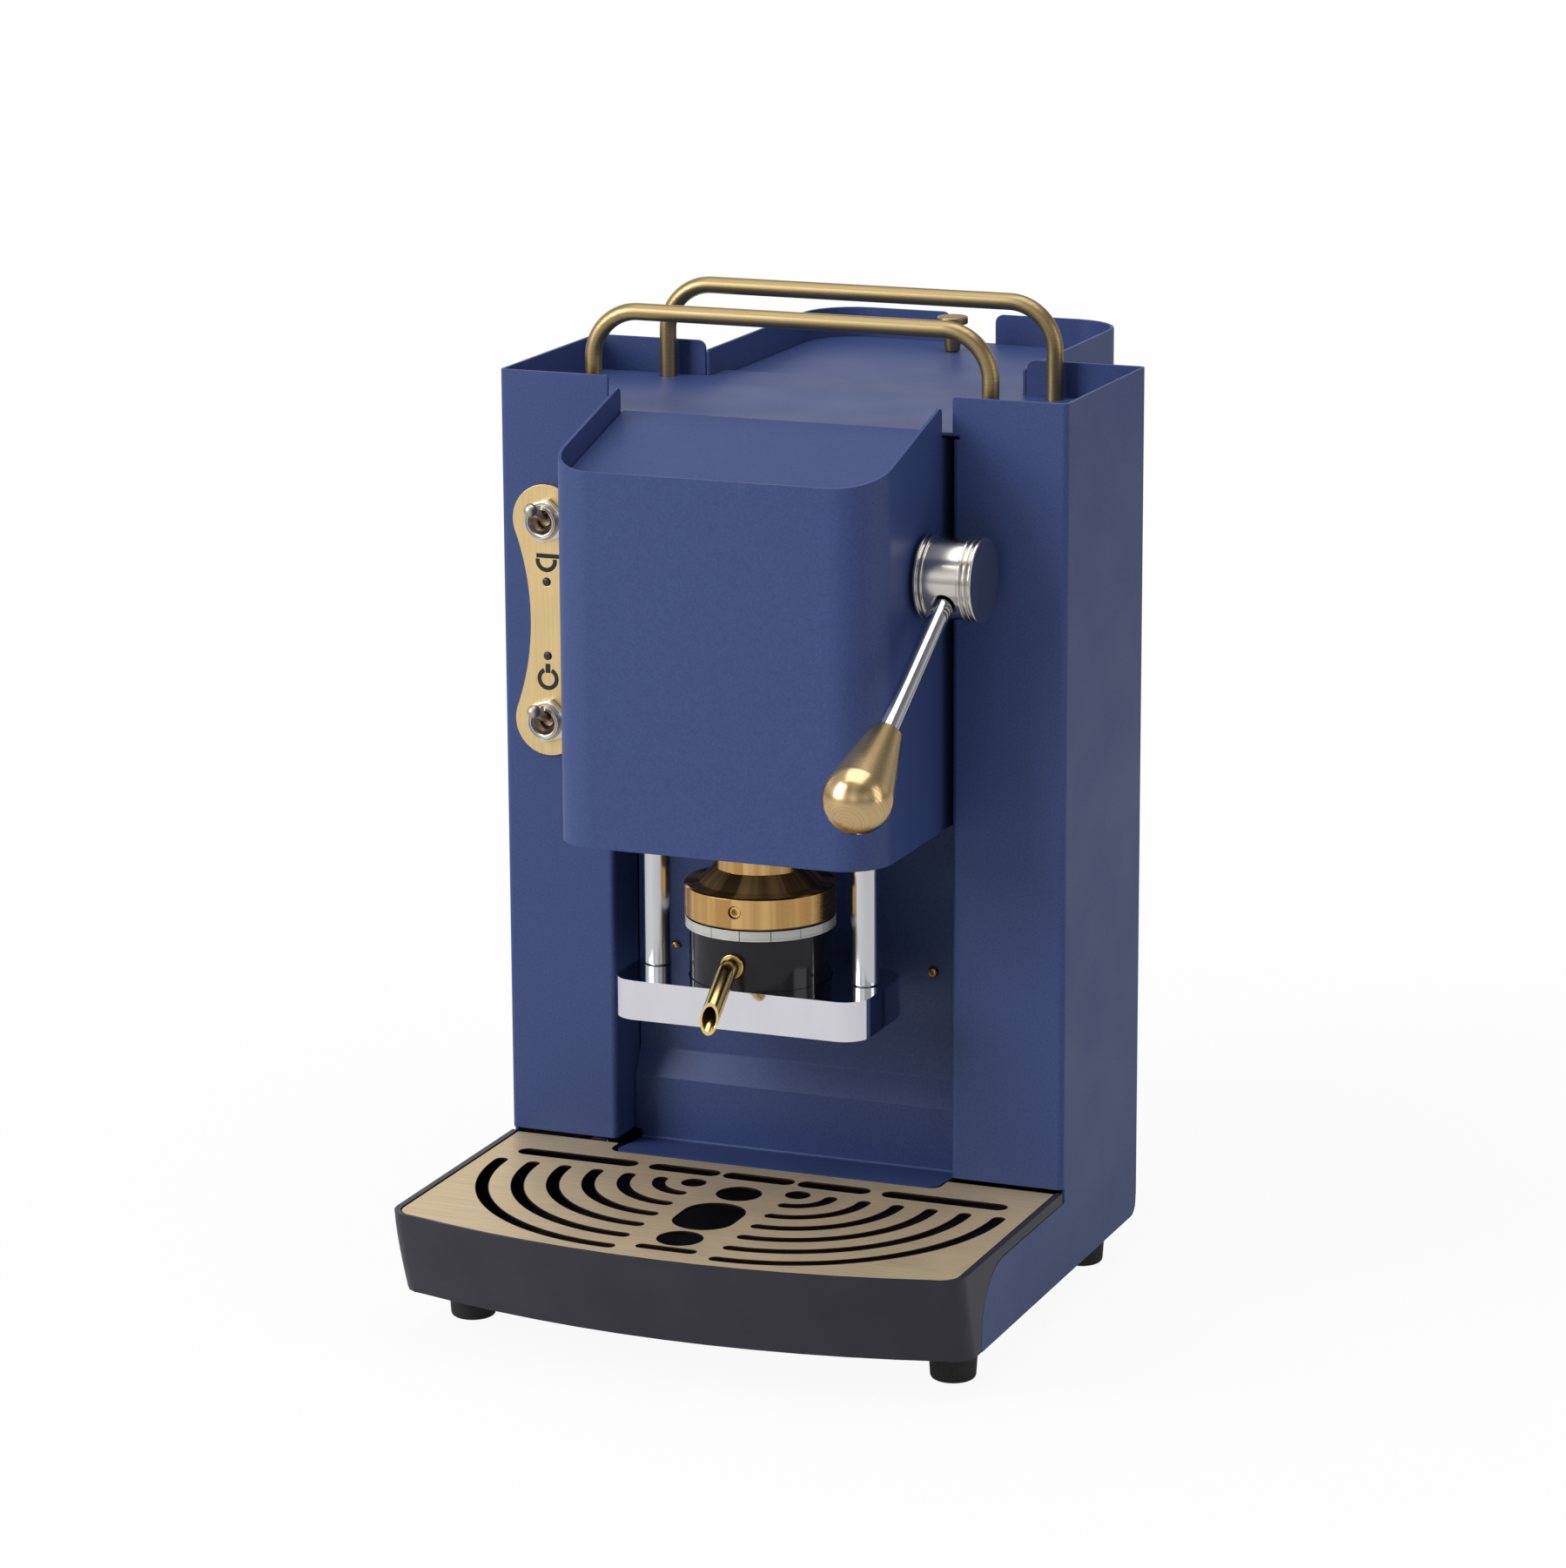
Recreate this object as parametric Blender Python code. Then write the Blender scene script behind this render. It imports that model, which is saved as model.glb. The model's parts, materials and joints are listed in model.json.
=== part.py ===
"""Lever espresso machine: bent-sheet housing, lever press, drip tray and water tank.

Lengths are metres and +Z is up. The machine faces -Y, and +X is at the right of someone who faces it.
Sizes are laid out from the front plane of the pillars, y = 0, and the table, z = 0. The "machine" empty
then puts the middle of the footprint on the world's origin.
"""
import cmath
import math

import bmesh
import bpy
from mathutils import Matrix, Vector

# Common values
SHEET = 0.0012  # housing sheet steel
BEND = 0.002  # outer radius of a bend in it
HOLLOW_BEND = 0.001  # inner radius of a bend in it
SEAT = 0.0003  # gap between pieces that touch
SLIDE = 0.0009  # clearance of pieces that lift or slide out
OVERRUN = 0.003  # how far a cutter runs past what it cuts
RELIEF = 0.0015  # width of the notch beside a bend
NOTCH_RUN = 0.0005  # how far such a notch runs past the bend
WELD = 0.000001
ROUND_END_SHARE = 0.4999  # radius of a full round end, as a share of its width
FLAT = math.radians(0.5)  # faces within this of one plane are one face
SHARP_EDGE = math.radians(32)
ARC_STEP = math.radians(15)  # turn of one facet on rounded corners
BEND_STEP = math.radians(30)  # and on tight bends
TIGHT_BEND = 0.010  # arcs shorter than this are tight
FINE_STEPS = 24  # facets round a large turned piece
MIDDLE_STEPS = 14
SMALL_STEPS = 12
TINY_STEPS = 8
HEX_SIDES = 6

# Housing
HOUSING_WIDTH = 0.210
HOUSING_DEPTH = 0.083  # front of the pillars to the rear flanges
HOUSING_TOP = 0.324
FOOT_HEIGHT = 0.015
RECESS_WIDTH = 0.1274  # between the pillars
RETURN_DEPTH = 0.0212  # inner return of a pillar
DECK_TOP = 0.3115
SKIRT_LENGTH = 0.0813  # side wall in front of the pillar
SKIRT_TOP = 0.0425
SKIRT_NOSE = 0.021
PILLAR_GAP = 0.005  # pillar's lower edge over the skirt
TAIL_ROUND = 0.005
TAIL_TAB_BASE = 0.022  # lower end of the rear flange
FLANGE_ROUND = 0.003
SHELL_EDGE_ROUND = 0.001
HALF_WIDTH = HOUSING_WIDTH / 2
INSIDE_HALF = HALF_WIDTH - SHEET
RECESS_HALF = RECESS_WIDTH / 2
DECK_UNDER = DECK_TOP - SHEET
RETURN_TOP = DECK_UNDER - SLIDE
PILLAR_BASE = SKIRT_TOP + PILLAR_GAP
REAR_FACE = HOUSING_DEPTH - SHEET - SEAT  # rear face of the rear panel

# Base pan and feet
PAN_FRONT = 0.080
PAN_FLANGE = 0.010
PAN_CORNER = 0.004
VENT_LENGTH = 0.030
VENT_WIDTH = 0.004
VENT_PITCH = 0.011
VENT_ROWS = 2
VENT_FRONT = 0.028
VENT_SIDE = 0.056  # centre of each column of vents
FOOT_INSET = 0.0153
FOOT_X = HALF_WIDTH - FOOT_INSET
FRONT_FOOT_Y = -0.0674
REAR_FOOT_Y = 0.065
FOOT_TOP_RADIUS = 0.0088
FOOT_BASE_RADIUS = 0.0078
FOOT_EDGE = 0.0015
FOOT_COUNTERBORE = 0.0042
FOOT_COUNTERBORE_DEPTH = 0.006
FOOT_STEPS = 10
M4_RADIUS = 0.002
M4_HEAD_RADIUS = 0.0036
M4_HEAD = 0.0025
M4_NUT_FLATS = 0.007
M4_NUT = 0.003

# Deck and rails
DECK_FLANGE = 0.008
DECK_FLANGE_INSET = 0.0015
TONGUE_END = 0.095
RAIL_RADIUS = 0.003
RAIL_INSET = 0.0314  # from the housing's side to the rail's upright
RAIL_RISE = 0.0338  # centre line of the top run, over the deck
RAIL_BEND = 0.017
FRONT_RAIL_Y = 0.0105
REAR_RAIL_Y = 0.0765
RAIL_SINK = 0.0105  # ends of the rails, under the deck's face
RAIL_NUT_FLATS = 0.009
RAIL_NUT = 0.005
RAIL_SIDES = 10
RAIL_X = HALF_WIDTH - RAIL_INSET
RAIL_HEIGHT = DECK_TOP + RAIL_RISE
RAIL_FOOT = DECK_TOP - RAIL_SINK

# Recess panel, with its apron over the tray
PANEL_TOP = 0.308
SLOPE_TOP = 0.0766
SLOPE_BASE = 0.0670
SLOPE_DEPTH = 0.0051
APRON_BACK = 0.0438
APRON_FRONT = 0.0462
APRON_REACH = 0.0085
APRON_WIDTH = 0.122
APRON_ROUND = 0.004
REAR_PANEL_BASE = 0.0175
REAR_PANEL_TOP = 0.298
PANEL_SCREW_X = 0.0492
PANEL_SCREW_Z = 0.1153
SCREW_RADIUS = 0.0012
SCREW_HEAD_RADIUS = 0.0019
SCREW_HEAD = 0.0014
SCREW_LENGTH = 0.006
SCREW_SOCKET = 0.0008
SCREW_CROWN = 0.0012
REAR_SCREW_INSET = 0.007
REAR_SCREW_X = HALF_WIDTH - REAR_SCREW_INSET
REAR_SCREW_BASE = 0.072
REAR_SCREW_TOP = 0.285
REAR_SCREW_COUNT = 2

# Hood
HOOD_HALF = 0.060
HOOD_FRONT = 0.064
HOOD_BASE = 0.172
HOOD_ROUND = 0.0165
RIM_TOP = 0.3207
RIM_DROP = 0.0182  # fall of the rim from the pillars to the hood's front
RIM_ROUND = 0.002
HOOD_LID_DROP = 0.009
HOOD_TAB = 0.010
HOOD_TAB_INSET = 0.003

# Water tank, lid and shroud
SHROUD_HALF = 0.061
SHROUD_REAR = 0.195
SHROUD_BASE = 0.060
SHROUD_TOP = 0.3208
SHROUD_ROUND = 0.020
SHROUD_TAB = 0.011
SHROUD_TAB_TOP = 0.295
SHROUD_NOTCH_HALF = 0.009
SHROUD_NOTCH_ROUND = 0.003
TANK_WALL = 0.002
TANK_FLOOR = 0.0025
TANK_FRONT_ROUND = 0.006
LID_TOP = 0.3098
LID_THICKNESS = 0.0027
LID_PLUG_DEPTH = 0.004
LID_PLUG_WALL = 0.0015
LID_GAP = 0.0006
KNOB_Y = 0.172
KNOB_FOOT_RADIUS = 0.00275
KNOB_NECK_RADIUS = 0.004
KNOB_CAP_RADIUS = 0.00575
KNOB_CAP = 0.0028
KNOB_CAP_EDGE = 0.0005
KNOB_HEIGHT = 0.0132
KNOB_PIN_RADIUS = 0.0015
VALVE_Y = 0.130
VALVE_RADIUS = 0.0047
VALVE_FLANGE_RADIUS = 0.008
VALVE_FLANGE = 0.0018
VALVE_REACH = 0.0095  # how far it stands under the tank
VALVE_HOLE_RADIUS = 0.0065

# Controls on the left pillar
CONTROL_INSET = 0.0176  # from the housing's side to the switches
CONTROL_X = CONTROL_INSET - HALF_WIDTH
BREW_SWITCH_Z = 0.2716
POWER_SWITCH_Z = 0.1998
CONTROL_LOBE = 0.0127
CONTROL_WAIST = 0.00635
LOBE_STEPS = 11
WAIST_STEPS = 8
LAMP_RADIUS = 0.0014
LAMP_RING = 0.0019
LAMP_STAND = 0.0005
LAMP_DEPTH = 0.004
BREW_LAMP_Z = 0.2496
POWER_LAMP_Z = 0.2230
BUSHING_RADIUS = 0.00585
BUSHING_MOUTH = 0.0047
BUSHING_FRONT = -0.0066
BAT_SOCKET = 0.0027
BAT_PIVOT_Y = -0.0010
BAT_PIVOT_RADIUS = 0.0024
BAT_ROOT_RADIUS = 0.0013
BAT_TIP_RADIUS = 0.0018
BAT_BALL_RADIUS = 0.0025
BAT_LENGTH = 0.0165
BAT_STEPS = 10
BAT_ROOT_STEPS = 4
BAT_BALL_STEPS = 5
BAT_TILT = math.radians(24)
SWITCH_BODY_WIDTH = 0.013
SWITCH_BODY_DEPTH = 0.019
SWITCH_NUT_FLATS = 0.014
SWITCH_NUT = 0.0024

# Press: the group's axis is vertical, the lever shaft's axis runs along X
GROUP_Y = -0.0185
PLATE_TOP = 0.1204
PLATE_DEPTH = 0.0141
PLATE_BASE = PLATE_TOP - PLATE_DEPTH
PLATE_HALF = 0.047
PLATE_FRONT = -0.0436
PLATE_REAR = 0.0022
PLATE_ROUND = 0.0095
TONGUE_HALF = 0.025
CUP_SEAT_DEPTH = 0.006
COLUMN_X = 0.0388
COLUMN_RADIUS = 0.00475
COLUMN_SPIGOT = 0.003
COLUMN_TOP = 0.256
COLLAR_RADIUS = 0.0078
COLLAR_TOP = 0.176
COLLAR_HEIGHT = 0.0025
CUP_RADIUS = 0.0248
CUP_TOP = 0.1404
CUP_BORE = 0.0223
CUP_FLOOR = 0.132
DRAIN_RADIUS = 0.0015
SPOUT_Z = 0.1295
SPOUT_RADIUS = 0.0034
SPOUT_BORE = 0.0026
SPOUT_SIDES = 12
SPOUT_SPIGOT = 0.003
SPOUT_SPIGOT_LENGTH = 0.012
SPOUT_COLLAR = 0.0043
SPOUT_COLLAR_LENGTH = 0.0016
SPOUT_PITCH = math.radians(38)
SPOUT_BEND = 0.009
SPOUT_DROP = 0.0132  # fall of the spout's axis
SPOUT_CUT_TILT = math.radians(15)
GASKET_RADIUS = 0.0263
GASKET_BORE = 0.0226
GASKET_HEIGHT = 0.0030  # over the cup's rim
GASKET_SKIRT = 0.0021  # and down round it
HEAD_BASE = 0.1440
HEAD_RADIUS = 0.0265
HEAD_RING = 0.0099
HEAD_CHAMFER = 0.0006
HEAD_STEP_RADIUS = 0.0215
HEAD_NECK = 0.0158
HEAD_NECK_BASE = 0.1593
HEAD_RECESS_RADIUS = 0.0215
HEAD_RECESS = 0.005
HEAD_BOSS = 0.005
HEAD_SPIGOT = 0.008
GRUB_Z = 0.1488
GRUB_TURN = math.radians(2.4)
GRUB_RADIUS = 0.002
GRUB_LENGTH = 0.004
GRUB_SOCKET = 0.0011
SCREEN_HEIGHT = 0.0012
SCREEN_HOLE = 0.0008
SCREEN_HOLE_SIDES = 6
SCREEN_RING_RADII = (0.009, 0.0155)
SCREEN_RING_HOLES = (4, 8)
PORT_Y = 0.006  # vertical hose nipple behind the neck
PORT_Z = 0.199
PORT_RADIUS = 0.0042

# Crosshead, cam and lever
SHAFT_Z = 0.2656
SHAFT_RADIUS = 0.005
SHAFT_LEFT = -0.0475
LIFT = 0.014  # rise of the head over the lever's travel
LEVER_TRAVEL = math.radians(100)
CAM_HIGH = 0.022
CAM_HALF = 0.005
CAM_DWELL = math.radians(12)
CAM_IDLE_SHARE = 0.615  # part of the idle side that keeps the least radius
CAM_WORKING_STEPS = 16
CAM_IDLE_STEPS = 14
FOLLOWER_RADIUS = 0.004
CROSSHEAD_DROP = 0.0606  # crosshead's underside, below the shaft's axis
CROSSHEAD_BASE = SHAFT_Z - CROSSHEAD_DROP
CROSSHEAD_BOSS_RADIUS = 0.0085
CROSSHEAD_BOSS = 0.020
CROSSHEAD_HUB_RADIUS = 0.0125
CROSSHEAD_HUB = 0.016
CROSSHEAD_BEAM_HALF = 0.006
CROSSHEAD_BEAM_BASE = 0.0015
CROSSHEAD_BEAM = 0.012
LUG_THICKNESS = 0.0045
LUG_ROUND = 0.0065
LUG_CORNER = 0.00637
SPRING_RADIUS = 0.0066
SPRING_WIRE = 0.0007
SPRING_TURNS = 5
SPRING_TURN_STEPS = 8
SPRING_SIDES = 4
BRIDGE_LEG = 0.018
BRIDGE_BASE = 0.250
BRIDGE_SOFFIT = 0.280
BRIDGE_TOP = 0.288
BRIDGE_DEPTH = 0.018
BRIDGE_ARM_HALF = 0.020
BUSH_RADIUS = 0.007
BUSH_FLANGE = 0.0012
FRAME_SCREW_X = 0.012
FRAME_SCREW_RADIUS = 0.0025
FRAME_SCREW_HEAD_RADIUS = 0.0042
FRAME_SCREW_HEAD = 0.0035
HUB_INNER = 0.0616
HUB_OUTER = 0.0822
HUB_RADIUS = 0.0146
HUB_BAND_RADIUS = 0.0139
HUB_GROOVE_RADIUS = 0.0136
RIDGE_WIDTH = 0.0011
GROOVE_WIDTH = 0.0009
INNER_RIDGES = 2
OUTER_RIDGES = 3
HUB_CHAMFER = 0.0005
HUB_STEPS = 18
HUB_SHAFT_DEPTH = 0.005
HOOD_BUSH_RADIUS = 0.0072
HOOD_BUSH_FLANGE_RADIUS = 0.010
HOOD_BUSH_FLANGE = 0.0009
HOOD_BUSH_TAIL = 0.0015
ROD_X = 0.0719
ROD_RADIUS = 0.0035
ROD_START = 0.0045
ROD_COUNTERBORE = 0.0044
ROD_COUNTERBORE_START = 0.0105
ROD_TILT = math.radians(31.1)
KNOB_START = 0.0768
KNOB_END_RADIUS = 0.0059
BALL_CENTRE = 0.1068
BALL_RADIUS = 0.012
ROD_IN_KNOB = 0.013
BALL_STEPS = 8
KNOB_STEPS = 20

# Drip tray and grille
TRAY_TOP = 0.0466
TRAY_BASE = 0.0153
TRAY_FRONT = 0.1179
BOW_RADIUS = 0.341
TRAY_CORNER = 0.0085
TRAY_CORNER_STEPS = 4
TRAY_LEAN = 0.0095
LEAN_POWER = 1.35
LEAN_LEVELS = 6
BOW_STEPS = 12
TRAY_WALL = 0.0025
FASCIA_WALL = 0.0035
TRAY_FLOOR_BASE = 0.0206
TRAY_FLOOR = 0.0022
TRAY_REAR = 0.0125
TRAY_REAR_TOP = 0.0420
SKIRT_GAP = 0.0004
RIM_WIDTH = 0.0022
FRONT_RIM = 0.0012  # rim in front of the grille
RUNNER_X = 0.060
RUNNER_WIDTH = 0.004
GRILLE_TOP = 0.0463
GRILLE_THICKNESS = 0.0010
GRILLE_REAR = -0.0006
GRILLE_CORNER = 0.0075
APRON_NOTCH_GAP = 0.0015
SLOT_ROW_Y = -0.0215
SLOT_ROW_WIDTH = 0.0066
SLOT_SPANS = ((-0.0922, -0.0466), (-0.0415, -0.0151), (-0.0131, 0.0131), (0.0151, 0.0415), (0.0466, 0.0922))
ARC_CENTRE_X = 0.0196
ARC_CENTRE_Y = -0.0338
ARC_HOLE_RADIUS = 0.0042
ARC_WIDTH = 0.0042
ARC_PITCH = 0.01235  # the first arc is one pitch from its small hole
ARC_COUNT = 6
ARC_LEAD = math.radians(6)  # furthest turn past the row that an arc starts at
ARC_LEAST_STEPS = 5
ARC_FACET_SHARE = 0.65  # facets per slot width of radius
ARC_MARGIN = 0.0030  # land between an arc's end and the next opening or the edge
CENTRE_HOLE_RADIUS = 0.0078
CENTRE_HOLE_Y = -0.0399
FRONT_HOLE_Y = -0.0923
STADIUM_RADIUS = 0.0108
STADIUM_REAR_Y = -0.0624
STADIUM_FRONT_Y = -0.0710
FRONT_SLOT_Y = -0.1042
FRONT_SLOT_LENGTH = 0.0217
HOLE_STEPS = 14

# Water circuit and electrics inside the housing
BOILER_Y = 0.0515
BOILER_RADIUS = 0.025
BOILER_BASE = 0.192
BOILER_TOP = 0.275
BOILER_EDGE = 0.004
TUBE_RADIUS = 0.003
TUBE_BEND = 0.006
TUBE_SIDES = 6
NIPPLE_RADIUS = 0.004
NIPPLE = 0.005
OUTLET_Z = 0.178
OUTLET_Y = 0.033
BRACKET_HALF = 0.022
BRACKET_FRONT = 0.026
BRACKET_BASE = 0.150
PUMP_Z = 0.038
PUMP_RADIUS = 0.011
PUMP_FRONT = 0.042
PUMP_REAR = 0.072
COIL_HALF = 0.015
COIL_FRONT = 0.047
COIL_REAR = 0.066
PUMP_FOOT_HALF = 0.030
PUMP_HAT_HALF = 0.018
HOSE_RADIUS = 0.004
HOSE_BEND = 0.009
RISER_X = 0.036
RISER_Y = 0.029
BOARD_WIDTH = 0.045
BOARD_HEIGHT = 0.080
BOARD_FRONT = 0.030
BOARD_BASE = 0.090
BOARD_THICKNESS = 0.0016
BOARD_STANDOFF = 0.005
BOARD_POST_RADIUS = 0.003
BOARD_POST_INSET = 0.006
RELAY_SIZE = (0.014, 0.018, 0.020)
INLET_INSET = 0.022
INLET_X = HALF_WIDTH - INLET_INSET
INLET_Z = 0.050
INLET_FLANGE = (0.031, 0.024)
INLET_BODY = (0.027, 0.020)
INLET_CAVITY = (0.022, 0.015)
INLET_DEPTH = 0.022
INLET_FLANGE_THICKNESS = 0.002
INLET_CAVITY_DEPTH = 0.016
INLET_CORNER = 0.003
PIN_SIZE = (0.002, 0.0045)
PIN_PITCH = 0.007
PIN_LENGTH = 0.012

# Finishes: base colour, roughness, metallic
BLUE_PAINT = ("blue_paint", (0.030, 0.058, 0.190), 0.5, 0.0)
BRASS = ("brass", (0.66, 0.46, 0.17), 0.28, 1.0)
CHROME = ("chrome", (0.86, 0.86, 0.87), 0.08, 1.0)
STEEL = ("steel", (0.56, 0.55, 0.53), 0.32, 1.0)
ZINC = ("zinc", (0.45, 0.45, 0.46), 0.45, 1.0)
COPPER = ("copper", (0.72, 0.36, 0.22), 0.35, 1.0)
BLACK_PLASTIC = ("black_plastic", (0.016, 0.016, 0.018), 0.45, 0.0)
GLOSS_BLACK = ("gloss_black", (0.010, 0.010, 0.011), 0.15, 0.0)
RUBBER = ("rubber", (0.012, 0.012, 0.012), 0.8, 0.0)
CLEAR = ("clear_silicone", (0.80, 0.82, 0.83), 0.12, 0.0)
TANK_PLASTIC = ("tank_plastic", (0.62, 0.68, 0.72), 0.25, 0.0)
WHITE_HOSE = ("white_hose", (0.70, 0.70, 0.68), 0.4, 0.0)
BOARD_GREEN = ("board_green", (0.02, 0.10, 0.05), 0.5, 0.0)
LAMP_RED = ("lamp_red", (0.10, 0.012, 0.010), 0.2, 0.0)

UP = Vector((0, 0, 1))
RIGHT = Vector((1, 0, 0))
FORWARD = Vector((0, -1, 0))
BACK = Vector((0, 1, 0))
QUARTER = math.pi / 2
TURN = 2 * math.pi
LEVER_AXIS = Vector((0, GROUP_Y, SHAFT_Z))
LEVER_WAY = Vector((0, -math.cos(ROD_TILT), -math.sin(ROD_TILT)))
CAM_FALL = LIFT / LEVER_TRAVEL
FOLLOWER_Z = SHAFT_Z - CAM_HIGH - FOLLOWER_RADIUS - SEAT
FOOTPRINT_FRONT = GROUP_Y - BALL_CENTRE * math.cos(ROD_TILT) - BALL_RADIUS
FOOTPRINT_MIDDLE = (FOOTPRINT_FRONT + SHROUD_REAR) / 2


# Outlines and paths, in two dimensions
def rounded(corners, facet=ARC_STEP):
    """Points of a closed outline whose corners (u, v, radius) are arcs where the radius isn't zero."""
    points = []
    for index, (u, v, radius) in enumerate(corners):
        corner = complex(u, v)
        if not radius:
            points.append((u, v))
            continue
        back = complex(*corners[index - 1][:2]) - corner
        ahead = complex(*corners[(index + 1) % len(corners)][:2]) - corner
        turn = cmath.phase(-ahead / back)
        start = corner + back / abs(back) * radius * math.tan(abs(turn) / 2)
        side = math.copysign(radius, turn)
        centre = start + side * 1j * (-back / abs(back))
        steps = max(2, math.ceil(abs(turn) / facet - WELD))
        for step in range(steps + 1):
            spoke = (start - centre) * cmath.exp(1j * turn * step / steps)
            points.append(((centre + spoke).real, (centre + spoke).imag))
    return points


def rectangle(left, right, low, high, radius=0.0, facet=ARC_STEP):
    """Outline of a rectangle with rounded corners."""
    corners = [(left, low, radius), (right, low, radius), (right, high, radius), (left, high, radius)]
    return rounded(corners, facet)


def circle(u, v, radius, steps=SMALL_STEPS, start=0.0):
    """Outline of a circle, its first point at the start angle."""
    angles = [start + TURN * step / steps for step in range(steps)]
    return [(u + radius * math.cos(a), v + radius * math.sin(a)) for a in angles]


def hexagon(u, v, flats, start=0.0):
    """Outline of a hexagon of a width across flats, with a corner at the start angle."""
    return circle(u, v, flats / 2 / math.cos(math.pi / HEX_SIDES), HEX_SIDES, start)


def slot(left, right, v, width):
    """Outline of a slot along u, with round ends."""
    return rectangle(left, right, v - width / 2, v + width / 2, width * ROUND_END_SHARE, BEND_STEP)


class FoldedPath:
    """Course of a bent sheet's outer face, seen end-on: straight runs joined by arcs.

    The face lies at the right of the course and the sheet's thickness at its left.
    """

    def __init__(self, corners):
        self.runs = []
        point = complex(*corners[0][:2])
        length = 0.0
        for index in range(1, len(corners)):
            corner = complex(*corners[index][:2])
            way = (corner - complex(*corners[index - 1][:2]))
            way /= abs(way)
            turn, trim = 0.0, 0.0
            if index < len(corners) - 1:
                ahead = complex(*corners[index + 1][:2]) - corner
                turn = cmath.phase(ahead / way)
                trim = corners[index][2] * math.tan(abs(turn) / 2)
            straight = abs(corner - point) - trim
            self.runs.append((length, straight, point, way, 0.0))
            length += straight
            point = corner - way * trim
            if turn:
                arc = corners[index][2] * abs(turn)
                bend = turn / arc
                self.runs.append((length, arc, point, way, bend))
                point += way * (cmath.exp(1j * turn) - 1) / (1j * bend)
                length += arc
        self.length = length

    def at(self, course):
        """Point and direction at a distance along the course, straight on past its ends."""
        for start, span, point, way, bend in self.runs:
            if course < start + span:
                break
        ahead = course - start
        if not bend:
            return point + way * ahead, way
        swing = cmath.exp(1j * bend * ahead)
        return point + way * (swing - 1) / (1j * bend), way * swing

    def along(self, u, v):
        """Distance along the course of the straight run's point nearest to (u, v)."""
        found = []
        for start, span, point, way, bend in self.runs:
            if bend:
                continue
            offset = (complex(u, v) - point) * way.conjugate()
            if -WELD <= offset.real <= span + WELD:
                found.append((abs(offset.imag), start + offset.real))
        return min(found)[1]

    def bends(self):
        """Start and end of each arc."""
        return [(start, start + span) for start, span, point, way, bend in self.runs if bend]

    def folds(self):
        """Every distance at which the faceted sheet is creased."""
        creases = []
        for start, span, point, way, bend in self.runs:
            if bend:
                facet = BEND_STEP if span < TIGHT_BEND else ARC_STEP
                steps = max(2, math.ceil(abs(bend) * span / facet - WELD))
                creases += [start + span * step / steps for step in range(steps + 1)]
        return creases


# Solids, as bmeshes in the machine's own layout
def face_out(solid):
    """Turn every face of a closed solid outwards."""
    bmesh.ops.recalc_face_normals(solid, faces=solid.faces)
    if solid.calc_volume(signed=True) < 0:
        bmesh.ops.reverse_faces(solid, faces=solid.faces)


def plate(outline, holes, low, high):
    """Flat plate from an outline and its holes, between two heights."""
    solid = bmesh.new()
    edges = []
    for loop in [outline, *holes]:
        verts = [solid.verts.new((u, v, low)) for u, v in loop]
        edges += [solid.edges.new(pair) for pair in zip(verts, verts[1:] + verts[:1])]
    bmesh.ops.triangle_fill(solid, use_beauty=True, edges=edges)
    raised = bmesh.ops.extrude_face_region(solid, geom=solid.faces[:])
    lifted = [item for item in raised["geom"] if isinstance(item, bmesh.types.BMVert)]
    bmesh.ops.translate(solid, vec=(0, 0, high - low), verts=lifted)
    face_out(solid)
    return solid


def placed(solid, place):
    """The solid with every point (u, v, w) moved to place(u, v, w)."""
    for vert in solid.verts:
        vert.co = place(*vert.co)
    face_out(solid)
    return solid


def bent_sheet(path, outline, holes, place, tabs=()):
    """Sheet cut to a flat pattern (distance along the path, width) and bent along the path.

    A tab (limit, before, low, high) keeps the pattern between two widths straight before or after a
    limit, where the real sheet is notched and left unbent.
    """
    solid = plate(outline, holes, 0, SHEET)
    for crease in path.folds():
        geometry = solid.verts[:] + solid.edges[:] + solid.faces[:]
        bmesh.ops.bisect_plane(solid, geom=geometry, dist=WELD, plane_co=(crease, 0, 0), plane_no=RIGHT)

    def bend(course, width, depth):
        limit = course
        for edge, before, low, high in tabs:
            if low <= width <= high and (course < edge if before else course > edge):
                limit = edge
        point, way = path.at(limit)
        point += way * (course - limit) + 1j * way * depth
        return place(point.real, point.imag, width)

    return placed(solid, bend)


def aim(origin, way):
    """Matrix that puts the local Z axis at an origin and along a direction."""
    return Matrix.Translation(origin) @ Vector(way).to_track_quat("Z", "Y").to_matrix().to_4x4()


def turned(profile, steps, origin=(0, 0, 0), way=UP):
    """Solid of revolution from (radius, height) points: a ring, or a solid that starts and ends on its axis."""
    solid = bmesh.new()
    verts = [solid.verts.new((radius, 0, height)) for radius, height in profile]
    ring = min(radius for radius, height in profile) > 0
    followers = verts[1:] + verts[:1] if ring else verts[1:]
    edges = [solid.edges.new(pair) for pair in zip(verts, followers)]
    bmesh.ops.spin(solid, geom=verts + edges, axis=UP, cent=(0, 0, 0), angle=TURN, steps=steps, use_merge=True)
    bmesh.ops.remove_doubles(solid, verts=solid.verts, dist=WELD)
    bmesh.ops.transform(solid, matrix=aim(origin, way), verts=solid.verts)
    face_out(solid)
    return solid


def rod(start, way, length, radius, steps=SMALL_STEPS):
    """Plain cylinder from a start point along a direction."""
    return turned([(0, 0), (radius, 0), (radius, length), (0, length)], steps, start, way)


def block(left, right, front, rear, low, high):
    """Box between six planes."""
    return plate(rectangle(left, right, front, rear), [], low, high)


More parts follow.
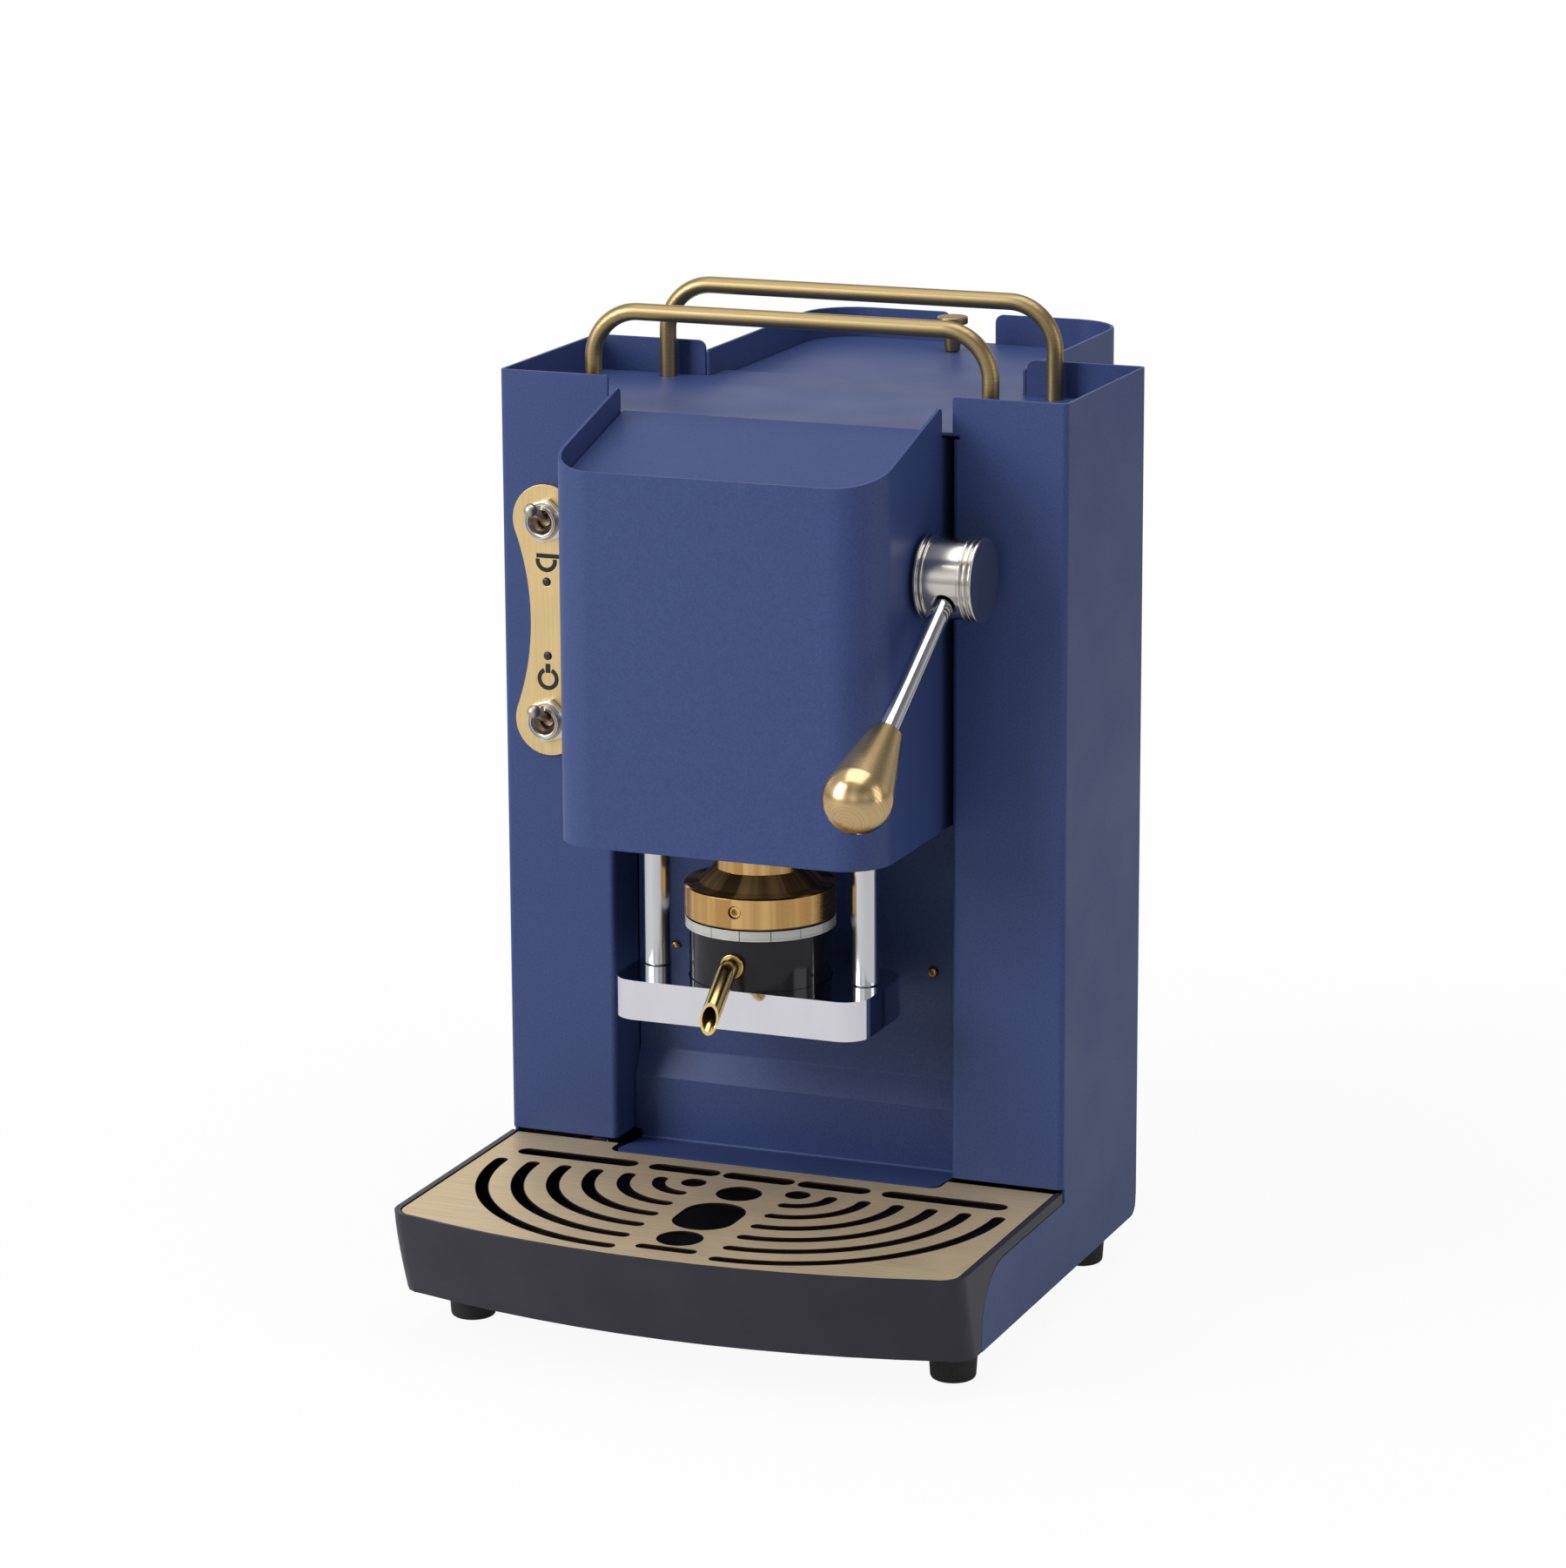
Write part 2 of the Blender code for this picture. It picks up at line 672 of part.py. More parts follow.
def routed(points, radius):
    """Stations (point, direction) along straight runs whose corners are arcs of a radius."""
    stations = [(points[0], (points[1] - points[0]).normalized())]
    for before, corner, after in zip(points, points[1:], points[2:]):
        arrive = (corner - before).normalized()
        leave = (after - corner).normalized()
        turn = arrive.angle(leave)
        start = corner - arrive * radius * math.tan(turn / 2)
        inward = (leave - arrive * arrive.dot(leave)).normalized()
        steps = max(2, math.ceil(turn / BEND_STEP - WELD))
        for step in range(steps + 1):
            angle = turn * step / steps
            point = start + arrive * radius * math.sin(angle) + inward * radius * (1 - math.cos(angle))
            stations.append((point, arrive * math.cos(angle) + inward * math.sin(angle)))
    stations.append((points[-1], (points[-1] - points[-2]).normalized()))
    return stations


def piped(stations, radii, sides, bore=0.0, end_normal=None):
    """Tube or bar along stations (point, direction), with a radius at each and an even bore.

    Where an end normal is given, the last end is cut by the plane across it.
    """
    solid = bmesh.new()
    across = stations[0][1].orthogonal().normalized()
    layers = []
    for index, ((point, way), radius) in enumerate(zip(stations, radii)):
        across = (across - way * across.dot(way)).normalized()
        upright = way.cross(across)
        rings = []
        for size in ([radius, bore] if bore else [radius]):
            ring = []
            for angle in (TURN * side / sides for side in range(sides)):
                spot = point + (across * math.cos(angle) + upright * math.sin(angle)) * size
                if end_normal and index == len(stations) - 1:
                    spot += way * ((point - spot).dot(end_normal) / way.dot(end_normal))
                ring.append(solid.verts.new(spot))
            rings.append(ring)
        layers.append(rings)
    for low, high in zip(layers, layers[1:]):
        for lower, upper in zip(low, high):
            for side in range(sides):
                after = (side + 1) % sides
                solid.faces.new((lower[side], lower[after], upper[after], upper[side]))
    for rings in (layers[0], layers[-1]):
        if bore:
            for side in range(sides):
                after = (side + 1) % sides
                solid.faces.new((rings[0][side], rings[0][after], rings[1][after], rings[1][side]))
        else:
            solid.faces.new(rings[0])
    face_out(solid)
    return solid


def lofted(layers):
    """Solid through outlines of equal length, each a list of points in space."""
    solid = bmesh.new()
    rings = [[solid.verts.new(point) for point in layer] for layer in layers]
    for lower, upper in zip(rings, rings[1:]):
        for index in range(len(lower)):
            after = (index + 1) % len(lower)
            solid.faces.new((lower[index], lower[after], upper[after], upper[index]))
    solid.faces.new(rings[0])
    solid.faces.new(rings[-1])
    face_out(solid)
    return solid


def mesh_from(solid, name):
    """Mesh data made from a bmesh, which is freed."""
    mesh = bpy.data.meshes.new(name)
    solid.to_mesh(mesh)
    solid.free()
    return mesh


def boolean(base, tool, operation):
    """The base cut by, or joined with, the tool."""
    target = bpy.data.objects.new("target", mesh_from(base, "target"))
    other = bpy.data.objects.new("tool", mesh_from(tool, "tool"))
    for thing in (target, other):
        bpy.context.scene.collection.objects.link(thing)
    modifier = target.modifiers.new("Boolean", "BOOLEAN")
    modifier.operation = operation
    modifier.object = other
    result = bmesh.new()
    result.from_object(target, bpy.context.evaluated_depsgraph_get())
    for thing in (target, other):
        mesh = thing.data
        bpy.data.objects.remove(thing)
        bpy.data.meshes.remove(mesh)
    bmesh.ops.remove_doubles(result, verts=result.verts, dist=WELD)
    return result


def cut(base, *tools):
    """The base with each tool's space taken away."""
    for tool in tools:
        base = boolean(base, tool, "DIFFERENCE")
    return base


def joined(base, *others):
    """One solid from solids that overlap."""
    for other in others:
        base = boolean(base, other, "UNION")
    return base


def grouped(*solids):
    """Separate solids in one mesh."""
    gathered = bmesh.new()
    for solid in solids:
        mesh = mesh_from(solid, "gathered")
        gathered.from_mesh(mesh)
        bpy.data.meshes.remove(mesh)
    return gathered


def material(finish):
    """Principled material of a finish, made once."""
    name, colour, roughness, metallic = finish
    if name in bpy.data.materials:
        return bpy.data.materials[name]
    made = bpy.data.materials.new(name)
    made.use_nodes = True
    shader = made.node_tree.nodes["Principled BSDF"]
    shader.inputs["Base Color"].default_value = (*colour, 1)
    shader.inputs["Roughness"].default_value = roughness
    shader.inputs["Metallic"].default_value = metallic
    made.diffuse_color = (*colour, 1)
    return made


def add(name, solid, finish, origin=(0, 0, 0)):
    """Object for a solid, with its own origin, under the machine's empty."""
    bmesh.ops.dissolve_limit(solid, angle_limit=FLAT, verts=solid.verts, edges=solid.edges)
    bmesh.ops.translate(solid, vec=-Vector(origin), verts=solid.verts)
    mesh = mesh_from(solid, name)
    mesh.shade_smooth()
    mesh.set_sharp_from_angle(angle=SHARP_EDGE)
    mesh.materials.append(material(finish))
    thing = bpy.data.objects.new(name, mesh)
    bpy.context.scene.collection.objects.link(thing)
    thing.parent = bpy.data.objects["machine"]
    thing.location = origin
    return thing


# Housing
def shell_path():
    """Plan of the right side shell: inner return, front, side and rear flange."""
    return FoldedPath([
        (RECESS_HALF, RETURN_DEPTH, 0),
        (RECESS_HALF, 0, BEND),
        (HALF_WIDTH, 0, BEND),
        (HALF_WIDTH, HOUSING_DEPTH, BEND),
        (SHROUD_HALF + SEAT, HOUSING_DEPTH, 0),
    ])


def side_shell(side, holes):
    """Side shell bent from one sheet, with its low skirt left straight under the pillar."""
    path = shell_path()
    inner, corner, rear = path.bends()
    skirt = corner[1] - BEND - SKIRT_LENGTH
    slot_end = corner[1] + NOTCH_RUN
    front_edge = inner[1] - BEND
    notch_end = inner[1] + NOTCH_RUN
    outline = rounded([
        (0, PILLAR_BASE, 0),
        (slot_end, PILLAR_BASE, 0),
        (slot_end, SKIRT_TOP, 0),
        (skirt, SKIRT_TOP, SKIRT_NOSE),
        (skirt, FOOT_HEIGHT, SHELL_EDGE_ROUND),
        (rear[0], FOOT_HEIGHT, TAIL_ROUND),
        (rear[0], TAIL_TAB_BASE, 0),
        (path.length, TAIL_TAB_BASE, 0),
        (path.length, HOUSING_TOP, FLANGE_ROUND),
        (front_edge, HOUSING_TOP, SHELL_EDGE_ROUND),
        (front_edge, RETURN_TOP + RELIEF, 0),
        (notch_end, RETURN_TOP + RELIEF, 0),
        (notch_end, RETURN_TOP, 0),
        (0, RETURN_TOP, 0),
    ])
    tabs = [
        (corner[1], True, 0, (SKIRT_TOP + PILLAR_BASE) / 2),
        (inner[1], True, RETURN_TOP + RELIEF / 2, HOUSING_TOP + OVERRUN),
    ]
    return bent_sheet(path, outline, holes, lambda u, v, w: (side * u, v, w), tabs)


def rear_screw_heights():
    """Heights of the screws along each rear flange."""
    pitch = (REAR_SCREW_TOP - REAR_SCREW_BASE) / (REAR_SCREW_COUNT - 1)
    return [REAR_SCREW_BASE + pitch * index for index in range(REAR_SCREW_COUNT)]


def inlet_hole(centre):
    """Outline of the opening for the mains inlet's body."""
    half_width = INLET_BODY[0] / 2 + SEAT
    half_height = INLET_BODY[1] / 2 + SEAT
    low, high = INLET_Z - half_height, INLET_Z + half_height
    return rectangle(centre - half_width, centre + half_width, low, high, INLET_CORNER, BEND_STEP)


def make_side_shells():
    path = shell_path()
    flange = path.along(REAR_SCREW_X, HOUSING_DEPTH)
    screws = [circle(flange, z, SCREW_RADIUS + SEAT, TINY_STEPS) for z in rear_screw_heights()]
    control = path.along(-CONTROL_X, 0)
    controls = [circle(control, z, BUSHING_RADIUS + SEAT) for z in (BREW_SWITCH_Z, POWER_SWITCH_Z)]
    controls += [circle(control, z, LAMP_RADIUS + SEAT, TINY_STEPS) for z in (BREW_LAMP_Z, POWER_LAMP_Z)]
    add("left_side_shell", side_shell(-1, screws + controls), BLUE_PAINT)
    inlet = inlet_hole(path.along(INLET_X, HOUSING_DEPTH))
    add("right_side_shell", side_shell(1, screws + [inlet]), BLUE_PAINT)


def recess_path():
    """Side view (y, z) of the recess panel's front face, from its top down and forward."""
    front = RETURN_DEPTH + SEAT
    return FoldedPath([
        (front, PANEL_TOP, 0),
        (front, SLOPE_TOP, BEND),
        (front - SLOPE_DEPTH, SLOPE_BASE, HOLLOW_BEND),
        (front - SLOPE_DEPTH, APRON_BACK, HOLLOW_BEND),
        (-APRON_REACH, APRON_FRONT, 0),
    ])


def make_recess_panel():
    path = recess_path()
    half = RECESS_HALF - SEAT
    narrow = APRON_WIDTH / 2
    shoulder = path.bends()[-1][0] - BEND
    outline = rounded([
        (0, -half, 0),
        (shoulder, -half, 0),
        (shoulder, -narrow, 0),
        (path.length, -narrow, APRON_ROUND),
        (path.length, narrow, APRON_ROUND),
        (shoulder, narrow, 0),
        (shoulder, half, 0),
        (0, half, 0),
    ])
    front = RETURN_DEPTH + SEAT
    holes = []
    for x in (-PANEL_SCREW_X, PANEL_SCREW_X):
        holes.append(circle(path.along(front, PANEL_SCREW_Z), x, SCREW_RADIUS + SEAT, TINY_STEPS))
    for z in frame_screw_heights():
        for x in (-FRAME_SCREW_X, FRAME_SCREW_X):
            holes.append(circle(path.along(front, z), x, FRAME_SCREW_RADIUS + SEAT, TINY_STEPS))
    holes.append(circle(path.along(front, OUTLET_Z), 0, HOSE_RADIUS + SEAT))
    add("recess_panel", bent_sheet(path, outline, holes, lambda u, v, w: (w, u, v)), BLUE_PAINT)


def make_rear_panel():
    half = INSIDE_HALF - SEAT
    outline = rectangle(-half, half, REAR_PANEL_BASE, REAR_PANEL_TOP, BEND)
    holes = [circle(0, PUMP_Z, HOSE_RADIUS + SEAT), inlet_hole(INLET_X)]
    sheet = placed(plate(outline, holes, 0, SHEET), lambda u, v, w: (u, REAR_FACE - w, v))
    screws = [
        turned(screw_profile(socketed=False), TINY_STEPS, (side * REAR_SCREW_X, HOUSING_DEPTH, z), BACK)
        for side in (-1, 1) for z in rear_screw_heights()
    ]
    add("rear_panel", joined(sheet, grouped(*screws)), BLUE_PAINT)


def make_base_pan():
    half = INSIDE_HALF - SEAT
    high = FOOT_HEIGHT + PAN_FLANGE
    path = FoldedPath([(-half, high, 0), (-half, FOOT_HEIGHT, BEND), (half, FOOT_HEIGHT, BEND), (half, high, 0)])
    left, right = path.bends()
    rear = REAR_FACE - SHEET - SEAT
    flange_front = TRAY_REAR + SLIDE
    outline = rounded([
        (0, flange_front, 0),
        (left[1], flange_front, 0),
        (left[1], -PAN_FRONT, PAN_CORNER),
        (right[0], -PAN_FRONT, PAN_CORNER),
        (right[0], flange_front, 0),
        (path.length, flange_front, 0),
        (path.length, rear - BEND, 0),
        (right[0], rear - BEND, 0),
        (right[0], rear, 0),
        (left[1], rear, 0),
        (left[1], rear - BEND, 0),
        (0, rear - BEND, 0),
    ])
    middle = path.length / 2
    holes = [circle(middle + x, y, M4_RADIUS + SEAT, TINY_STEPS) for x, y in foot_places()]
    for side in (-1, 1):
        for row in range(VENT_ROWS):
            centre = middle + side * VENT_SIDE
            left_end, right_end = centre - VENT_LENGTH / 2, centre + VENT_LENGTH / 2
            holes.append(slot(left_end, right_end, VENT_FRONT + VENT_PITCH * row, VENT_WIDTH))
    add("base_pan", bent_sheet(path, outline, holes, lambda u, v, w: (u, w, v)), ZINC)


def make_top_deck():
    half = INSIDE_HALF - SEAT
    low = DECK_TOP - DECK_FLANGE
    path = FoldedPath([(half, low, 0), (half, DECK_TOP, BEND), (-half, DECK_TOP, BEND), (-half, low, 0)])
    start, end = path.bends()
    front, rear = SHEET + SEAT, REAR_FACE
    tongue = SHROUD_HALF - SHEET - SEAT
    middle = path.length / 2
    outline = [
        (0, front + DECK_FLANGE_INSET),
        (start[1], front + DECK_FLANGE_INSET),
        (start[1], front),
        (end[0], front),
        (end[0], front + DECK_FLANGE_INSET),
        (path.length, front + DECK_FLANGE_INSET),
        (path.length, rear - DECK_FLANGE_INSET),
        (end[0], rear - DECK_FLANGE_INSET),
        (end[0], rear),
        (middle + tongue, rear),
        (middle + tongue, TONGUE_END),
        (middle - tongue, TONGUE_END),
        (middle - tongue, rear),
        (start[1], rear),
        (start[1], rear - DECK_FLANGE_INSET),
        (0, rear - DECK_FLANGE_INSET),
    ]
    holes = [
        circle(middle + side * RAIL_X, y, RAIL_RADIUS + SEAT)
        for side in (-1, 1) for y in (FRONT_RAIL_Y, REAR_RAIL_Y)
    ]
    add("top_deck", bent_sheet(path, outline, holes, lambda u, v, w: (u, w, v)), BLUE_PAINT)


def make_rails():
    top = DECK_UNDER - SEAT
    for name, y in (("front_rail", FRONT_RAIL_Y), ("rear_rail", REAR_RAIL_Y)):
        corners = [
            Vector((-RAIL_X, y, RAIL_FOOT)), Vector((-RAIL_X, y, RAIL_HEIGHT)),
            Vector((RAIL_X, y, RAIL_HEIGHT)), Vector((RAIL_X, y, RAIL_FOOT)),
        ]
        stations = routed(corners, RAIL_BEND)
        bar = piped(stations, [RAIL_RADIUS] * len(stations), RAIL_SIDES)
        nuts = [plate(hexagon(x, y, RAIL_NUT_FLATS), [], top - RAIL_NUT, top) for x in (-RAIL_X, RAIL_X)]
        add(name, joined(bar, grouped(*nuts)), BRASS)


def rim_height(y):
    """Height of the hood's sloping rim at a place between the pillars and its front."""
    return RIM_TOP + y * RIM_DROP / HOOD_FRONT


def make_hood():
    rear = RETURN_DEPTH
    path = FoldedPath([
        (HOOD_TAB - HOOD_HALF, rear, 0),
        (-HOOD_HALF, rear, BEND),
        (-HOOD_HALF, -HOOD_FRONT, HOOD_ROUND),
        (HOOD_HALF, -HOOD_FRONT, HOOD_ROUND),
        (HOOD_HALF, rear, BEND),
        (HOOD_HALF - HOOD_TAB, rear, 0),
    ])
    left_tab, left_corner, right_corner, right_tab = path.bends()
    left_edge, right_edge = path.along(-HOOD_HALF, 0), path.along(HOOD_HALF, 0)
    tab_base, tab_top = HOOD_BASE + HOOD_TAB_INSET, RETURN_TOP - HOOD_TAB_INSET
    rim = [
        (course, rim_height(path.at(course)[0].imag), 0)
        for course in path.folds()
        if left_corner[0] - WELD < course < right_corner[1] + WELD
    ]
    outline = rounded([
        (0, tab_base, 0),
        (left_tab[1], tab_base, 0),
        (left_tab[1], HOOD_BASE, 0),
        (right_tab[0], HOOD_BASE, 0),
        (right_tab[0], tab_base, 0),
        (path.length, tab_base, 0),
        (path.length, tab_top, 0),
        (right_tab[0], tab_top, 0),
        (right_tab[0], RETURN_TOP, 0),
        (right_edge, RETURN_TOP, 0),
        (right_edge, RIM_TOP, RIM_ROUND),
        *reversed(rim),
        (left_edge, RIM_TOP, RIM_ROUND),
        (left_edge, RETURN_TOP, 0),
        (left_tab[1], RETURN_TOP, 0),
        (left_tab[1], tab_top, 0),
        (0, tab_top, 0),
    ])
    hub = path.along(HOOD_HALF, GROUP_Y)
    holes = [circle(hub, SHAFT_Z, HOOD_BUSH_RADIUS + SEAT, MIDDLE_STEPS)]
    add("hood_cover", bent_sheet(path, outline, holes, lambda u, v, w: (u, v, w)), BLUE_PAINT)
    inset = SHEET + SEAT
    half, front = HOOD_HALF - inset, inset - HOOD_FRONT
    corner = HOOD_ROUND - inset
    outline = rounded([(-half, SHEET, 0), (-half, front, corner), (half, front, corner), (half, SHEET, 0)])
    drop = HOOD_LID_DROP + SHEET
    lid = placed(plate(outline, [], 0, SHEET), lambda u, v, w: (u, v, rim_height(v) - drop + w))
    add("hood_lid", lid, BLUE_PAINT)


# Water tank with its shroud
def make_shroud():
    front = HOUSING_DEPTH - SHEET
    path = FoldedPath([
        (SHROUD_HALF - SHROUD_TAB, front, 0),
        (SHROUD_HALF, front, BEND),
        (SHROUD_HALF, SHROUD_REAR, SHROUD_ROUND),
        (-SHROUD_HALF, SHROUD_REAR, SHROUD_ROUND),
        (-SHROUD_HALF, front, BEND),
        (SHROUD_TAB - SHROUD_HALF, front, 0),
    ])
    right_tab, left_tab = path.bends()[0], path.bends()[-1]
    middle = path.length / 2
    straight = SHROUD_TAB_TOP + RELIEF
    outline = rounded([
        (0, SHROUD_BASE, 0),
        (path.length, SHROUD_BASE, 0),
        (path.length, SHROUD_TAB_TOP, 0),
        (left_tab[0] - NOTCH_RUN, SHROUD_TAB_TOP, 0),
        (left_tab[0] - NOTCH_RUN, straight, 0),
        (left_tab[0] + BEND, straight, 0),
        (left_tab[0] + BEND, SHROUD_TOP, SHELL_EDGE_ROUND),
        (middle + SHROUD_NOTCH_HALF, SHROUD_TOP, SHROUD_NOTCH_ROUND),
        (middle + SHROUD_NOTCH_HALF, LID_TOP, 0),
        (middle - SHROUD_NOTCH_HALF, LID_TOP, 0),
        (middle - SHROUD_NOTCH_HALF, SHROUD_TOP, SHROUD_NOTCH_ROUND),
        (right_tab[1] - BEND, SHROUD_TOP, SHELL_EDGE_ROUND),
        (right_tab[1] - BEND, straight, 0),
        (right_tab[1] + NOTCH_RUN, straight, 0),
        (right_tab[1] + NOTCH_RUN, SHROUD_TAB_TOP, 0),
        (0, SHROUD_TAB_TOP, 0),
    ])
    notch = SHROUD_TAB_TOP + RELIEF / 2
    tabs = [(right_tab[1], True, notch, HOUSING_TOP), (left_tab[0], False, notch, HOUSING_TOP)]
    add("tank_shroud", bent_sheet(path, outline, [], lambda u, v, w: (u, v, w), tabs), BLUE_PAINT)
    half = SHROUD_HALF - SHEET - SEAT
    corner = SHROUD_ROUND - SHEET - SEAT
    shelf_front = HOUSING_DEPTH + SEAT
    outline = rounded_box(half, shelf_front, SHROUD_REAR - SHEET - SEAT, 0, corner)
    holes = [circle(0, VALVE_Y, VALVE_HOLE_RADIUS)]
    add("tank_shelf", plate(outline, holes, SHROUD_BASE, SHROUD_BASE + SHEET), BLUE_PAINT)


def rounded_box(half, front, rear, front_round, rear_round):
    """Outline of a box about x = 0 whose front and rear corners have their own radii."""
    return rounded([
        (-half, front, front_round), (half, front, front_round),
        (half, rear, rear_round), (-half, rear, rear_round),
    ])


def tank_outline(inset):
    """Plan of the water tank, drawn in from its outer face."""
    half = SHROUD_HALF - SHEET - SLIDE - inset
    front = TONGUE_END + SHEET + inset
    rear = SHROUD_REAR - SHEET - SLIDE - inset
    corner = SHROUD_ROUND - SHEET - SLIDE - inset
    return rounded_box(half, front, rear, TANK_FRONT_ROUND - inset, corner)


def make_tank():
    base = SHROUD_BASE + SHEET + SEAT
    floor = base + TANK_FLOOR
    lid_under = LID_TOP - LID_THICKNESS
    shell = plate(tank_outline(0), [circle(0, VALVE_Y, VALVE_RADIUS + SEAT)], base, lid_under - SEAT)
    cavity = plate(tank_outline(TANK_WALL), [], floor, LID_TOP)
    add("water_tank", cut(shell, cavity), TANK_PLASTIC)
    low = base - VALVE_REACH
    seat = floor + SEAT
    valve = [
        (0, low), (VALVE_RADIUS, low), (VALVE_RADIUS, seat),
        (VALVE_FLANGE_RADIUS, seat), (VALVE_FLANGE_RADIUS, seat + VALVE_FLANGE), (0, seat + VALVE_FLANGE),
    ]
    add("tank_valve", turned(valve, SMALL_STEPS, (0, VALVE_Y, 0)), BLACK_PLASTIC)
    half = SHROUD_HALF - SHEET - LID_GAP
    rear = SHROUD_REAR - SHEET - LID_GAP
    corner = SHROUD_ROUND - SHEET - LID_GAP
    outline = rounded_box(half, TONGUE_END + LID_GAP, rear, 0, corner)
    pin_hole = circle(0, KNOB_Y, KNOB_PIN_RADIUS + SEAT, TINY_STEPS)
    cover = plate(outline, [pin_hole], lid_under, LID_TOP)
    plug_in = TANK_WALL + SEAT
    plug = plate(
        tank_outline(plug_in), [tank_outline(plug_in + LID_PLUG_WALL)],
        lid_under - LID_PLUG_DEPTH, lid_under + LID_THICKNESS / 2,
    )
    add("tank_lid", joined(cover, plug), BLUE_PAINT)
    foot = LID_TOP + SEAT
    top = LID_TOP + KNOB_HEIGHT
    neck = top - KNOB_CAP
    knob = [
        (0, lid_under), (KNOB_PIN_RADIUS, lid_under), (KNOB_PIN_RADIUS, foot), (KNOB_FOOT_RADIUS, foot),
        (KNOB_NECK_RADIUS, neck), (KNOB_CAP_RADIUS, neck), (KNOB_CAP_RADIUS, top - KNOB_CAP_EDGE),
        (KNOB_CAP_RADIUS - KNOB_CAP_EDGE, top), (0, top),
    ]
    add("lid_knob", turned(knob, MIDDLE_STEPS, (0, KNOB_Y, 0)), BRASS)


# Controls
def make_control_plate():
    middle = (BREW_SWITCH_Z + POWER_SWITCH_Z) / 2
    rise = (BREW_SWITCH_Z - POWER_SWITCH_Z) / 2
    sweep = (rise ** 2 + CONTROL_WAIST ** 2 - CONTROL_LOBE ** 2) / 2 / (CONTROL_LOBE - CONTROL_WAIST)
    reach = sweep + CONTROL_WAIST
    spread = math.atan2(rise, reach)
    points = []
    for sign, quarter in ((1, 0), (-1, math.pi)):
        span = math.pi + 2 * spread
        for step in range(LOBE_STEPS + 1):
            angle = quarter - spread + span * step / LOBE_STEPS
            points.append((CONTROL_LOBE * math.cos(angle), sign * rise + CONTROL_LOBE * math.sin(angle)))
        for step in range(1, WAIST_STEPS):
            angle = spread - 2 * spread * step / WAIST_STEPS
            points.append((sign * (sweep * math.cos(angle) - reach), sign * sweep * math.sin(angle)))
    outline = [(CONTROL_X + u, middle + v) for u, v in points]
    holes = [circle(CONTROL_X, z, BUSHING_RADIUS + SEAT, MIDDLE_STEPS) for z in (BREW_SWITCH_Z, POWER_SWITCH_Z)]
    holes += [circle(CONTROL_X, z, LAMP_RADIUS + SEAT) for z in (BREW_LAMP_Z, POWER_LAMP_Z)]
    sheet = plate(outline, holes, 0, SHEET)
    add("control_plate", placed(sheet, lambda u, v, w: (u, -SEAT - w, v)), BRASS)


def make_switches():
    rear = SHEET + SEAT
    face = SEAT + SHEET + SEAT
    for name, z in (("brew_switch", BREW_SWITCH_Z), ("power_switch", POWER_SWITCH_Z)):
        half = SWITCH_BODY_WIDTH / 2
        body = block(CONTROL_X - half, CONTROL_X + half, rear, rear + SWITCH_BODY_DEPTH, z - half, z + half)
        start = (CONTROL_X, rear + OVERRUN, z)
        body = joined(body, rod(start, FORWARD, rear + OVERRUN - BUSHING_FRONT, BUSHING_RADIUS, MIDDLE_STEPS))
        nut = plate(hexagon(CONTROL_X, z, SWITCH_NUT_FLATS), [], face, face + SWITCH_NUT)
        body = joined(body, placed(nut, lambda u, v, w: (u, -w, v)))
        floor = BAT_PIVOT_Y + BAT_PIVOT_RADIUS + SEAT
        lip = BAT_PIVOT_Y - BAT_PIVOT_RADIUS / 2
        mouth = [
            (0, -floor), (BAT_SOCKET, -floor), (BAT_SOCKET, -lip),
            (BUSHING_MOUTH, -BUSHING_FRONT), (BUSHING_MOUTH, OVERRUN - BUSHING_FRONT),
            (0, OVERRUN - BUSHING_FRONT),
        ]
        body = cut(body, turned(mouth, MIDDLE_STEPS, (CONTROL_X, 0, z), FORWARD))
        add(name + "_body", body, CHROME)
        pivot = Vector((CONTROL_X, BAT_PIVOT_Y, z))
        way = Vector((0, -math.cos(BAT_TILT), math.sin(BAT_TILT)))
        ball = BAT_LENGTH - BAT_BALL_RADIUS
        waist = math.asin(BAT_ROOT_RADIUS / BAT_PIVOT_RADIUS)
        neck = math.asin(BAT_TIP_RADIUS / BAT_BALL_RADIUS)
        profile = []
        for step in range(BAT_ROOT_STEPS + 1):
            angle = math.pi - (math.pi - waist) * step / BAT_ROOT_STEPS
            profile.append((BAT_PIVOT_RADIUS * math.sin(angle), BAT_PIVOT_RADIUS * math.cos(angle)))
        for step in range(BAT_BALL_STEPS + 1):
            angle = math.pi - neck - (math.pi - neck) * step / BAT_BALL_STEPS
            profile.append((BAT_BALL_RADIUS * math.sin(angle), ball + BAT_BALL_RADIUS * math.cos(angle)))
        profile[0] = (0, -BAT_PIVOT_RADIUS)
        profile[-1] = (0, BAT_LENGTH)
        add(name + "_bat", turned(profile, BAT_STEPS, pivot, way), CHROME, pivot)


def make_lamps():
    face = SEAT + SHEET
    for name, z in (("brew_lamp", BREW_LAMP_Z), ("power_lamp", POWER_LAMP_Z)):
        tail = -SHEET - SEAT
        profile = [
            (0, tail - LAMP_DEPTH), (LAMP_RING, tail - LAMP_DEPTH), (LAMP_RING, tail),
            (LAMP_RADIUS, tail), (LAMP_RADIUS, face), (LAMP_RADIUS / 2, face + LAMP_STAND),
            (0, face + LAMP_STAND),
        ]
        add(name, turned(profile, TINY_STEPS, (CONTROL_X, 0, z), FORWARD), LAMP_RED)


# Press
def frame_screw_heights():
    """Heights of the bolts through the recess panel, into the group plate and the bridge."""
    return [(PLATE_BASE + PLATE_TOP) / 2, (BRIDGE_SOFFIT + BRIDGE_TOP) / 2 - SHEET]


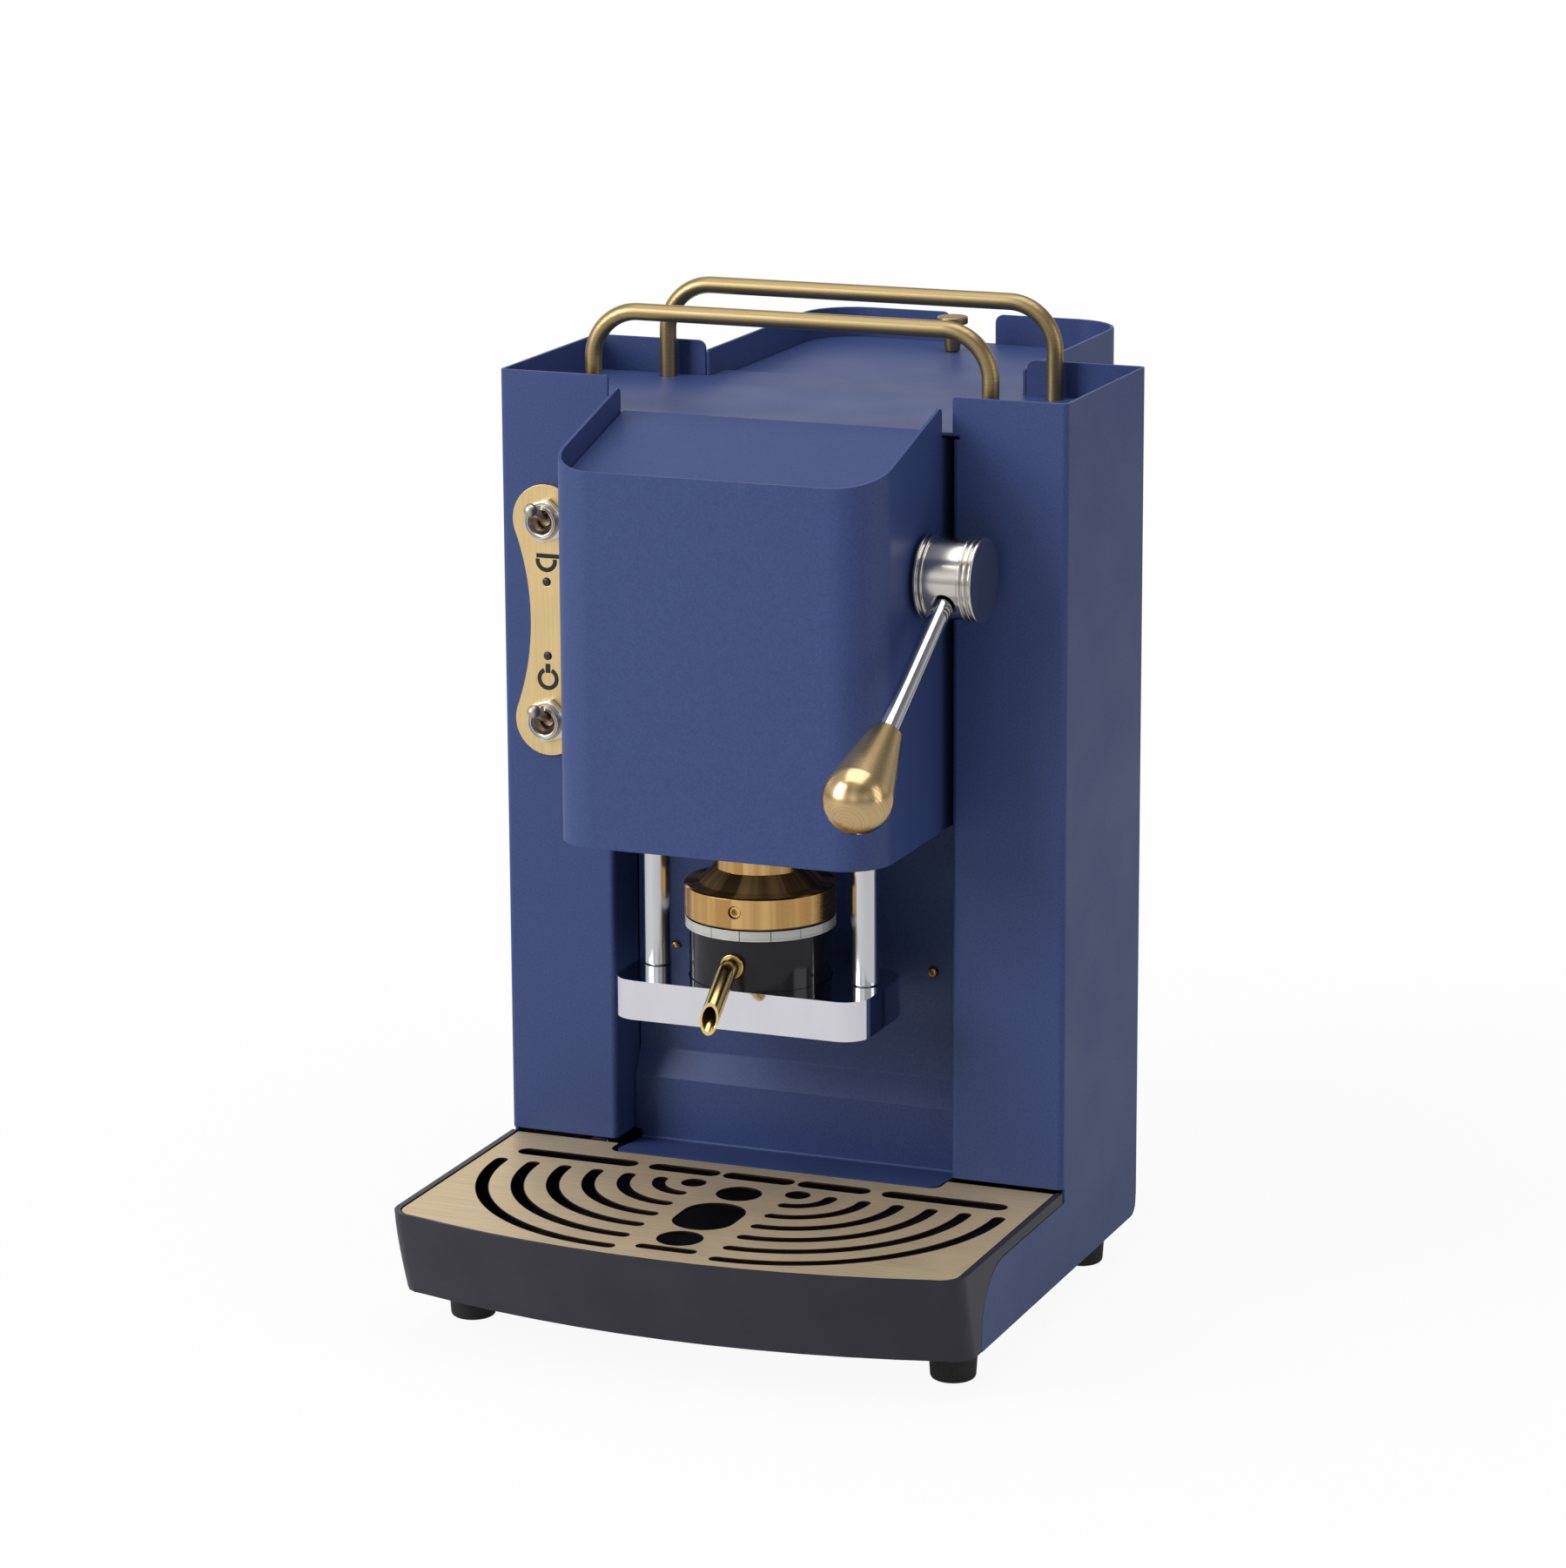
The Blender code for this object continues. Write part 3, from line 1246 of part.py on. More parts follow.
def bolts(z):
    """The two bolts that hold a frame piece to the recess panel at a height, run into that piece."""
    start = RETURN_DEPTH - SHEET
    head = RETURN_DEPTH + SEAT + SHEET + SEAT - start
    profile = [
        (0, 0), (FRAME_SCREW_RADIUS, 0), (FRAME_SCREW_RADIUS, head), (FRAME_SCREW_HEAD_RADIUS, head),
        (FRAME_SCREW_HEAD_RADIUS, head + FRAME_SCREW_HEAD), (0, head + FRAME_SCREW_HEAD),
    ]
    return grouped(*[turned(profile, TINY_STEPS, (x, start, z), BACK) for x in (-FRAME_SCREW_X, FRAME_SCREW_X)])


def make_group_plate():
    outline = rectangle(-PLATE_HALF, PLATE_HALF, PLATE_FRONT, PLATE_REAR, PLATE_ROUND)
    holes = [circle(x, GROUP_Y, COLUMN_SPIGOT + SEAT) for x in (-COLUMN_X, COLUMN_X)]
    body = plate(outline, holes, PLATE_BASE, PLATE_TOP)
    top = PLATE_TOP - SHEET
    tongue = block(-TONGUE_HALF, TONGUE_HALF, PLATE_REAR - PLATE_ROUND, RETURN_DEPTH, PLATE_BASE + SHEET, top)
    body = joined(body, tongue)
    seat = PLATE_TOP - CUP_SEAT_DEPTH
    pocket = rod((0, GROUP_Y, seat), UP, CUP_SEAT_DEPTH + OVERRUN, CUP_RADIUS + SEAT, FINE_STEPS)
    body = joined(cut(body, pocket), bolts(frame_screw_heights()[0]))
    add("group_plate", body, CHROME)


def make_columns():
    low = PLATE_BASE + SEAT
    base = PLATE_TOP + SEAT
    collar = COLLAR_TOP - COLLAR_HEIGHT
    profile = [
        (0, low), (COLUMN_SPIGOT, low), (COLUMN_SPIGOT, base), (COLUMN_RADIUS, base),
        (COLUMN_RADIUS, collar), (COLLAR_RADIUS, collar), (COLLAR_RADIUS, COLLAR_TOP),
        (COLUMN_RADIUS, COLLAR_TOP), (COLUMN_RADIUS, COLUMN_TOP), (0, COLUMN_TOP),
    ]
    for name, x in (("left_column", -COLUMN_X), ("right_column", COLUMN_X)):
        add(name, turned(profile, MIDDLE_STEPS, (x, GROUP_Y, 0)), CHROME)


def make_pod_cup():
    base = PLATE_TOP - CUP_SEAT_DEPTH + SEAT
    profile = [
        (0, base), (CUP_RADIUS, base), (CUP_RADIUS, CUP_TOP), (CUP_BORE, CUP_TOP),
        (CUP_BORE, CUP_FLOOR), (0, CUP_FLOOR),
    ]
    cup = turned(profile, FINE_STEPS, (0, GROUP_Y, 0))
    drain = rod((0, GROUP_Y, SPOUT_Z), UP, CUP_FLOOR - SPOUT_Z + OVERRUN, DRAIN_RADIUS, TINY_STEPS)
    front = GROUP_Y - CUP_RADIUS - OVERRUN
    shelf = rod((0, front, SPOUT_Z), BACK, CUP_RADIUS + OVERRUN, DRAIN_RADIUS, TINY_STEPS)
    socket_length = SPOUT_SPIGOT_LENGTH + SEAT + OVERRUN
    socket = rod((0, front, SPOUT_Z), BACK, socket_length, SPOUT_SPIGOT + SEAT)
    add("pod_cup", cut(cup, drain, shelf, socket), GLOSS_BLACK)
    low = CUP_TOP + SEAT
    high = low + GASKET_HEIGHT
    skirt = CUP_RADIUS + SEAT
    gasket = [
        (GASKET_BORE, low), (skirt, low), (skirt, low - GASKET_SKIRT), (GASKET_RADIUS, low - GASKET_SKIRT),
        (GASKET_RADIUS, high), (GASKET_BORE, high),
    ]
    add("pod_gasket", turned(gasket, FINE_STEPS, (0, GROUP_Y, 0)), CLEAR)


def make_spout():
    wall = GROUP_Y - CUP_RADIUS
    face = wall - SEAT
    collar = face - SPOUT_COLLAR_LENGTH
    start = Vector((0, wall + SPOUT_SPIGOT_LENGTH, SPOUT_Z))
    knee = Vector((0, collar - SPOUT_BEND * math.tan(SPOUT_PITCH / 2), SPOUT_Z))
    fall = Vector((0, -math.cos(SPOUT_PITCH), -math.sin(SPOUT_PITCH)))
    end = knee + fall * (SPOUT_DROP / math.sin(SPOUT_PITCH))
    curve = routed([start, knee, end], SPOUT_BEND)
    shoulders = [
        (Vector((0, face, SPOUT_Z)), FORWARD, SPOUT_SPIGOT), (Vector((0, face, SPOUT_Z)), FORWARD, SPOUT_COLLAR),
        (Vector((0, collar, SPOUT_Z)), FORWARD, SPOUT_COLLAR),
    ]
    stations = [curve[0]] + [(point, way) for point, way, radius in shoulders] + curve[1:]
    radii = [SPOUT_SPIGOT] + [radius for point, way, radius in shoulders] + [SPOUT_RADIUS] * len(curve[1:])
    opening = Vector((0, -math.cos(SPOUT_CUT_TILT), math.sin(SPOUT_CUT_TILT)))
    add("spout", piped(stations, radii, SPOUT_SIDES, SPOUT_BORE, opening), BRASS)


def make_head():
    ring_top = HEAD_BASE + HEAD_RING
    neck_top = CROSSHEAD_BASE - SEAT
    spigot_top = CROSSHEAD_BASE + CROSSHEAD_HUB - SHEET
    profile = [
        (0, HEAD_BASE + SCREEN_HEIGHT + 2 * SEAT), (HEAD_BOSS, HEAD_BASE + SCREEN_HEIGHT + 2 * SEAT),
        (HEAD_BOSS, HEAD_BASE + HEAD_RECESS), (HEAD_RECESS_RADIUS, HEAD_BASE + HEAD_RECESS),
        (HEAD_RECESS_RADIUS, HEAD_BASE), (HEAD_RADIUS, HEAD_BASE),
        (HEAD_RADIUS, ring_top - HEAD_CHAMFER), (HEAD_RADIUS - HEAD_CHAMFER, ring_top),
        (HEAD_STEP_RADIUS, ring_top + SEAT), (HEAD_NECK, HEAD_NECK_BASE), (HEAD_NECK, neck_top),
        (HEAD_SPIGOT, neck_top), (HEAD_SPIGOT, spigot_top), (0, spigot_top),
    ]
    head = turned(profile, FINE_STEPS, (0, GROUP_Y, 0))
    port = rod((0, GROUP_Y, PORT_Z), BACK, PORT_Y - GROUP_Y + PORT_RADIUS, PORT_RADIUS, TINY_STEPS)
    head = joined(head, port)
    nipple = rod((0, PORT_Y, PORT_Z), -UP, PORT_RADIUS + SEAT, TUBE_RADIUS, TINY_STEPS)
    head = joined(head, nipple)
    out = Vector((math.sin(GRUB_TURN), -math.cos(GRUB_TURN), 0))
    mouth = Vector((0, GROUP_Y, GRUB_Z)) + out * HEAD_RADIUS
    bore = rod(mouth - out * (GRUB_LENGTH + SEAT), out, GRUB_LENGTH + OVERRUN, GRUB_RADIUS + SEAT)
    add("press_head", cut(head, bore), BRASS)
    back = -GRUB_LENGTH
    socket = -GRUB_LENGTH / 2
    grub = [
        (0, back), (GRUB_RADIUS, back), (GRUB_RADIUS, -SEAT), (GRUB_SOCKET, -SEAT),
        (GRUB_SOCKET, socket), (0, socket),
    ]
    add("head_grub_screw", turned(grub, SMALL_STEPS, mouth, out), BRASS)
    holes = []
    for radius, count in zip(SCREEN_RING_RADII, SCREEN_RING_HOLES):
        for u, v in circle(0, GROUP_Y, radius, count):
            holes.append(circle(u, v, SCREEN_HOLE, SCREEN_HOLE_SIDES))
    disc = circle(0, GROUP_Y, HEAD_RECESS_RADIUS - SEAT, FINE_STEPS)
    low = HEAD_BASE + SEAT
    add("shower_screen", plate(disc, holes, low, low + SCREEN_HEIGHT), STEEL)


def make_crosshead():
    low = CROSSHEAD_BASE
    body = rod((0, GROUP_Y, low), UP, CROSSHEAD_HUB, CROSSHEAD_HUB_RADIUS, MIDDLE_STEPS)
    beam_low = low + CROSSHEAD_BEAM_BASE
    front, rear = GROUP_Y - CROSSHEAD_BEAM_HALF, GROUP_Y + CROSSHEAD_BEAM_HALF
    body = joined(body, block(-COLUMN_X, COLUMN_X, front, rear, beam_low, beam_low + CROSSHEAD_BEAM))
    for x in (-COLUMN_X, COLUMN_X):
        body = joined(body, rod((x, GROUP_Y, low), UP, CROSSHEAD_BOSS, CROSSHEAD_BOSS_RADIUS, MIDDLE_STEPS))
    inner = CAM_HALF + 2 * SEAT
    for side in (-1, 1):
        outline = rounded([
            (GROUP_Y - LUG_ROUND, beam_low + SHEET, 0), (GROUP_Y + LUG_ROUND, beam_low + SHEET, 0),
            (GROUP_Y + LUG_ROUND, FOLLOWER_Z + LUG_ROUND, LUG_CORNER),
            (GROUP_Y - LUG_ROUND, FOLLOWER_Z + LUG_ROUND, LUG_CORNER),
        ])
        lug = plate(outline, [circle(GROUP_Y, FOLLOWER_Z, FOLLOWER_RADIUS + SEAT)], inner, inner + LUG_THICKNESS)
        body = joined(body, placed(lug, lambda u, v, w, side=side: (side * w, u, v)))
    bores = [
        rod((x, GROUP_Y, low - OVERRUN), UP, CROSSHEAD_BOSS + 2 * OVERRUN, COLUMN_RADIUS + SEAT, MIDDLE_STEPS)
        for x in (-COLUMN_X, COLUMN_X)
    ]
    spigot = rod((0, GROUP_Y, low - OVERRUN), UP, CROSSHEAD_HUB + 2 * OVERRUN, HEAD_SPIGOT + SEAT, MIDDLE_STEPS)
    add("crosshead", cut(body, spigot, *bores), STEEL)
    half = inner + LUG_THICKNESS
    pin = rod((-half, GROUP_Y, FOLLOWER_Z), RIGHT, 2 * half, FOLLOWER_RADIUS)
    add("follower_pin", pin, STEEL, (0, GROUP_Y, FOLLOWER_Z))


def make_springs():
    low = COLLAR_TOP + SEAT + SPRING_WIRE
    high = CROSSHEAD_BASE - SEAT - SPRING_WIRE
    count = SPRING_TURNS * SPRING_TURN_STEPS
    for name, x in (("left_return_spring", -COLUMN_X), ("right_return_spring", COLUMN_X)):
        points = []
        for step in range(count + 1):
            angle = TURN * step / SPRING_TURN_STEPS
            climb = (high - low) * step / count
            points.append(Vector((
                x + SPRING_RADIUS * math.cos(angle), GROUP_Y + SPRING_RADIUS * math.sin(angle), low + climb,
            )))
        ways = [(after - before).normalized() for before, after in zip(points, points[1:])]
        stations = list(zip(points, ways + ways[-1:]))
        add(name, piped(stations, [SPRING_WIRE] * len(points), SPRING_SIDES), STEEL)


def make_bridge():
    inner, outer = COLUMN_X - BRIDGE_LEG / 2, COLUMN_X + BRIDGE_LEG / 2
    outline = [
        (-outer, BRIDGE_BASE), (-inner, BRIDGE_BASE), (-inner, BRIDGE_SOFFIT), (inner, BRIDGE_SOFFIT),
        (inner, BRIDGE_BASE), (outer, BRIDGE_BASE), (outer, BRIDGE_TOP), (-outer, BRIDGE_TOP),
    ]
    front = GROUP_Y - BRIDGE_DEPTH / 2
    body = placed(plate(outline, [], front, front + BRIDGE_DEPTH), lambda u, v, w: (u, w, v))
    arm_top = BRIDGE_TOP - SHEET
    arm = block(-BRIDGE_ARM_HALF, BRIDGE_ARM_HALF, GROUP_Y, RETURN_DEPTH, BRIDGE_SOFFIT - SHEET, arm_top)
    body = joined(body, arm)
    bores = []
    for x in (-COLUMN_X, COLUMN_X):
        depth = COLUMN_TOP + SEAT - BRIDGE_BASE + OVERRUN
        bores.append(rod((x, GROUP_Y, BRIDGE_BASE - OVERRUN), UP, depth, COLUMN_RADIUS + SEAT, MIDDLE_STEPS))
    for side in (-1, 1):
        start = (side * outer, GROUP_Y, SHAFT_Z)
        body = joined(body, rod(start, -side * RIGHT, BRIDGE_LEG + BUSH_FLANGE, BUSH_RADIUS, MIDDLE_STEPS))
    left_end = (-outer - OVERRUN, GROUP_Y, SHAFT_Z)
    bores.append(rod(left_end, RIGHT, 2 * (outer + OVERRUN), SHAFT_RADIUS + SEAT, MIDDLE_STEPS))
    body = joined(cut(body, *bores), bolts(frame_screw_heights()[1]))
    add("shaft_bridge", body, STEEL)


def screw_profile(socketed):
    """Profile of a housing screw from its tip, with the face that it clamps at zero.

    Its head is low and plain, or crowned with a socket.
    """
    head = SEAT
    profile = [
        (0, head - SCREW_LENGTH), (SCREW_RADIUS, head - SCREW_LENGTH), (SCREW_RADIUS, head),
        (SCREW_HEAD_RADIUS, head), (SCREW_HEAD_RADIUS, head + SCREW_HEAD / 2),
    ]
    if socketed:
        profile += [
            (SCREW_CROWN, head + SCREW_HEAD), (SCREW_SOCKET, head + SCREW_HEAD),
            (SCREW_SOCKET, head + SCREW_HEAD / 2),
        ]
    return profile + [(0, head + SCREW_HEAD / 2)]


def make_recess_screws():
    for name, x in (("left_recess_screw", -PANEL_SCREW_X), ("right_recess_screw", PANEL_SCREW_X)):
        front = (x, RETURN_DEPTH + SEAT, PANEL_SCREW_Z)
        add(name, turned(screw_profile(socketed=True), TINY_STEPS, front, FORWARD), BRASS)


def cam_outline():
    """Snail cam in the (y, z) plane about its shaft, as it stands with the lever down.

    The follower's centre keeps to a spiral that falls evenly with the lever's turn. The cam's edge is that
    spiral set in by the follower's radius and its seat.
    """
    margin = FOLLOWER_RADIUS + SEAT
    end = LEVER_TRAVEL + CAM_DWELL
    points = []
    for step in range(CAM_WORKING_STEPS + 1):
        swing = -CAM_DWELL + (end + CAM_DWELL) * step / CAM_WORKING_STEPS
        reach = CAM_HIGH + margin - CAM_FALL * swing
        spiral = cmath.exp(1j * (QUARTER * 3 + swing))
        edge = (reach + 1j * CAM_FALL) / abs(reach + 1j * CAM_FALL)
        points.append(spiral * (reach - edge * margin))
    smallest, largest = abs(points[-1]), abs(points[0])
    for step in range(1, CAM_IDLE_STEPS):
        share = step / CAM_IDLE_STEPS
        swing = end + (TURN - CAM_DWELL - end) * share
        rise = max(0.0, (share - CAM_IDLE_SHARE) / (1 - CAM_IDLE_SHARE))
        points.append(cmath.exp(1j * (QUARTER * 3 + swing)) * (smallest + (largest - smallest) * rise ** 2))
    return [(GROUP_Y + point.real, SHAFT_Z + point.imag) for point in points]


def make_lever():
    bore = circle(GROUP_Y, SHAFT_Z, SHAFT_RADIUS + SEAT, MIDDLE_STEPS)
    cam = placed(plate(cam_outline(), [bore], -CAM_HALF, CAM_HALF), lambda u, v, w: (w, u, v))
    add("press_cam", cam, STEEL, LEVER_AXIS)
    shaft_right = HUB_INNER + HUB_SHAFT_DEPTH
    shaft = rod((SHAFT_LEFT, GROUP_Y, SHAFT_Z), RIGHT, shaft_right - SHAFT_LEFT, SHAFT_RADIUS, MIDDLE_STEPS)
    add("lever_shaft", shaft, STEEL, LEVER_AXIS)
    add("lever_hub", lever_hub(), STEEL, LEVER_AXIS)
    root = Vector((ROD_X, GROUP_Y, SHAFT_Z))
    rod_end = KNOB_START + ROD_IN_KNOB
    bar = rod(root + LEVER_WAY * ROD_START, LEVER_WAY, rod_end - ROD_START, ROD_RADIUS, MIDDLE_STEPS)
    add("lever_rod", bar, CHROME, LEVER_AXIS)
    bore_radius = ROD_RADIUS + SEAT
    bore_end = rod_end + SEAT
    cone = BALL_CENTRE - KNOB_START
    lean = math.asin((BALL_RADIUS - KNOB_END_RADIUS) / math.hypot(cone, KNOB_END_RADIUS - BALL_RADIUS))
    profile = [(0, bore_end), (bore_radius, bore_end), (bore_radius, KNOB_START), (KNOB_END_RADIUS, KNOB_START)]
    first = QUARTER + lean
    for step in range(BALL_STEPS):
        angle = first * (1 - step / BALL_STEPS)
        profile.append((BALL_RADIUS * math.sin(angle), BALL_CENTRE + BALL_RADIUS * math.cos(angle)))
    profile.append((0, BALL_CENTRE + BALL_RADIUS))
    add("lever_knob", turned(profile, KNOB_STEPS, root, LEVER_WAY), BRASS, LEVER_AXIS)


def lever_hub():
    """Grooved hub: two ridges by the hood and three at its outer end, bored for the shaft and the rod."""
    pitch = RIDGE_WIDTH + GROOVE_WIDTH
    profile = []

    def ridge(start, end):
        profile.extend([(HUB_RADIUS, start), (HUB_RADIUS, end)])

    for index in range(INNER_RIDGES):
        start = HUB_INNER + index * pitch
        if index:
            profile.extend([(HUB_GROOVE_RADIUS, start - GROOVE_WIDTH), (HUB_GROOVE_RADIUS, start)])
        ridge(start, start + RIDGE_WIDTH)
    profile.append((HUB_BAND_RADIUS, HUB_INNER + INNER_RIDGES * pitch - GROOVE_WIDTH))
    outer_start = HUB_OUTER - OUTER_RIDGES * pitch + GROOVE_WIDTH
    profile.append((HUB_BAND_RADIUS, outer_start))
    for index in range(OUTER_RIDGES):
        start = outer_start + index * pitch
        if index:
            profile.extend([(HUB_GROOVE_RADIUS, start - GROOVE_WIDTH), (HUB_GROOVE_RADIUS, start)])
        ridge(start, start + RIDGE_WIDTH)
    profile[-1] = (HUB_RADIUS, HUB_OUTER - HUB_CHAMFER)
    profile += [(HUB_RADIUS - HUB_CHAMFER, HUB_OUTER), (0, HUB_OUTER)]
    floor = HUB_INNER + HUB_SHAFT_DEPTH + SEAT
    bore = SHAFT_RADIUS + SEAT
    start = [(0, floor), (bore, floor), (bore, HUB_INNER)]
    hub = turned(start + profile, HUB_STEPS, (0, GROUP_Y, SHAFT_Z), RIGHT)
    root = Vector((ROD_X, GROUP_Y, SHAFT_Z))
    length = HUB_RADIUS + OVERRUN
    seat = rod(root + LEVER_WAY * (ROD_START - SEAT), LEVER_WAY, length, ROD_RADIUS + SEAT, MIDDLE_STEPS)
    mouth = rod(root + LEVER_WAY * ROD_COUNTERBORE_START, LEVER_WAY, length, ROD_COUNTERBORE, MIDDLE_STEPS)
    return cut(hub, seat, mouth)


def make_hub_bush():
    wall = HOOD_HALF
    face = wall + SEAT
    bore = SHAFT_RADIUS + SEAT
    tail = wall - SHEET - HOOD_BUSH_TAIL
    profile = [
        (bore, tail), (HOOD_BUSH_RADIUS, tail), (HOOD_BUSH_RADIUS, face), (HOOD_BUSH_FLANGE_RADIUS, face),
        (HOOD_BUSH_FLANGE_RADIUS, face + HOOD_BUSH_FLANGE), (bore, face + HOOD_BUSH_FLANGE),
    ]
    add("hub_bush", turned(profile, MIDDLE_STEPS, (0, GROUP_Y, SHAFT_Z), RIGHT), BLACK_PLASTIC)


# Drip tray and grille
def bow_front(x, front):
    """Place along y of the tray's bowed front at x, when its middle is at a given distance."""
    return BOW_RADIUS - front - math.sqrt(BOW_RADIUS ** 2 - x ** 2)


def bowed_outline(half, front, rear, corner, rear_corners=None):
    """Plan with a bowed front edge between rounded front corners, run from the rear left round the front."""
    edge = half - corner
    points = list(rear_corners or [(-half, rear)])
    side = bow_front(edge, front)
    for step in range(TRAY_CORNER_STEPS):
        angle = math.pi + QUARTER * step / TRAY_CORNER_STEPS
        points.append((-edge + corner * math.cos(angle), side + corner + corner * math.sin(angle)))
    for step in range(BOW_STEPS + 1):
        x = edge * (2 * step / BOW_STEPS - 1)
        points.append((x, bow_front(x, front)))
    for step in range(1, TRAY_CORNER_STEPS + 1):
        angle = -QUARTER + QUARTER * step / TRAY_CORNER_STEPS
        points.append((edge + corner * math.cos(angle), side + corner + corner * math.sin(angle)))
    points += [(-x, y) for x, y in reversed(rear_corners or [(-half, rear)])]
    return points


def skirt_space(side):
    """Cutter for the side wall's skirt, seen from the side, with its clearance."""
    front = -SKIRT_LENGTH - SKIRT_GAP
    top = SKIRT_TOP + SKIRT_GAP
    outline = rounded([
        (front, FOOT_HEIGHT - OVERRUN, 0), (front, top, SKIRT_NOSE + SKIRT_GAP),
        (TRAY_REAR + OVERRUN, top, 0), (TRAY_REAR + OVERRUN, FOOT_HEIGHT - OVERRUN, 0),
    ])
    inner = INSIDE_HALF - SLIDE
    cutter = plate(outline, [], inner, HALF_WIDTH + OVERRUN)
    return placed(cutter, lambda u, v, w: (side * w, u, v))


def make_tray():
    layers = []
    for level in range(LEAN_LEVELS + 1):
        share = level / LEAN_LEVELS
        lean = TRAY_LEAN * (1 - share) ** LEAN_POWER
        z = TRAY_BASE + (TRAY_TOP - TRAY_BASE) * share
        outline = bowed_outline(HALF_WIDTH, TRAY_FRONT - lean, TRAY_REAR, TRAY_CORNER)
        layers.append([(x, y, z) for x, y in outline])
    tray = lofted(layers)
    tray = cut(tray, skirt_space(-1), skirt_space(1))
    ledge = GRILLE_TOP - GRILLE_THICKNESS - SEAT
    above = TRAY_TOP + OVERRUN
    beyond = TRAY_REAR + OVERRUN
    wide = HALF_WIDTH + OVERRUN
    behind = block(-wide, wide, 0, beyond, TRAY_REAR_TOP, above)
    half = HALF_WIDTH - RIM_WIDTH
    seat = plate(bowed_outline(half, TRAY_FRONT - FRONT_RIM, beyond, GRILLE_CORNER + SEAT), [], ledge, above)
    inner_half = INSIDE_HALF - SLIDE - TRAY_WALL
    floor = TRAY_FLOOR_BASE + TRAY_FLOOR
    hollow_layers = []
    for level in range(LEAN_LEVELS + 1):
        z = floor + (above - floor) * level / LEAN_LEVELS
        share = min(1.0, (z - TRAY_BASE) / (TRAY_TOP - TRAY_BASE))
        lean = TRAY_LEAN * (1 - share) ** LEAN_POWER
        pocket = bowed_outline(inner_half, TRAY_FRONT - FASCIA_WALL - lean, TRAY_REAR - TRAY_WALL, TRAY_CORNER)
        hollow_layers.append([(x, y, z) for x, y in pocket])
    under_half = INSIDE_HALF - SLIDE - TRAY_WALL
    under = bowed_outline(under_half, TRAY_FRONT - TRAY_LEAN - FASCIA_WALL, beyond, TRAY_CORNER)
    underside = plate(under, [], TRAY_BASE - OVERRUN, TRAY_FLOOR_BASE)
    over_pan = block(-wide, wide, -PAN_FRONT - SLIDE, beyond, TRAY_BASE - OVERRUN, TRAY_FLOOR_BASE)
    tray = cut(tray, behind, seat, lofted(hollow_layers), underside, over_pan)
    low = FOOT_HEIGHT + SHEET + SEAT
    for side in (-1, 1):
        middle = side * RUNNER_X
        left, right = middle - RUNNER_WIDTH / 2, middle + RUNNER_WIDTH / 2
        tray = joined(tray, block(left, right, -PAN_FRONT, TRAY_REAR - TRAY_WALL, low, floor - SEAT))
    add("drip_tray", tray, BLACK_PLASTIC)


def arc_slot(side, radius):
    """Quarter-ring slot of the grille, round the small hole on its own side of the middle.

    Its ends stop where the row of slots and the middle of the grille begin.
    """
    row_edge = SLOT_ROW_Y - SLOT_ROW_WIDTH / 2 - ARC_MARGIN
    half = ARC_WIDTH / 2
    start = math.asin(min(0.0, row_edge - half - ARC_CENTRE_Y) / radius)
    start = max(start, -ARC_LEAD)
    end = -QUARTER
    steps = max(ARC_LEAST_STEPS, round(radius / ARC_WIDTH * ARC_FACET_SHARE))
    spine = [start + (end - start) * step / steps for step in range(steps + 1)]
    points = [((radius + half) * cmath.exp(1j * angle)) for angle in spine]
    tip = radius * cmath.exp(1j * end)
    points += [tip + half * cmath.exp(1j * (end - QUARTER * turn / 2)) for turn in (1, 2, 3)]
    points += [((radius - half) * cmath.exp(1j * angle)) for angle in reversed(spine)]
    tip = radius * cmath.exp(1j * start)
    points += [tip + half * cmath.exp(1j * (start + math.pi - QUARTER * turn / 2)) for turn in (1, 2, 3)]
    return [(side * (ARC_CENTRE_X + point.real), ARC_CENTRE_Y + point.imag) for point in points]


def grille_openings():
    """Every opening of the grille."""
    openings = [slot(left, right, SLOT_ROW_Y, SLOT_ROW_WIDTH) for left, right in SLOT_SPANS]
    for side in (-1, 1):
        openings.append(circle(side * ARC_CENTRE_X, ARC_CENTRE_Y, ARC_HOLE_RADIUS))
        for index in range(ARC_COUNT):
            openings.append(arc_slot(side, ARC_PITCH * (index + 1)))
    openings.append(circle(0, CENTRE_HOLE_Y, CENTRE_HOLE_RADIUS, HOLE_STEPS))
    openings.append(circle(0, FRONT_HOLE_Y, CENTRE_HOLE_RADIUS, HOLE_STEPS))
    low, high = STADIUM_FRONT_Y - STADIUM_RADIUS, STADIUM_REAR_Y + STADIUM_RADIUS
    end = 2 * STADIUM_RADIUS * ROUND_END_SHARE
    openings.append(rectangle(-STADIUM_RADIUS, STADIUM_RADIUS, low, high, end))
    openings.append(slot(-FRONT_SLOT_LENGTH / 2, FRONT_SLOT_LENGTH / 2, FRONT_SLOT_Y, ARC_WIDTH))
    return openings


def make_grille():
    half = HALF_WIDTH - RIM_WIDTH - SEAT
    notch_half = APRON_WIDTH / 2 + APRON_NOTCH_GAP
    notch_y = -APRON_REACH - APRON_NOTCH_GAP
    rear = rounded([
        (-notch_half, GRILLE_REAR, 0), (-notch_half, notch_y, APRON_ROUND), (0, notch_y, 0), (0, GRILLE_REAR, 0),
    ])
    notch = [point for point in rear if point[0] < 0]
    rear_corners = list(reversed(notch)) + [(-half, GRILLE_REAR)]
    front = TRAY_FRONT - FRONT_RIM - SEAT
    outline = bowed_outline(half, front, GRILLE_REAR, GRILLE_CORNER, rear_corners)
    sheet = plate(outline, grille_openings(), GRILLE_TOP - GRILLE_THICKNESS, GRILLE_TOP)
    add("drip_grille", sheet, BRASS)


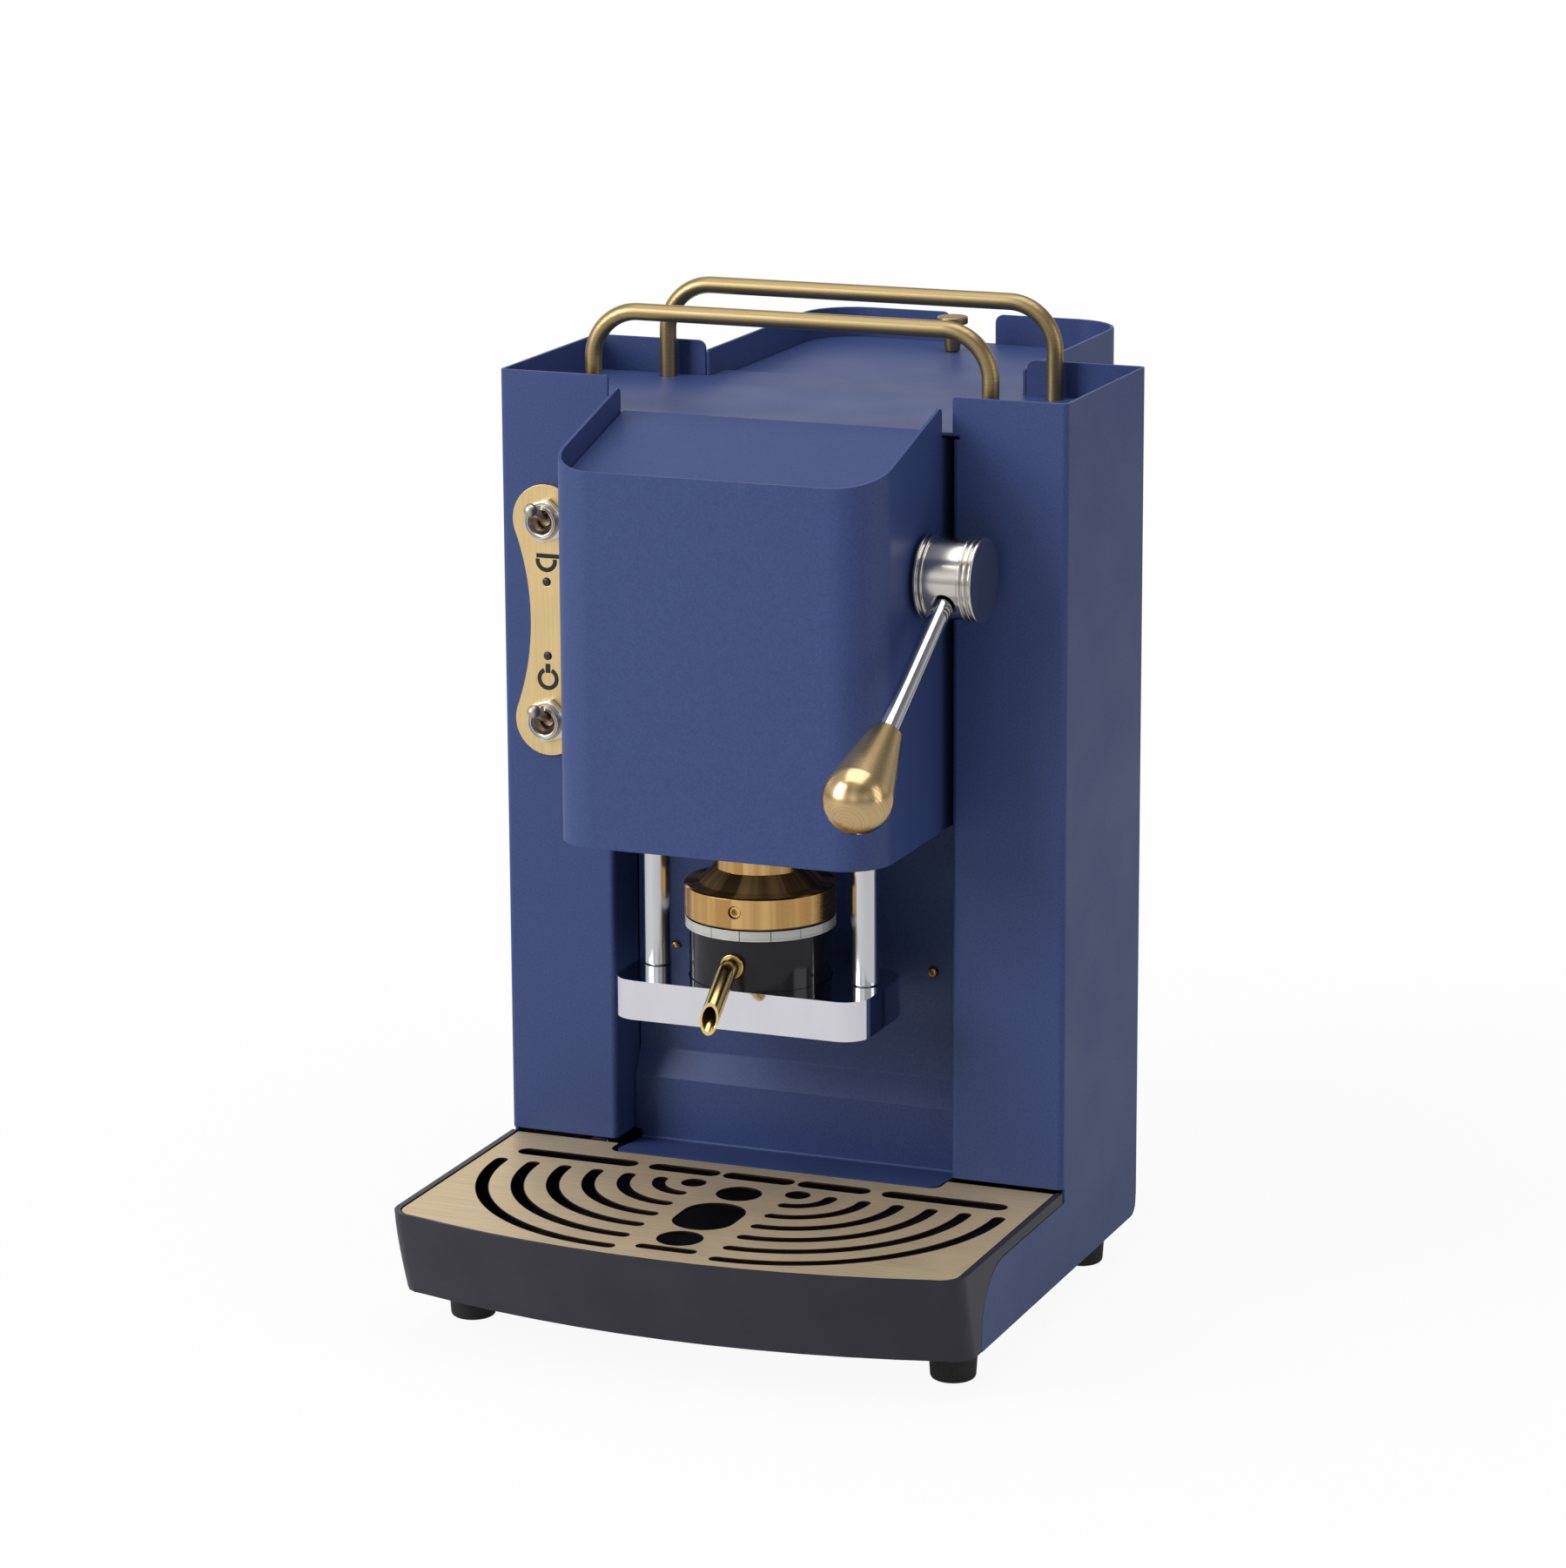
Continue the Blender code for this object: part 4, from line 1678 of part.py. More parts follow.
# Feet
def foot_places():
    """Plan of the four feet."""
    return [(x, y) for x in (-FOOT_X, FOOT_X) for y in (FRONT_FOOT_Y, REAR_FOOT_Y)]


def make_feet():
    top = FOOT_HEIGHT - SEAT
    seat = FOOT_COUNTERBORE_DEPTH
    nut_base = FOOT_HEIGHT + SHEET + SEAT
    tip = nut_base + M4_NUT
    foot = [
        (0, seat - M4_HEAD), (M4_HEAD_RADIUS, seat - M4_HEAD), (M4_HEAD_RADIUS, seat), (FOOT_COUNTERBORE, seat),
        (FOOT_COUNTERBORE, 0), (FOOT_BASE_RADIUS - FOOT_EDGE, 0), (FOOT_BASE_RADIUS, FOOT_EDGE),
        (FOOT_TOP_RADIUS, top), (M4_RADIUS, top), (M4_RADIUS, tip), (0, tip),
    ]
    names = ("front_left_foot", "rear_left_foot", "front_right_foot", "rear_right_foot")
    for name, (x, y) in zip(names, foot_places()):
        nut = plate(hexagon(x, y, M4_NUT_FLATS), [], nut_base, tip - SEAT)
        add(name, joined(turned(foot, FOOT_STEPS, (x, y, 0)), nut), RUBBER)


# Water circuit and electrics
def make_boiler():
    edge = BOILER_RADIUS - BOILER_EDGE
    profile = [
        (0, BOILER_BASE), (edge, BOILER_BASE), (BOILER_RADIUS, BOILER_BASE + BOILER_EDGE),
        (BOILER_RADIUS, BOILER_TOP - BOILER_EDGE), (edge, BOILER_TOP), (NIPPLE_RADIUS, BOILER_TOP),
        (NIPPLE_RADIUS, BOILER_TOP + NIPPLE), (0, BOILER_TOP + NIPPLE),
    ]
    boiler = turned(profile, MIDDLE_STEPS, (0, BOILER_Y, 0))
    corners = [
        Vector((0, BOILER_Y, BOILER_BASE + BOILER_EDGE)), Vector((0, BOILER_Y, OUTLET_Z)),
        Vector((0, OUTLET_Y, OUTLET_Z)),
    ]
    stations = routed(corners, TUBE_BEND)
    outlet = piped(stations, [TUBE_RADIUS] * len(stations), TUBE_SIDES)
    add("boiler", joined(boiler, outlet), COPPER)
    top = BOILER_BASE - SEAT
    back = REAR_FACE - SHEET - SEAT
    path = FoldedPath([(back, BRACKET_BASE, 0), (back, top, BEND), (BRACKET_FRONT, top, 0)])
    outline = rectangle(0, path.length, -BRACKET_HALF, BRACKET_HALF)
    holes = [circle(path.along(BOILER_Y, top), 0, TUBE_RADIUS + SEAT)]
    add("boiler_bracket", bent_sheet(path, outline, holes, lambda u, v, w: (w, u, v)), ZINC)


def make_pump():
    body = rod((0, PUMP_FRONT, PUMP_Z), BACK, PUMP_REAR - PUMP_FRONT, PUMP_RADIUS, MIDDLE_STEPS)
    coil = block(-COIL_HALF, COIL_HALF, COIL_FRONT, COIL_REAR, PUMP_Z - COIL_HALF, PUMP_Z + COIL_HALF)
    body = joined(body, coil)
    nipples = rod((0, PUMP_FRONT - NIPPLE, PUMP_Z), BACK, PUMP_REAR - PUMP_FRONT + 2 * NIPPLE, NIPPLE_RADIUS)
    add("pump", joined(body, nipples), BLACK_PLASTIC)
    top = PUMP_Z - COIL_HALF - SEAT
    foot = FOOT_HEIGHT + 2 * SHEET + SEAT
    path = FoldedPath([
        (PUMP_FOOT_HALF, foot, 0), (PUMP_HAT_HALF, foot, HOLLOW_BEND), (PUMP_HAT_HALF, top, BEND),
        (-PUMP_HAT_HALF, top, BEND), (-PUMP_HAT_HALF, foot, HOLLOW_BEND), (-PUMP_FOOT_HALF, foot, 0),
    ])
    outline = rectangle(0, path.length, COIL_FRONT, COIL_REAR)
    add("pump_bracket", bent_sheet(path, outline, [], lambda u, v, w: (u, w, v)), ZINC)


def make_tubes():
    inlet = PUMP_REAR + NIPPLE + SEAT
    valve_end = SHROUD_BASE + SHEET + SEAT - VALVE_REACH - SEAT
    suction = [
        Vector((0, inlet, PUMP_Z)), Vector((0, VALVE_Y, PUMP_Z)), Vector((0, VALVE_Y, valve_end)),
    ]
    stations = routed(suction, HOSE_BEND)
    add("suction_hose", piped(stations, [HOSE_RADIUS] * len(stations), TUBE_SIDES), WHITE_HOSE)
    outlet = PUMP_FRONT - NIPPLE - SEAT
    top = BOILER_TOP + NIPPLE + SEAT
    feed = [
        Vector((0, outlet, PUMP_Z)), Vector((0, RISER_Y, PUMP_Z)), Vector((RISER_X, RISER_Y, PUMP_Z)),
        Vector((RISER_X, RISER_Y, top + TUBE_BEND)), Vector((RISER_X, BOILER_Y, top + TUBE_BEND)),
        Vector((0, BOILER_Y, top + TUBE_BEND)), Vector((0, BOILER_Y, top)),
    ]
    stations = routed(feed, TUBE_BEND)
    add("feed_tube", piped(stations, [TUBE_RADIUS] * len(stations), TUBE_SIDES), COPPER)
    nipple_end = PORT_Z - PORT_RADIUS - 2 * SEAT
    brew = [
        Vector((0, PORT_Y, nipple_end)), Vector((0, PORT_Y, OUTLET_Z)), Vector((0, OUTLET_Y - SEAT, OUTLET_Z)),
    ]
    stations = routed(brew, HOSE_BEND)
    add("brew_hose", piped(stations, [HOSE_RADIUS] * len(stations), TUBE_SIDES), WHITE_HOSE)


def make_board():
    wall = -INSIDE_HALF + SEAT
    face = wall + BOARD_STANDOFF
    rear, top = BOARD_FRONT + BOARD_WIDTH, BOARD_BASE + BOARD_HEIGHT
    board = block(face, face + BOARD_THICKNESS, BOARD_FRONT, rear, BOARD_BASE, top)
    for y in (BOARD_FRONT + BOARD_POST_INSET, rear - BOARD_POST_INSET):
        for z in (BOARD_BASE + BOARD_POST_INSET, top - BOARD_POST_INSET):
            post = rod((wall, y, z), RIGHT, BOARD_STANDOFF + BOARD_THICKNESS / 2, BOARD_POST_RADIUS, TINY_STEPS)
            board = joined(board, post)
    middle = (BOARD_FRONT + rear) / 2
    depth, width, height = RELAY_SIZE
    for z in (BOARD_BASE + 2 * BOARD_POST_INSET, top - 2 * BOARD_POST_INSET - height):
        relay = block(face + BOARD_THICKNESS / 2, face + depth, middle - width / 2, middle + width / 2, z, z + height)
        board = joined(board, relay)
    add("control_board", board, BOARD_GREEN)


def make_mains_inlet():
    face = HOUSING_DEPTH + SEAT
    front = face - INLET_DEPTH

    def slab(size, near, far, radius):
        half_width, half_height = size[0] / 2, size[1] / 2
        outline = rectangle(
            INLET_X - half_width, INLET_X + half_width, INLET_Z - half_height, INLET_Z + half_height, radius,
            BEND_STEP,
        )
        return placed(plate(outline, [], near, far), lambda u, v, w: (u, w, v))

    outer = face + INLET_FLANGE_THICKNESS
    body = joined(
        slab(INLET_BODY, front, face + INLET_FLANGE_THICKNESS / 2, INLET_CORNER),
        slab(INLET_FLANGE, face, outer, INLET_CORNER),
    )
    bottom = outer - INLET_CAVITY_DEPTH
    body = cut(body, slab(INLET_CAVITY, bottom, outer + OVERRUN, INLET_CORNER))
    for offset, rise in ((-PIN_PITCH, 0), (0, SHEET), (PIN_PITCH, 0)):
        x, z = INLET_X + offset, INLET_Z + rise
        pin = block(
            x - PIN_SIZE[0] / 2, x + PIN_SIZE[0] / 2, bottom - SHEET, bottom + PIN_LENGTH,
            z - PIN_SIZE[1] / 2, z + PIN_SIZE[1] / 2,
        )
        body = joined(body, pin)
    add("mains_inlet", body, BLACK_PLASTIC)


def main():
    """Build every piece into an emptied scene."""
    for thing in list(bpy.data.objects):
        bpy.data.objects.remove(thing, do_unlink=True)
    machine = bpy.data.objects.new("machine", None)
    bpy.context.scene.collection.objects.link(machine)
    machine.location = (0, -FOOTPRINT_MIDDLE, 0)
    make_base_pan()
    make_feet()
    make_side_shells()
    make_recess_panel()
    make_rear_panel()
    make_top_deck()
    make_rails()
    make_hood()
    make_shroud()
    make_tank()
    make_control_plate()
    make_switches()
    make_lamps()
    make_group_plate()
    make_columns()
    make_pod_cup()
    make_spout()
    make_head()
    make_crosshead()
    make_springs()
    make_bridge()
    make_recess_screws()
    make_lever()
    make_hub_bush()
    make_tray()
    make_grille()
    make_boiler()
    make_pump()
    make_tubes()
    make_board()
    make_mains_inlet()


main()
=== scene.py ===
"""Looks of the lever espresso machine: finer pieces, finishes and the studio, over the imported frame.

Lengths are metres. Pieces are laid out like the solids, from the front plane of the pillars (y = 0) and
the table (z = 0), and move back onto the frame when they are finished.
"""

import json
import logging
import math
from dataclasses import dataclass
from enum import Enum
from typing import Callable, Iterable, Sequence

import bmesh
import bpy
from mathutils import Matrix, Vector

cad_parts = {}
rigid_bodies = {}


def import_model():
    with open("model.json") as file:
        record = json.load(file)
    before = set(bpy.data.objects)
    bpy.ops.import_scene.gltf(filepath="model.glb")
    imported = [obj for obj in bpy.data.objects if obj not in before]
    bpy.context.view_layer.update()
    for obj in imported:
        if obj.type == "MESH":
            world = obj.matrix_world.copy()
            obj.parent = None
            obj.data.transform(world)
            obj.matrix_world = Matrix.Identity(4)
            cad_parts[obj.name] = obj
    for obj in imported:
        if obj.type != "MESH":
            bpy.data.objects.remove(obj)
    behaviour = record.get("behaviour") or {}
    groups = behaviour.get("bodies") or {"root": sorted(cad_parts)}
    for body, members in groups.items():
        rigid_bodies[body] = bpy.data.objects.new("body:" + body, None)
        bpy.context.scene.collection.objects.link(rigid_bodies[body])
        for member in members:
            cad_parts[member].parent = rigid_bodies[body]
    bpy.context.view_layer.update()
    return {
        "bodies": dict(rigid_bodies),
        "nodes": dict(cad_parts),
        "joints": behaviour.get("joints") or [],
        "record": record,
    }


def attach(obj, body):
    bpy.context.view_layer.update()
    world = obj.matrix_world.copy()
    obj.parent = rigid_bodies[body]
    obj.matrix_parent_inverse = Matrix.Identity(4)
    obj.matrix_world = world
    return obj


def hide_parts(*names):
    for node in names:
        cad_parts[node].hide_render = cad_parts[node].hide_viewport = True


LOG = logging.getLogger("espresso_machine")
SETBACK = Vector((0.0, -0.0365253377, 0.0))
UP = Vector((0.0, 0.0, 1.0))
RIGHT = Vector((1.0, 0.0, 0.0))
BACK = Vector((0.0, 1.0, 0.0))
FORWARD = Vector((0.0, -1.0, 0.0))
QUARTER = math.pi / 2
HALF_TURN = math.pi
TURN = 2 * math.pi
WHITE = (1.0, 1.0, 1.0)
# Y of the group's axis, and of the lever's shaft over it.
AXIS_Y = -0.0185
# Room between two pieces that fit together.
FIT = 0.0003
# How far a cutter runs past what it cuts.
PAST = 0.001
# Usual roundings of a machined edge.
FINE, EDGE, SOFT = 0.0001, 0.0002, 0.0003

Colour = tuple[float, float, float]
Point = Sequence[float]
Socket = bpy.types.NodeSocket
Face = bmesh.types.BMFace


class Grain(Enum):
    """Way that the lines of a brushed or turned metal run."""

    ACROSS = (0.02, 1.0, 1.0)
    UPRIGHT = (1.0, 1.0, 0.02)
    AXIAL = "axial"


class Nodes:
    """Node tree under construction, with short ways to add what finishes and surroundings share."""

    def __init__(self, owner: bpy.types.ID, output: str) -> None:
        """Empty the owner's tree and give it an output node.

        Args:
            owner: the material or the world.
            output: type of the output node.
        """
        owner.use_nodes = True
        self.tree = owner.node_tree
        self.tree.nodes.clear()
        self.surface = self.node(output).inputs["Surface"]

    def node(self, kind: str, feeds: dict[str | int, object] | None = None, **settings: object) -> bpy.types.Node:
        """Add a node.

        Args:
            kind: the node's type, without its "ShaderNode" prefix.
            feeds: what its inputs take, by name or index.
            settings: attributes to set on it.

        Returns:
            The node.
        """
        made = self.tree.nodes.new("ShaderNode" + kind)
        for key, value in settings.items():
            setattr(made, key, value)
        for key, value in (feeds or {}).items():
            self.feed(made.inputs[key], value)
        return made

    def feed(self, target: Socket, value: object) -> None:
        """Link a socket to an input, or set a plain value on it, where a colour needs no alpha."""
        if isinstance(value, Socket):
            self.tree.links.new(value, target)
        else:
            target.default_value = (*value, 1.0) if target.type == "RGBA" else value

    def math(self, operation: str, *values: object) -> Socket:
        """Result of a math node."""
        return self.node("Math", dict(enumerate(values)), operation=operation).outputs[0]

    def vector(self, operation: str, *values: object, result: str = "Vector") -> Socket:
        """Result of a vector math node."""
        return self.node("VectorMath", dict(enumerate(values)), operation=operation).outputs[result]

    def between(self, value: Socket, low: float, high: float, near: float = 0.3, far: float = 0.7) -> Socket:
        """Map a noise value onto a range.

        Args:
            value: the noise.
            low: result where the noise is at its near value.
            high: result where it is at its far value.
            near: noise value mapped to low.
            far: noise value mapped to high.

        Returns:
            The mapped value's socket.
        """
        feeds = {"From Min": near, "From Max": far, "To Min": low, "To Max": high, "Value": value}
        return self.node("MapRange", feeds).outputs["Result"]

    def mix(self, factor: Socket, first: Socket, second: Socket) -> Socket:
        """Mix two shaders by a factor from 0 to 1."""
        return self.node("MixShader", {0: factor, 1: first, 2: second}).outputs[0]


class Recipe(Nodes):
    """Node tree of one material, placed by object coordinates."""

    def __init__(self, name: str) -> None:
        """Start a material of that name.

        Args:
            name: the material's name.
        """
        self.material = bpy.data.materials.new(name)
        super().__init__(self.material, "OutputMaterial")
        self.shader = self.node("BsdfPrincipled")
        self.feed(self.surface, self.shader.outputs["BSDF"])
        self.place = self.node("TexCoord").outputs["Object"]

    def finished(self, **values: object) -> bpy.types.Material:
        """Feed the shader's inputs, named with underscores for spaces, and hand over the material."""
        for key, value in values.items():
            self.feed(self.shader.inputs[key.replace("_", " ")], value)
        return self.material

    def noise(self, scale: float, detail: float = 3.0, stretch: Point = (1.0, 1.0, 1.0)) -> Socket:
        """Noise over the piece.

        Args:
            scale: patches per metre.
            detail: octaves.
            stretch: share of the scale along each axis, small where the grain runs.

        Returns:
            The noise value's socket.
        """
        place = self.node("Mapping", {"Scale": stretch, "Vector": self.place}).outputs["Vector"]
        return self.node("TexNoise", {"Scale": scale, "Detail": detail, "Vector": place}).outputs["Fac"]

    def line_noise(self, value: Socket, scale: float, detail: float = 4.0) -> Socket:
        """Noise along one value."""
        feeds = {"Scale": scale, "Detail": detail, "W": value}
        return self.node("TexNoise", feeds, noise_dimensions="1D").outputs["Fac"]

    def rings(self, axis: Point, scale: float, centre: Point | None = None) -> Socket:
        """Noise that changes along an axis and away from it, as turning marks do.

        Args:
            axis: the axis that the piece was turned about.
            scale: marks per metre.
            centre: a point on that axis, for marks on the piece's ends too.

        Returns:
            The noise value's socket.
        """
        value = self.vector("DOT_PRODUCT", self.place, axis, result="Value")
        if centre is not None:
            across = self.vector("CROSS_PRODUCT", self.vector("SUBTRACT", self.place, centre), axis)
            value = self.math("ADD", value, self.vector("LENGTH", across, result="Value"))
        return self.line_noise(value, scale)

    def painted_streak_noise(self, centre: Point, scale: float) -> Socket:
        """Noise that changes only round an upright axis through a centre, for painted highlight streaks like those of a
        turned face.
        """
        parts = self.node("SeparateXYZ", {0: self.vector("SUBTRACT", self.place, centre)}).outputs
        return self.line_noise(self.math("ARCTAN2", parts["X"], self.math("MULTIPLY", parts["Y"], -1.0)), scale)

    def blend(self, value: Socket, first: Colour, second: Colour, near: float = 0.3, far: float = 0.7) -> Socket:
        """Mix two colours by a noise value.

        Args:
            value: the noise.
            first: the colour where the noise is at its near value.
            second: the colour where it is at its far value.
            near: noise value that is all the first colour.
            far: noise value that is all the second colour.

        Returns:
            The colour's socket.
        """
        factor = self.between(value, 0.0, 1.0, near, far)
        return self.node("Mix", {6: first, 7: second, 0: factor}, data_type="RGBA").outputs[2]

    def relief(self, height: Socket, depth: float, strength: float) -> Socket:
        """Normal of a surface with a height map pressed into it, to a depth in metres."""
        feeds = {"Distance": depth, "Strength": strength, "Height": height}
        return self.node("Bump", feeds).outputs["Normal"]


@dataclass(frozen=True)
class PowderCoat:
    """Baked paint with a fine, even texture."""

    name: str
    colour: Colour
    pale: Colour
    roughness: float = 0.46
    speck: float = 1150.0
    cloud: float = 26.0
    depth: float = 0.00004
    gloss: float = 0.32
    slot: str = "blue_paint"

    def material(self) -> bpy.types.Material:
        """Build the material, with the paint's fine bumps and a faint cloud in its sheen.

        Returns:
            The material.
        """
        recipe = Recipe(self.name)
        grit = recipe.noise(self.speck)
        return recipe.finished(
            Base_Color=recipe.blend(grit, self.colour, self.pale, far=0.75),
            Roughness=recipe.between(recipe.noise(self.cloud, 2.0), self.roughness - 0.04, self.roughness + 0.05),
            Normal=recipe.relief(grit, self.depth, 0.6), Specular_IOR_Level=self.gloss,
        )


@dataclass(frozen=True)
class WorkedMetal:
    """Metal with the fine lines of a brush or a lathe."""

    name: str
    colour: Colour
    shade: Colour
    roughness: float
    grain: Grain
    axis: Point = (0.0, 0.0, 1.0)
    lines: float = 1400.0
    depth: float = 0.000008
    metal: float = 1.0
    centre: Point | None = None
    smear: float = 60.0
    spread: float = 0.06
    slot: str = "brass"

    def material(self) -> bpy.types.Material:
        """Build the material, with lines in its colour, gloss and surface.

        Returns:
            The material.
        """
        recipe = Recipe(self.name)
        if self.grain is Grain.AXIAL:
            marks = recipe.rings(self.axis, self.lines, self.centre)
        else:
            marks = recipe.noise(self.lines, 4.0, self.grain.value)
        gloss = recipe.between(marks, self.roughness - self.spread, self.roughness + self.spread)
        return recipe.finished(
            Base_Color=recipe.blend(marks, self.colour, self.shade),
            Roughness=recipe.math("ADD", gloss, recipe.between(recipe.noise(self.smear), -0.03, 0.04)),
            Normal=recipe.relief(marks, self.depth, 0.8), Metallic=self.metal,
        )


@dataclass(frozen=True)
class PaintedStreakMetal:
    """Turned metal with painted highlight streaks in its colour, pointing at an upright axis, that stand in for light
    caught by turning marks.
    """

    name: str
    colour: Colour
    shade: Colour
    roughness: float
    centre: Point
    streaks: float = 2.4
    metal: float = 0.65
    lines: float = 4200.0
    depth: float = 0.000008
    slot: str = "brass"

    def material(self) -> bpy.types.Material:
        """Build the material, with turning marks and broad painted highlight streaks across them.

        Returns:
            The material.
        """
        recipe = Recipe(self.name)
        marks = recipe.rings(UP, self.lines, self.centre)
        return recipe.finished(
            # Base colour: painted highlight streaks round the centre.
            Base_Color=recipe.blend(recipe.painted_streak_noise(self.centre, self.streaks), self.shade, self.colour, 0.42, 0.62),
            Roughness=recipe.between(marks, self.roughness - 0.06, self.roughness + 0.08),
            Normal=recipe.relief(marks, self.depth, 0.8), Metallic=self.metal,
        )


@dataclass(frozen=True)
class Plating:
    """Bright plated metal with faint wipe marks."""

    name: str
    colour: Colour
    roughness: float
    haze: float = 90.0
    slot: str = "chrome"

    def material(self) -> bpy.types.Material:
        """Build the material, glossy with a slight haze where it was wiped.

        Returns:
            The material.
        """
        recipe = Recipe(self.name)
        haze = recipe.noise(self.haze, 4.0, (1.0, 1.0, 0.4))
        return recipe.finished(
            Base_Color=recipe.blend(haze, self.colour, tuple(0.95 * part for part in self.colour)),
            Roughness=recipe.between(haze, self.roughness, self.roughness + 0.05), Metallic=1.0,
        )


@dataclass(frozen=True)
class Moulding:
    """Moulded plastic or rubber, with the fine grain of its mould."""

    name: str
    colour: Colour
    roughness: float
    speck: float = 3000.0
    depth: float = 0.00002
    gloss: float = 0.5
    clearness: float = 0.0
    cloud: float = 40.0
    paling: float = 1.25
    slot: str = "black_plastic"

    def material(self) -> bpy.types.Material:
        """Build the material, with mould grain, slight clouding and, where it is clear, transmission.

        Returns:
            The material.
        """
        recipe = Recipe(self.name)
        grit = recipe.noise(self.speck, 2.0)
        lighter = tuple(min(1.0, self.paling * part + 0.003) for part in self.colour)
        return recipe.finished(
            Base_Color=recipe.blend(recipe.noise(self.cloud), self.colour, lighter),
            Roughness=recipe.between(grit, self.roughness - 0.04, self.roughness + 0.06),
            Normal=recipe.relief(grit, self.depth, 0.5),
            Specular_IOR_Level=self.gloss, Transmission_Weight=self.clearness,
        )


Finish = PowderCoat | WorkedMetal | PaintedStreakMetal | Plating | Moulding


@dataclass(frozen=True)
class Palette:
    """The machine's finishes."""

    paint: PowderCoat = PowderCoat("blue_powder_coat", (0.031, 0.056, 0.172), (0.044, 0.074, 0.215))
    rail_brass: WorkedMetal = WorkedMetal("drawn_brass", (0.37, 0.275, 0.14), (0.31, 0.23, 0.11), 0.38, Grain.AXIAL)
    brass: WorkedMetal = WorkedMetal("screw_brass", (0.42, 0.28, 0.12), (0.32, 0.20, 0.08), 0.30, Grain.AXIAL)
    # Painted highlight streaks in the colour, round the group's axis.
    head_brass_painted_streaks: PaintedStreakMetal = PaintedStreakMetal(
        "turned_brass_painted_streaks", (0.76, 0.49, 0.20), (0.50, 0.285, 0.10), 0.24, (0.0, -0.055, 0.0), 3.4, 1.0
    )
    # Painted dark reflection of the hood with painted golden streaks, for the head's cone.
    cone_painted_reflection: PaintedStreakMetal = PaintedStreakMetal(
        "brass_painted_reflection", (0.62, 0.42, 0.19), (0.15, 0.09, 0.035), 0.32, (0.0, -0.055, 0.0)
    )
    spout_brass: Plating = Plating("spout_brass", (0.62, 0.47, 0.20), 0.15, slot="brass")
    knob_brass: WorkedMetal = WorkedMetal(
        "knob_brass", (0.70, 0.51, 0.27), (0.54, 0.375, 0.18), 0.22, Grain.AXIAL, (0.0, -0.8563, -0.5165), 2600.0,
        centre=(0.0719, -0.055, 0.2656)
    )
    sheet_brass: WorkedMetal = WorkedMetal(
        "brushed_brass", (0.82, 0.66, 0.42), (0.68, 0.54, 0.33), 0.52, Grain.ACROSS, depth=0.00004, metal=0.7
    )
    # Painted shade: near-black for the sides of the grille's openings and its edges.
    slot_wall_painted_shade: WorkedMetal = WorkedMetal("brass_painted_shade", (0.035, 0.026, 0.016), (0.02, 0.015, 0.01), 0.5, Grain.ACROSS)
    panel_brass: WorkedMetal = WorkedMetal(
        "upright_brass", (0.79, 0.60, 0.31), (0.66, 0.49, 0.235), 0.34, Grain.UPRIGHT
    )
    steel: WorkedMetal = WorkedMetal(
        "turned_steel", (0.80, 0.76, 0.70), (0.64, 0.61, 0.56), 0.20, Grain.AXIAL, (1.0, 0.0, 0.0), 2600.0,
        depth=0.000002, metal=0.9, centre=(0.0, -0.055, 0.2656)
    )
    zinc: WorkedMetal = WorkedMetal(
        "zinc_plate", (0.50, 0.50, 0.51), (0.38, 0.38, 0.40), 0.42, Grain.ACROSS, slot="zinc"
    )
    copper: WorkedMetal = WorkedMetal("drawn_copper", (0.74, 0.38, 0.24), (0.60, 0.28, 0.16), 0.33, Grain.AXIAL)
    chrome: Plating = Plating("bright_chrome", (0.82, 0.82, 0.87), 0.05)
    satin_chrome: Plating = Plating("satin_chrome", (0.71, 0.72, 0.74), 0.20)
    hub_steel: Plating = Plating("hub_steel", (0.68, 0.65, 0.60), 0.15, slot="steel")
    nickel: Plating = Plating("nickel_plate", (0.72, 0.70, 0.66), 0.17)
    # Painted reflection: darker, brownish nickel for the funnel, where brass is mirrored.
    nickel_painted_reflection: Plating = Plating("nickel_painted_reflection", (0.44, 0.38, 0.30), 0.28)
    # Chrome with a brownish tint painted in for the brass plate's reflection.
    bat_chrome_painted_reflection: Plating = Plating("bat_chrome_painted_reflection", (0.50, 0.43, 0.36), 0.34)
    rod_chrome: Plating = Plating("rod_chrome", (0.60, 0.60, 0.63), 0.05)
    black: Moulding = Moulding("black_moulding", (0.020, 0.020, 0.024), 0.42)
    tray_black: Moulding = Moulding("tray_moulding", (0.020, 0.020, 0.029), 0.42, gloss=0.32)
    # Also painted shade on the clear ring's band under the head's lip.
    cup_black: Moulding = Moulding(
        "polished_black", (0.009, 0.009, 0.013), 0.09, depth=0.0, gloss=0.3, slot="gloss_black"
    )
    ink: Moulding = Moulding("dark_print", (0.012, 0.009, 0.008), 0.75, depth=0.0)
    rubber: Moulding = Moulding("foot_rubber", (0.012, 0.012, 0.013), 0.72, 1500.0, 0.00004, slot="rubber")
    clear_ring: Moulding = Moulding(
        "clear_ring", (0.66, 0.66, 0.64), 0.12, depth=0.0, clearness=0.3, slot="clear_ring"
    )
    tank: Moulding = Moulding("tank_moulding", (0.72, 0.78, 0.82), 0.22, depth=0.0, clearness=0.7, paling=1.03)
    hose: Moulding = Moulding("pale_hose", (0.66, 0.66, 0.63), 0.4)
    board: Moulding = Moulding("circuit_board", (0.02, 0.09, 0.045), 0.38)
    lens: Moulding = Moulding("lamp_lens", (0.016, 0.012, 0.012), 0.3, depth=0.0, slot="lamp")


def added(name: str, data: bpy.types.ID) -> bpy.types.Object:
    """New object of the scene, with its data.

    Args:
        name: the object's name.
        data: its mesh, light or camera.

    Returns:
        The object.
    """
    thing = bpy.data.objects.new(name, data)
    bpy.context.scene.collection.objects.link(thing)
    return thing


def picked(items: Iterable[object], kind: type) -> list:
    """Items of one kind, such as the points among what an operator made."""
    return [item for item in items if isinstance(item, kind)]


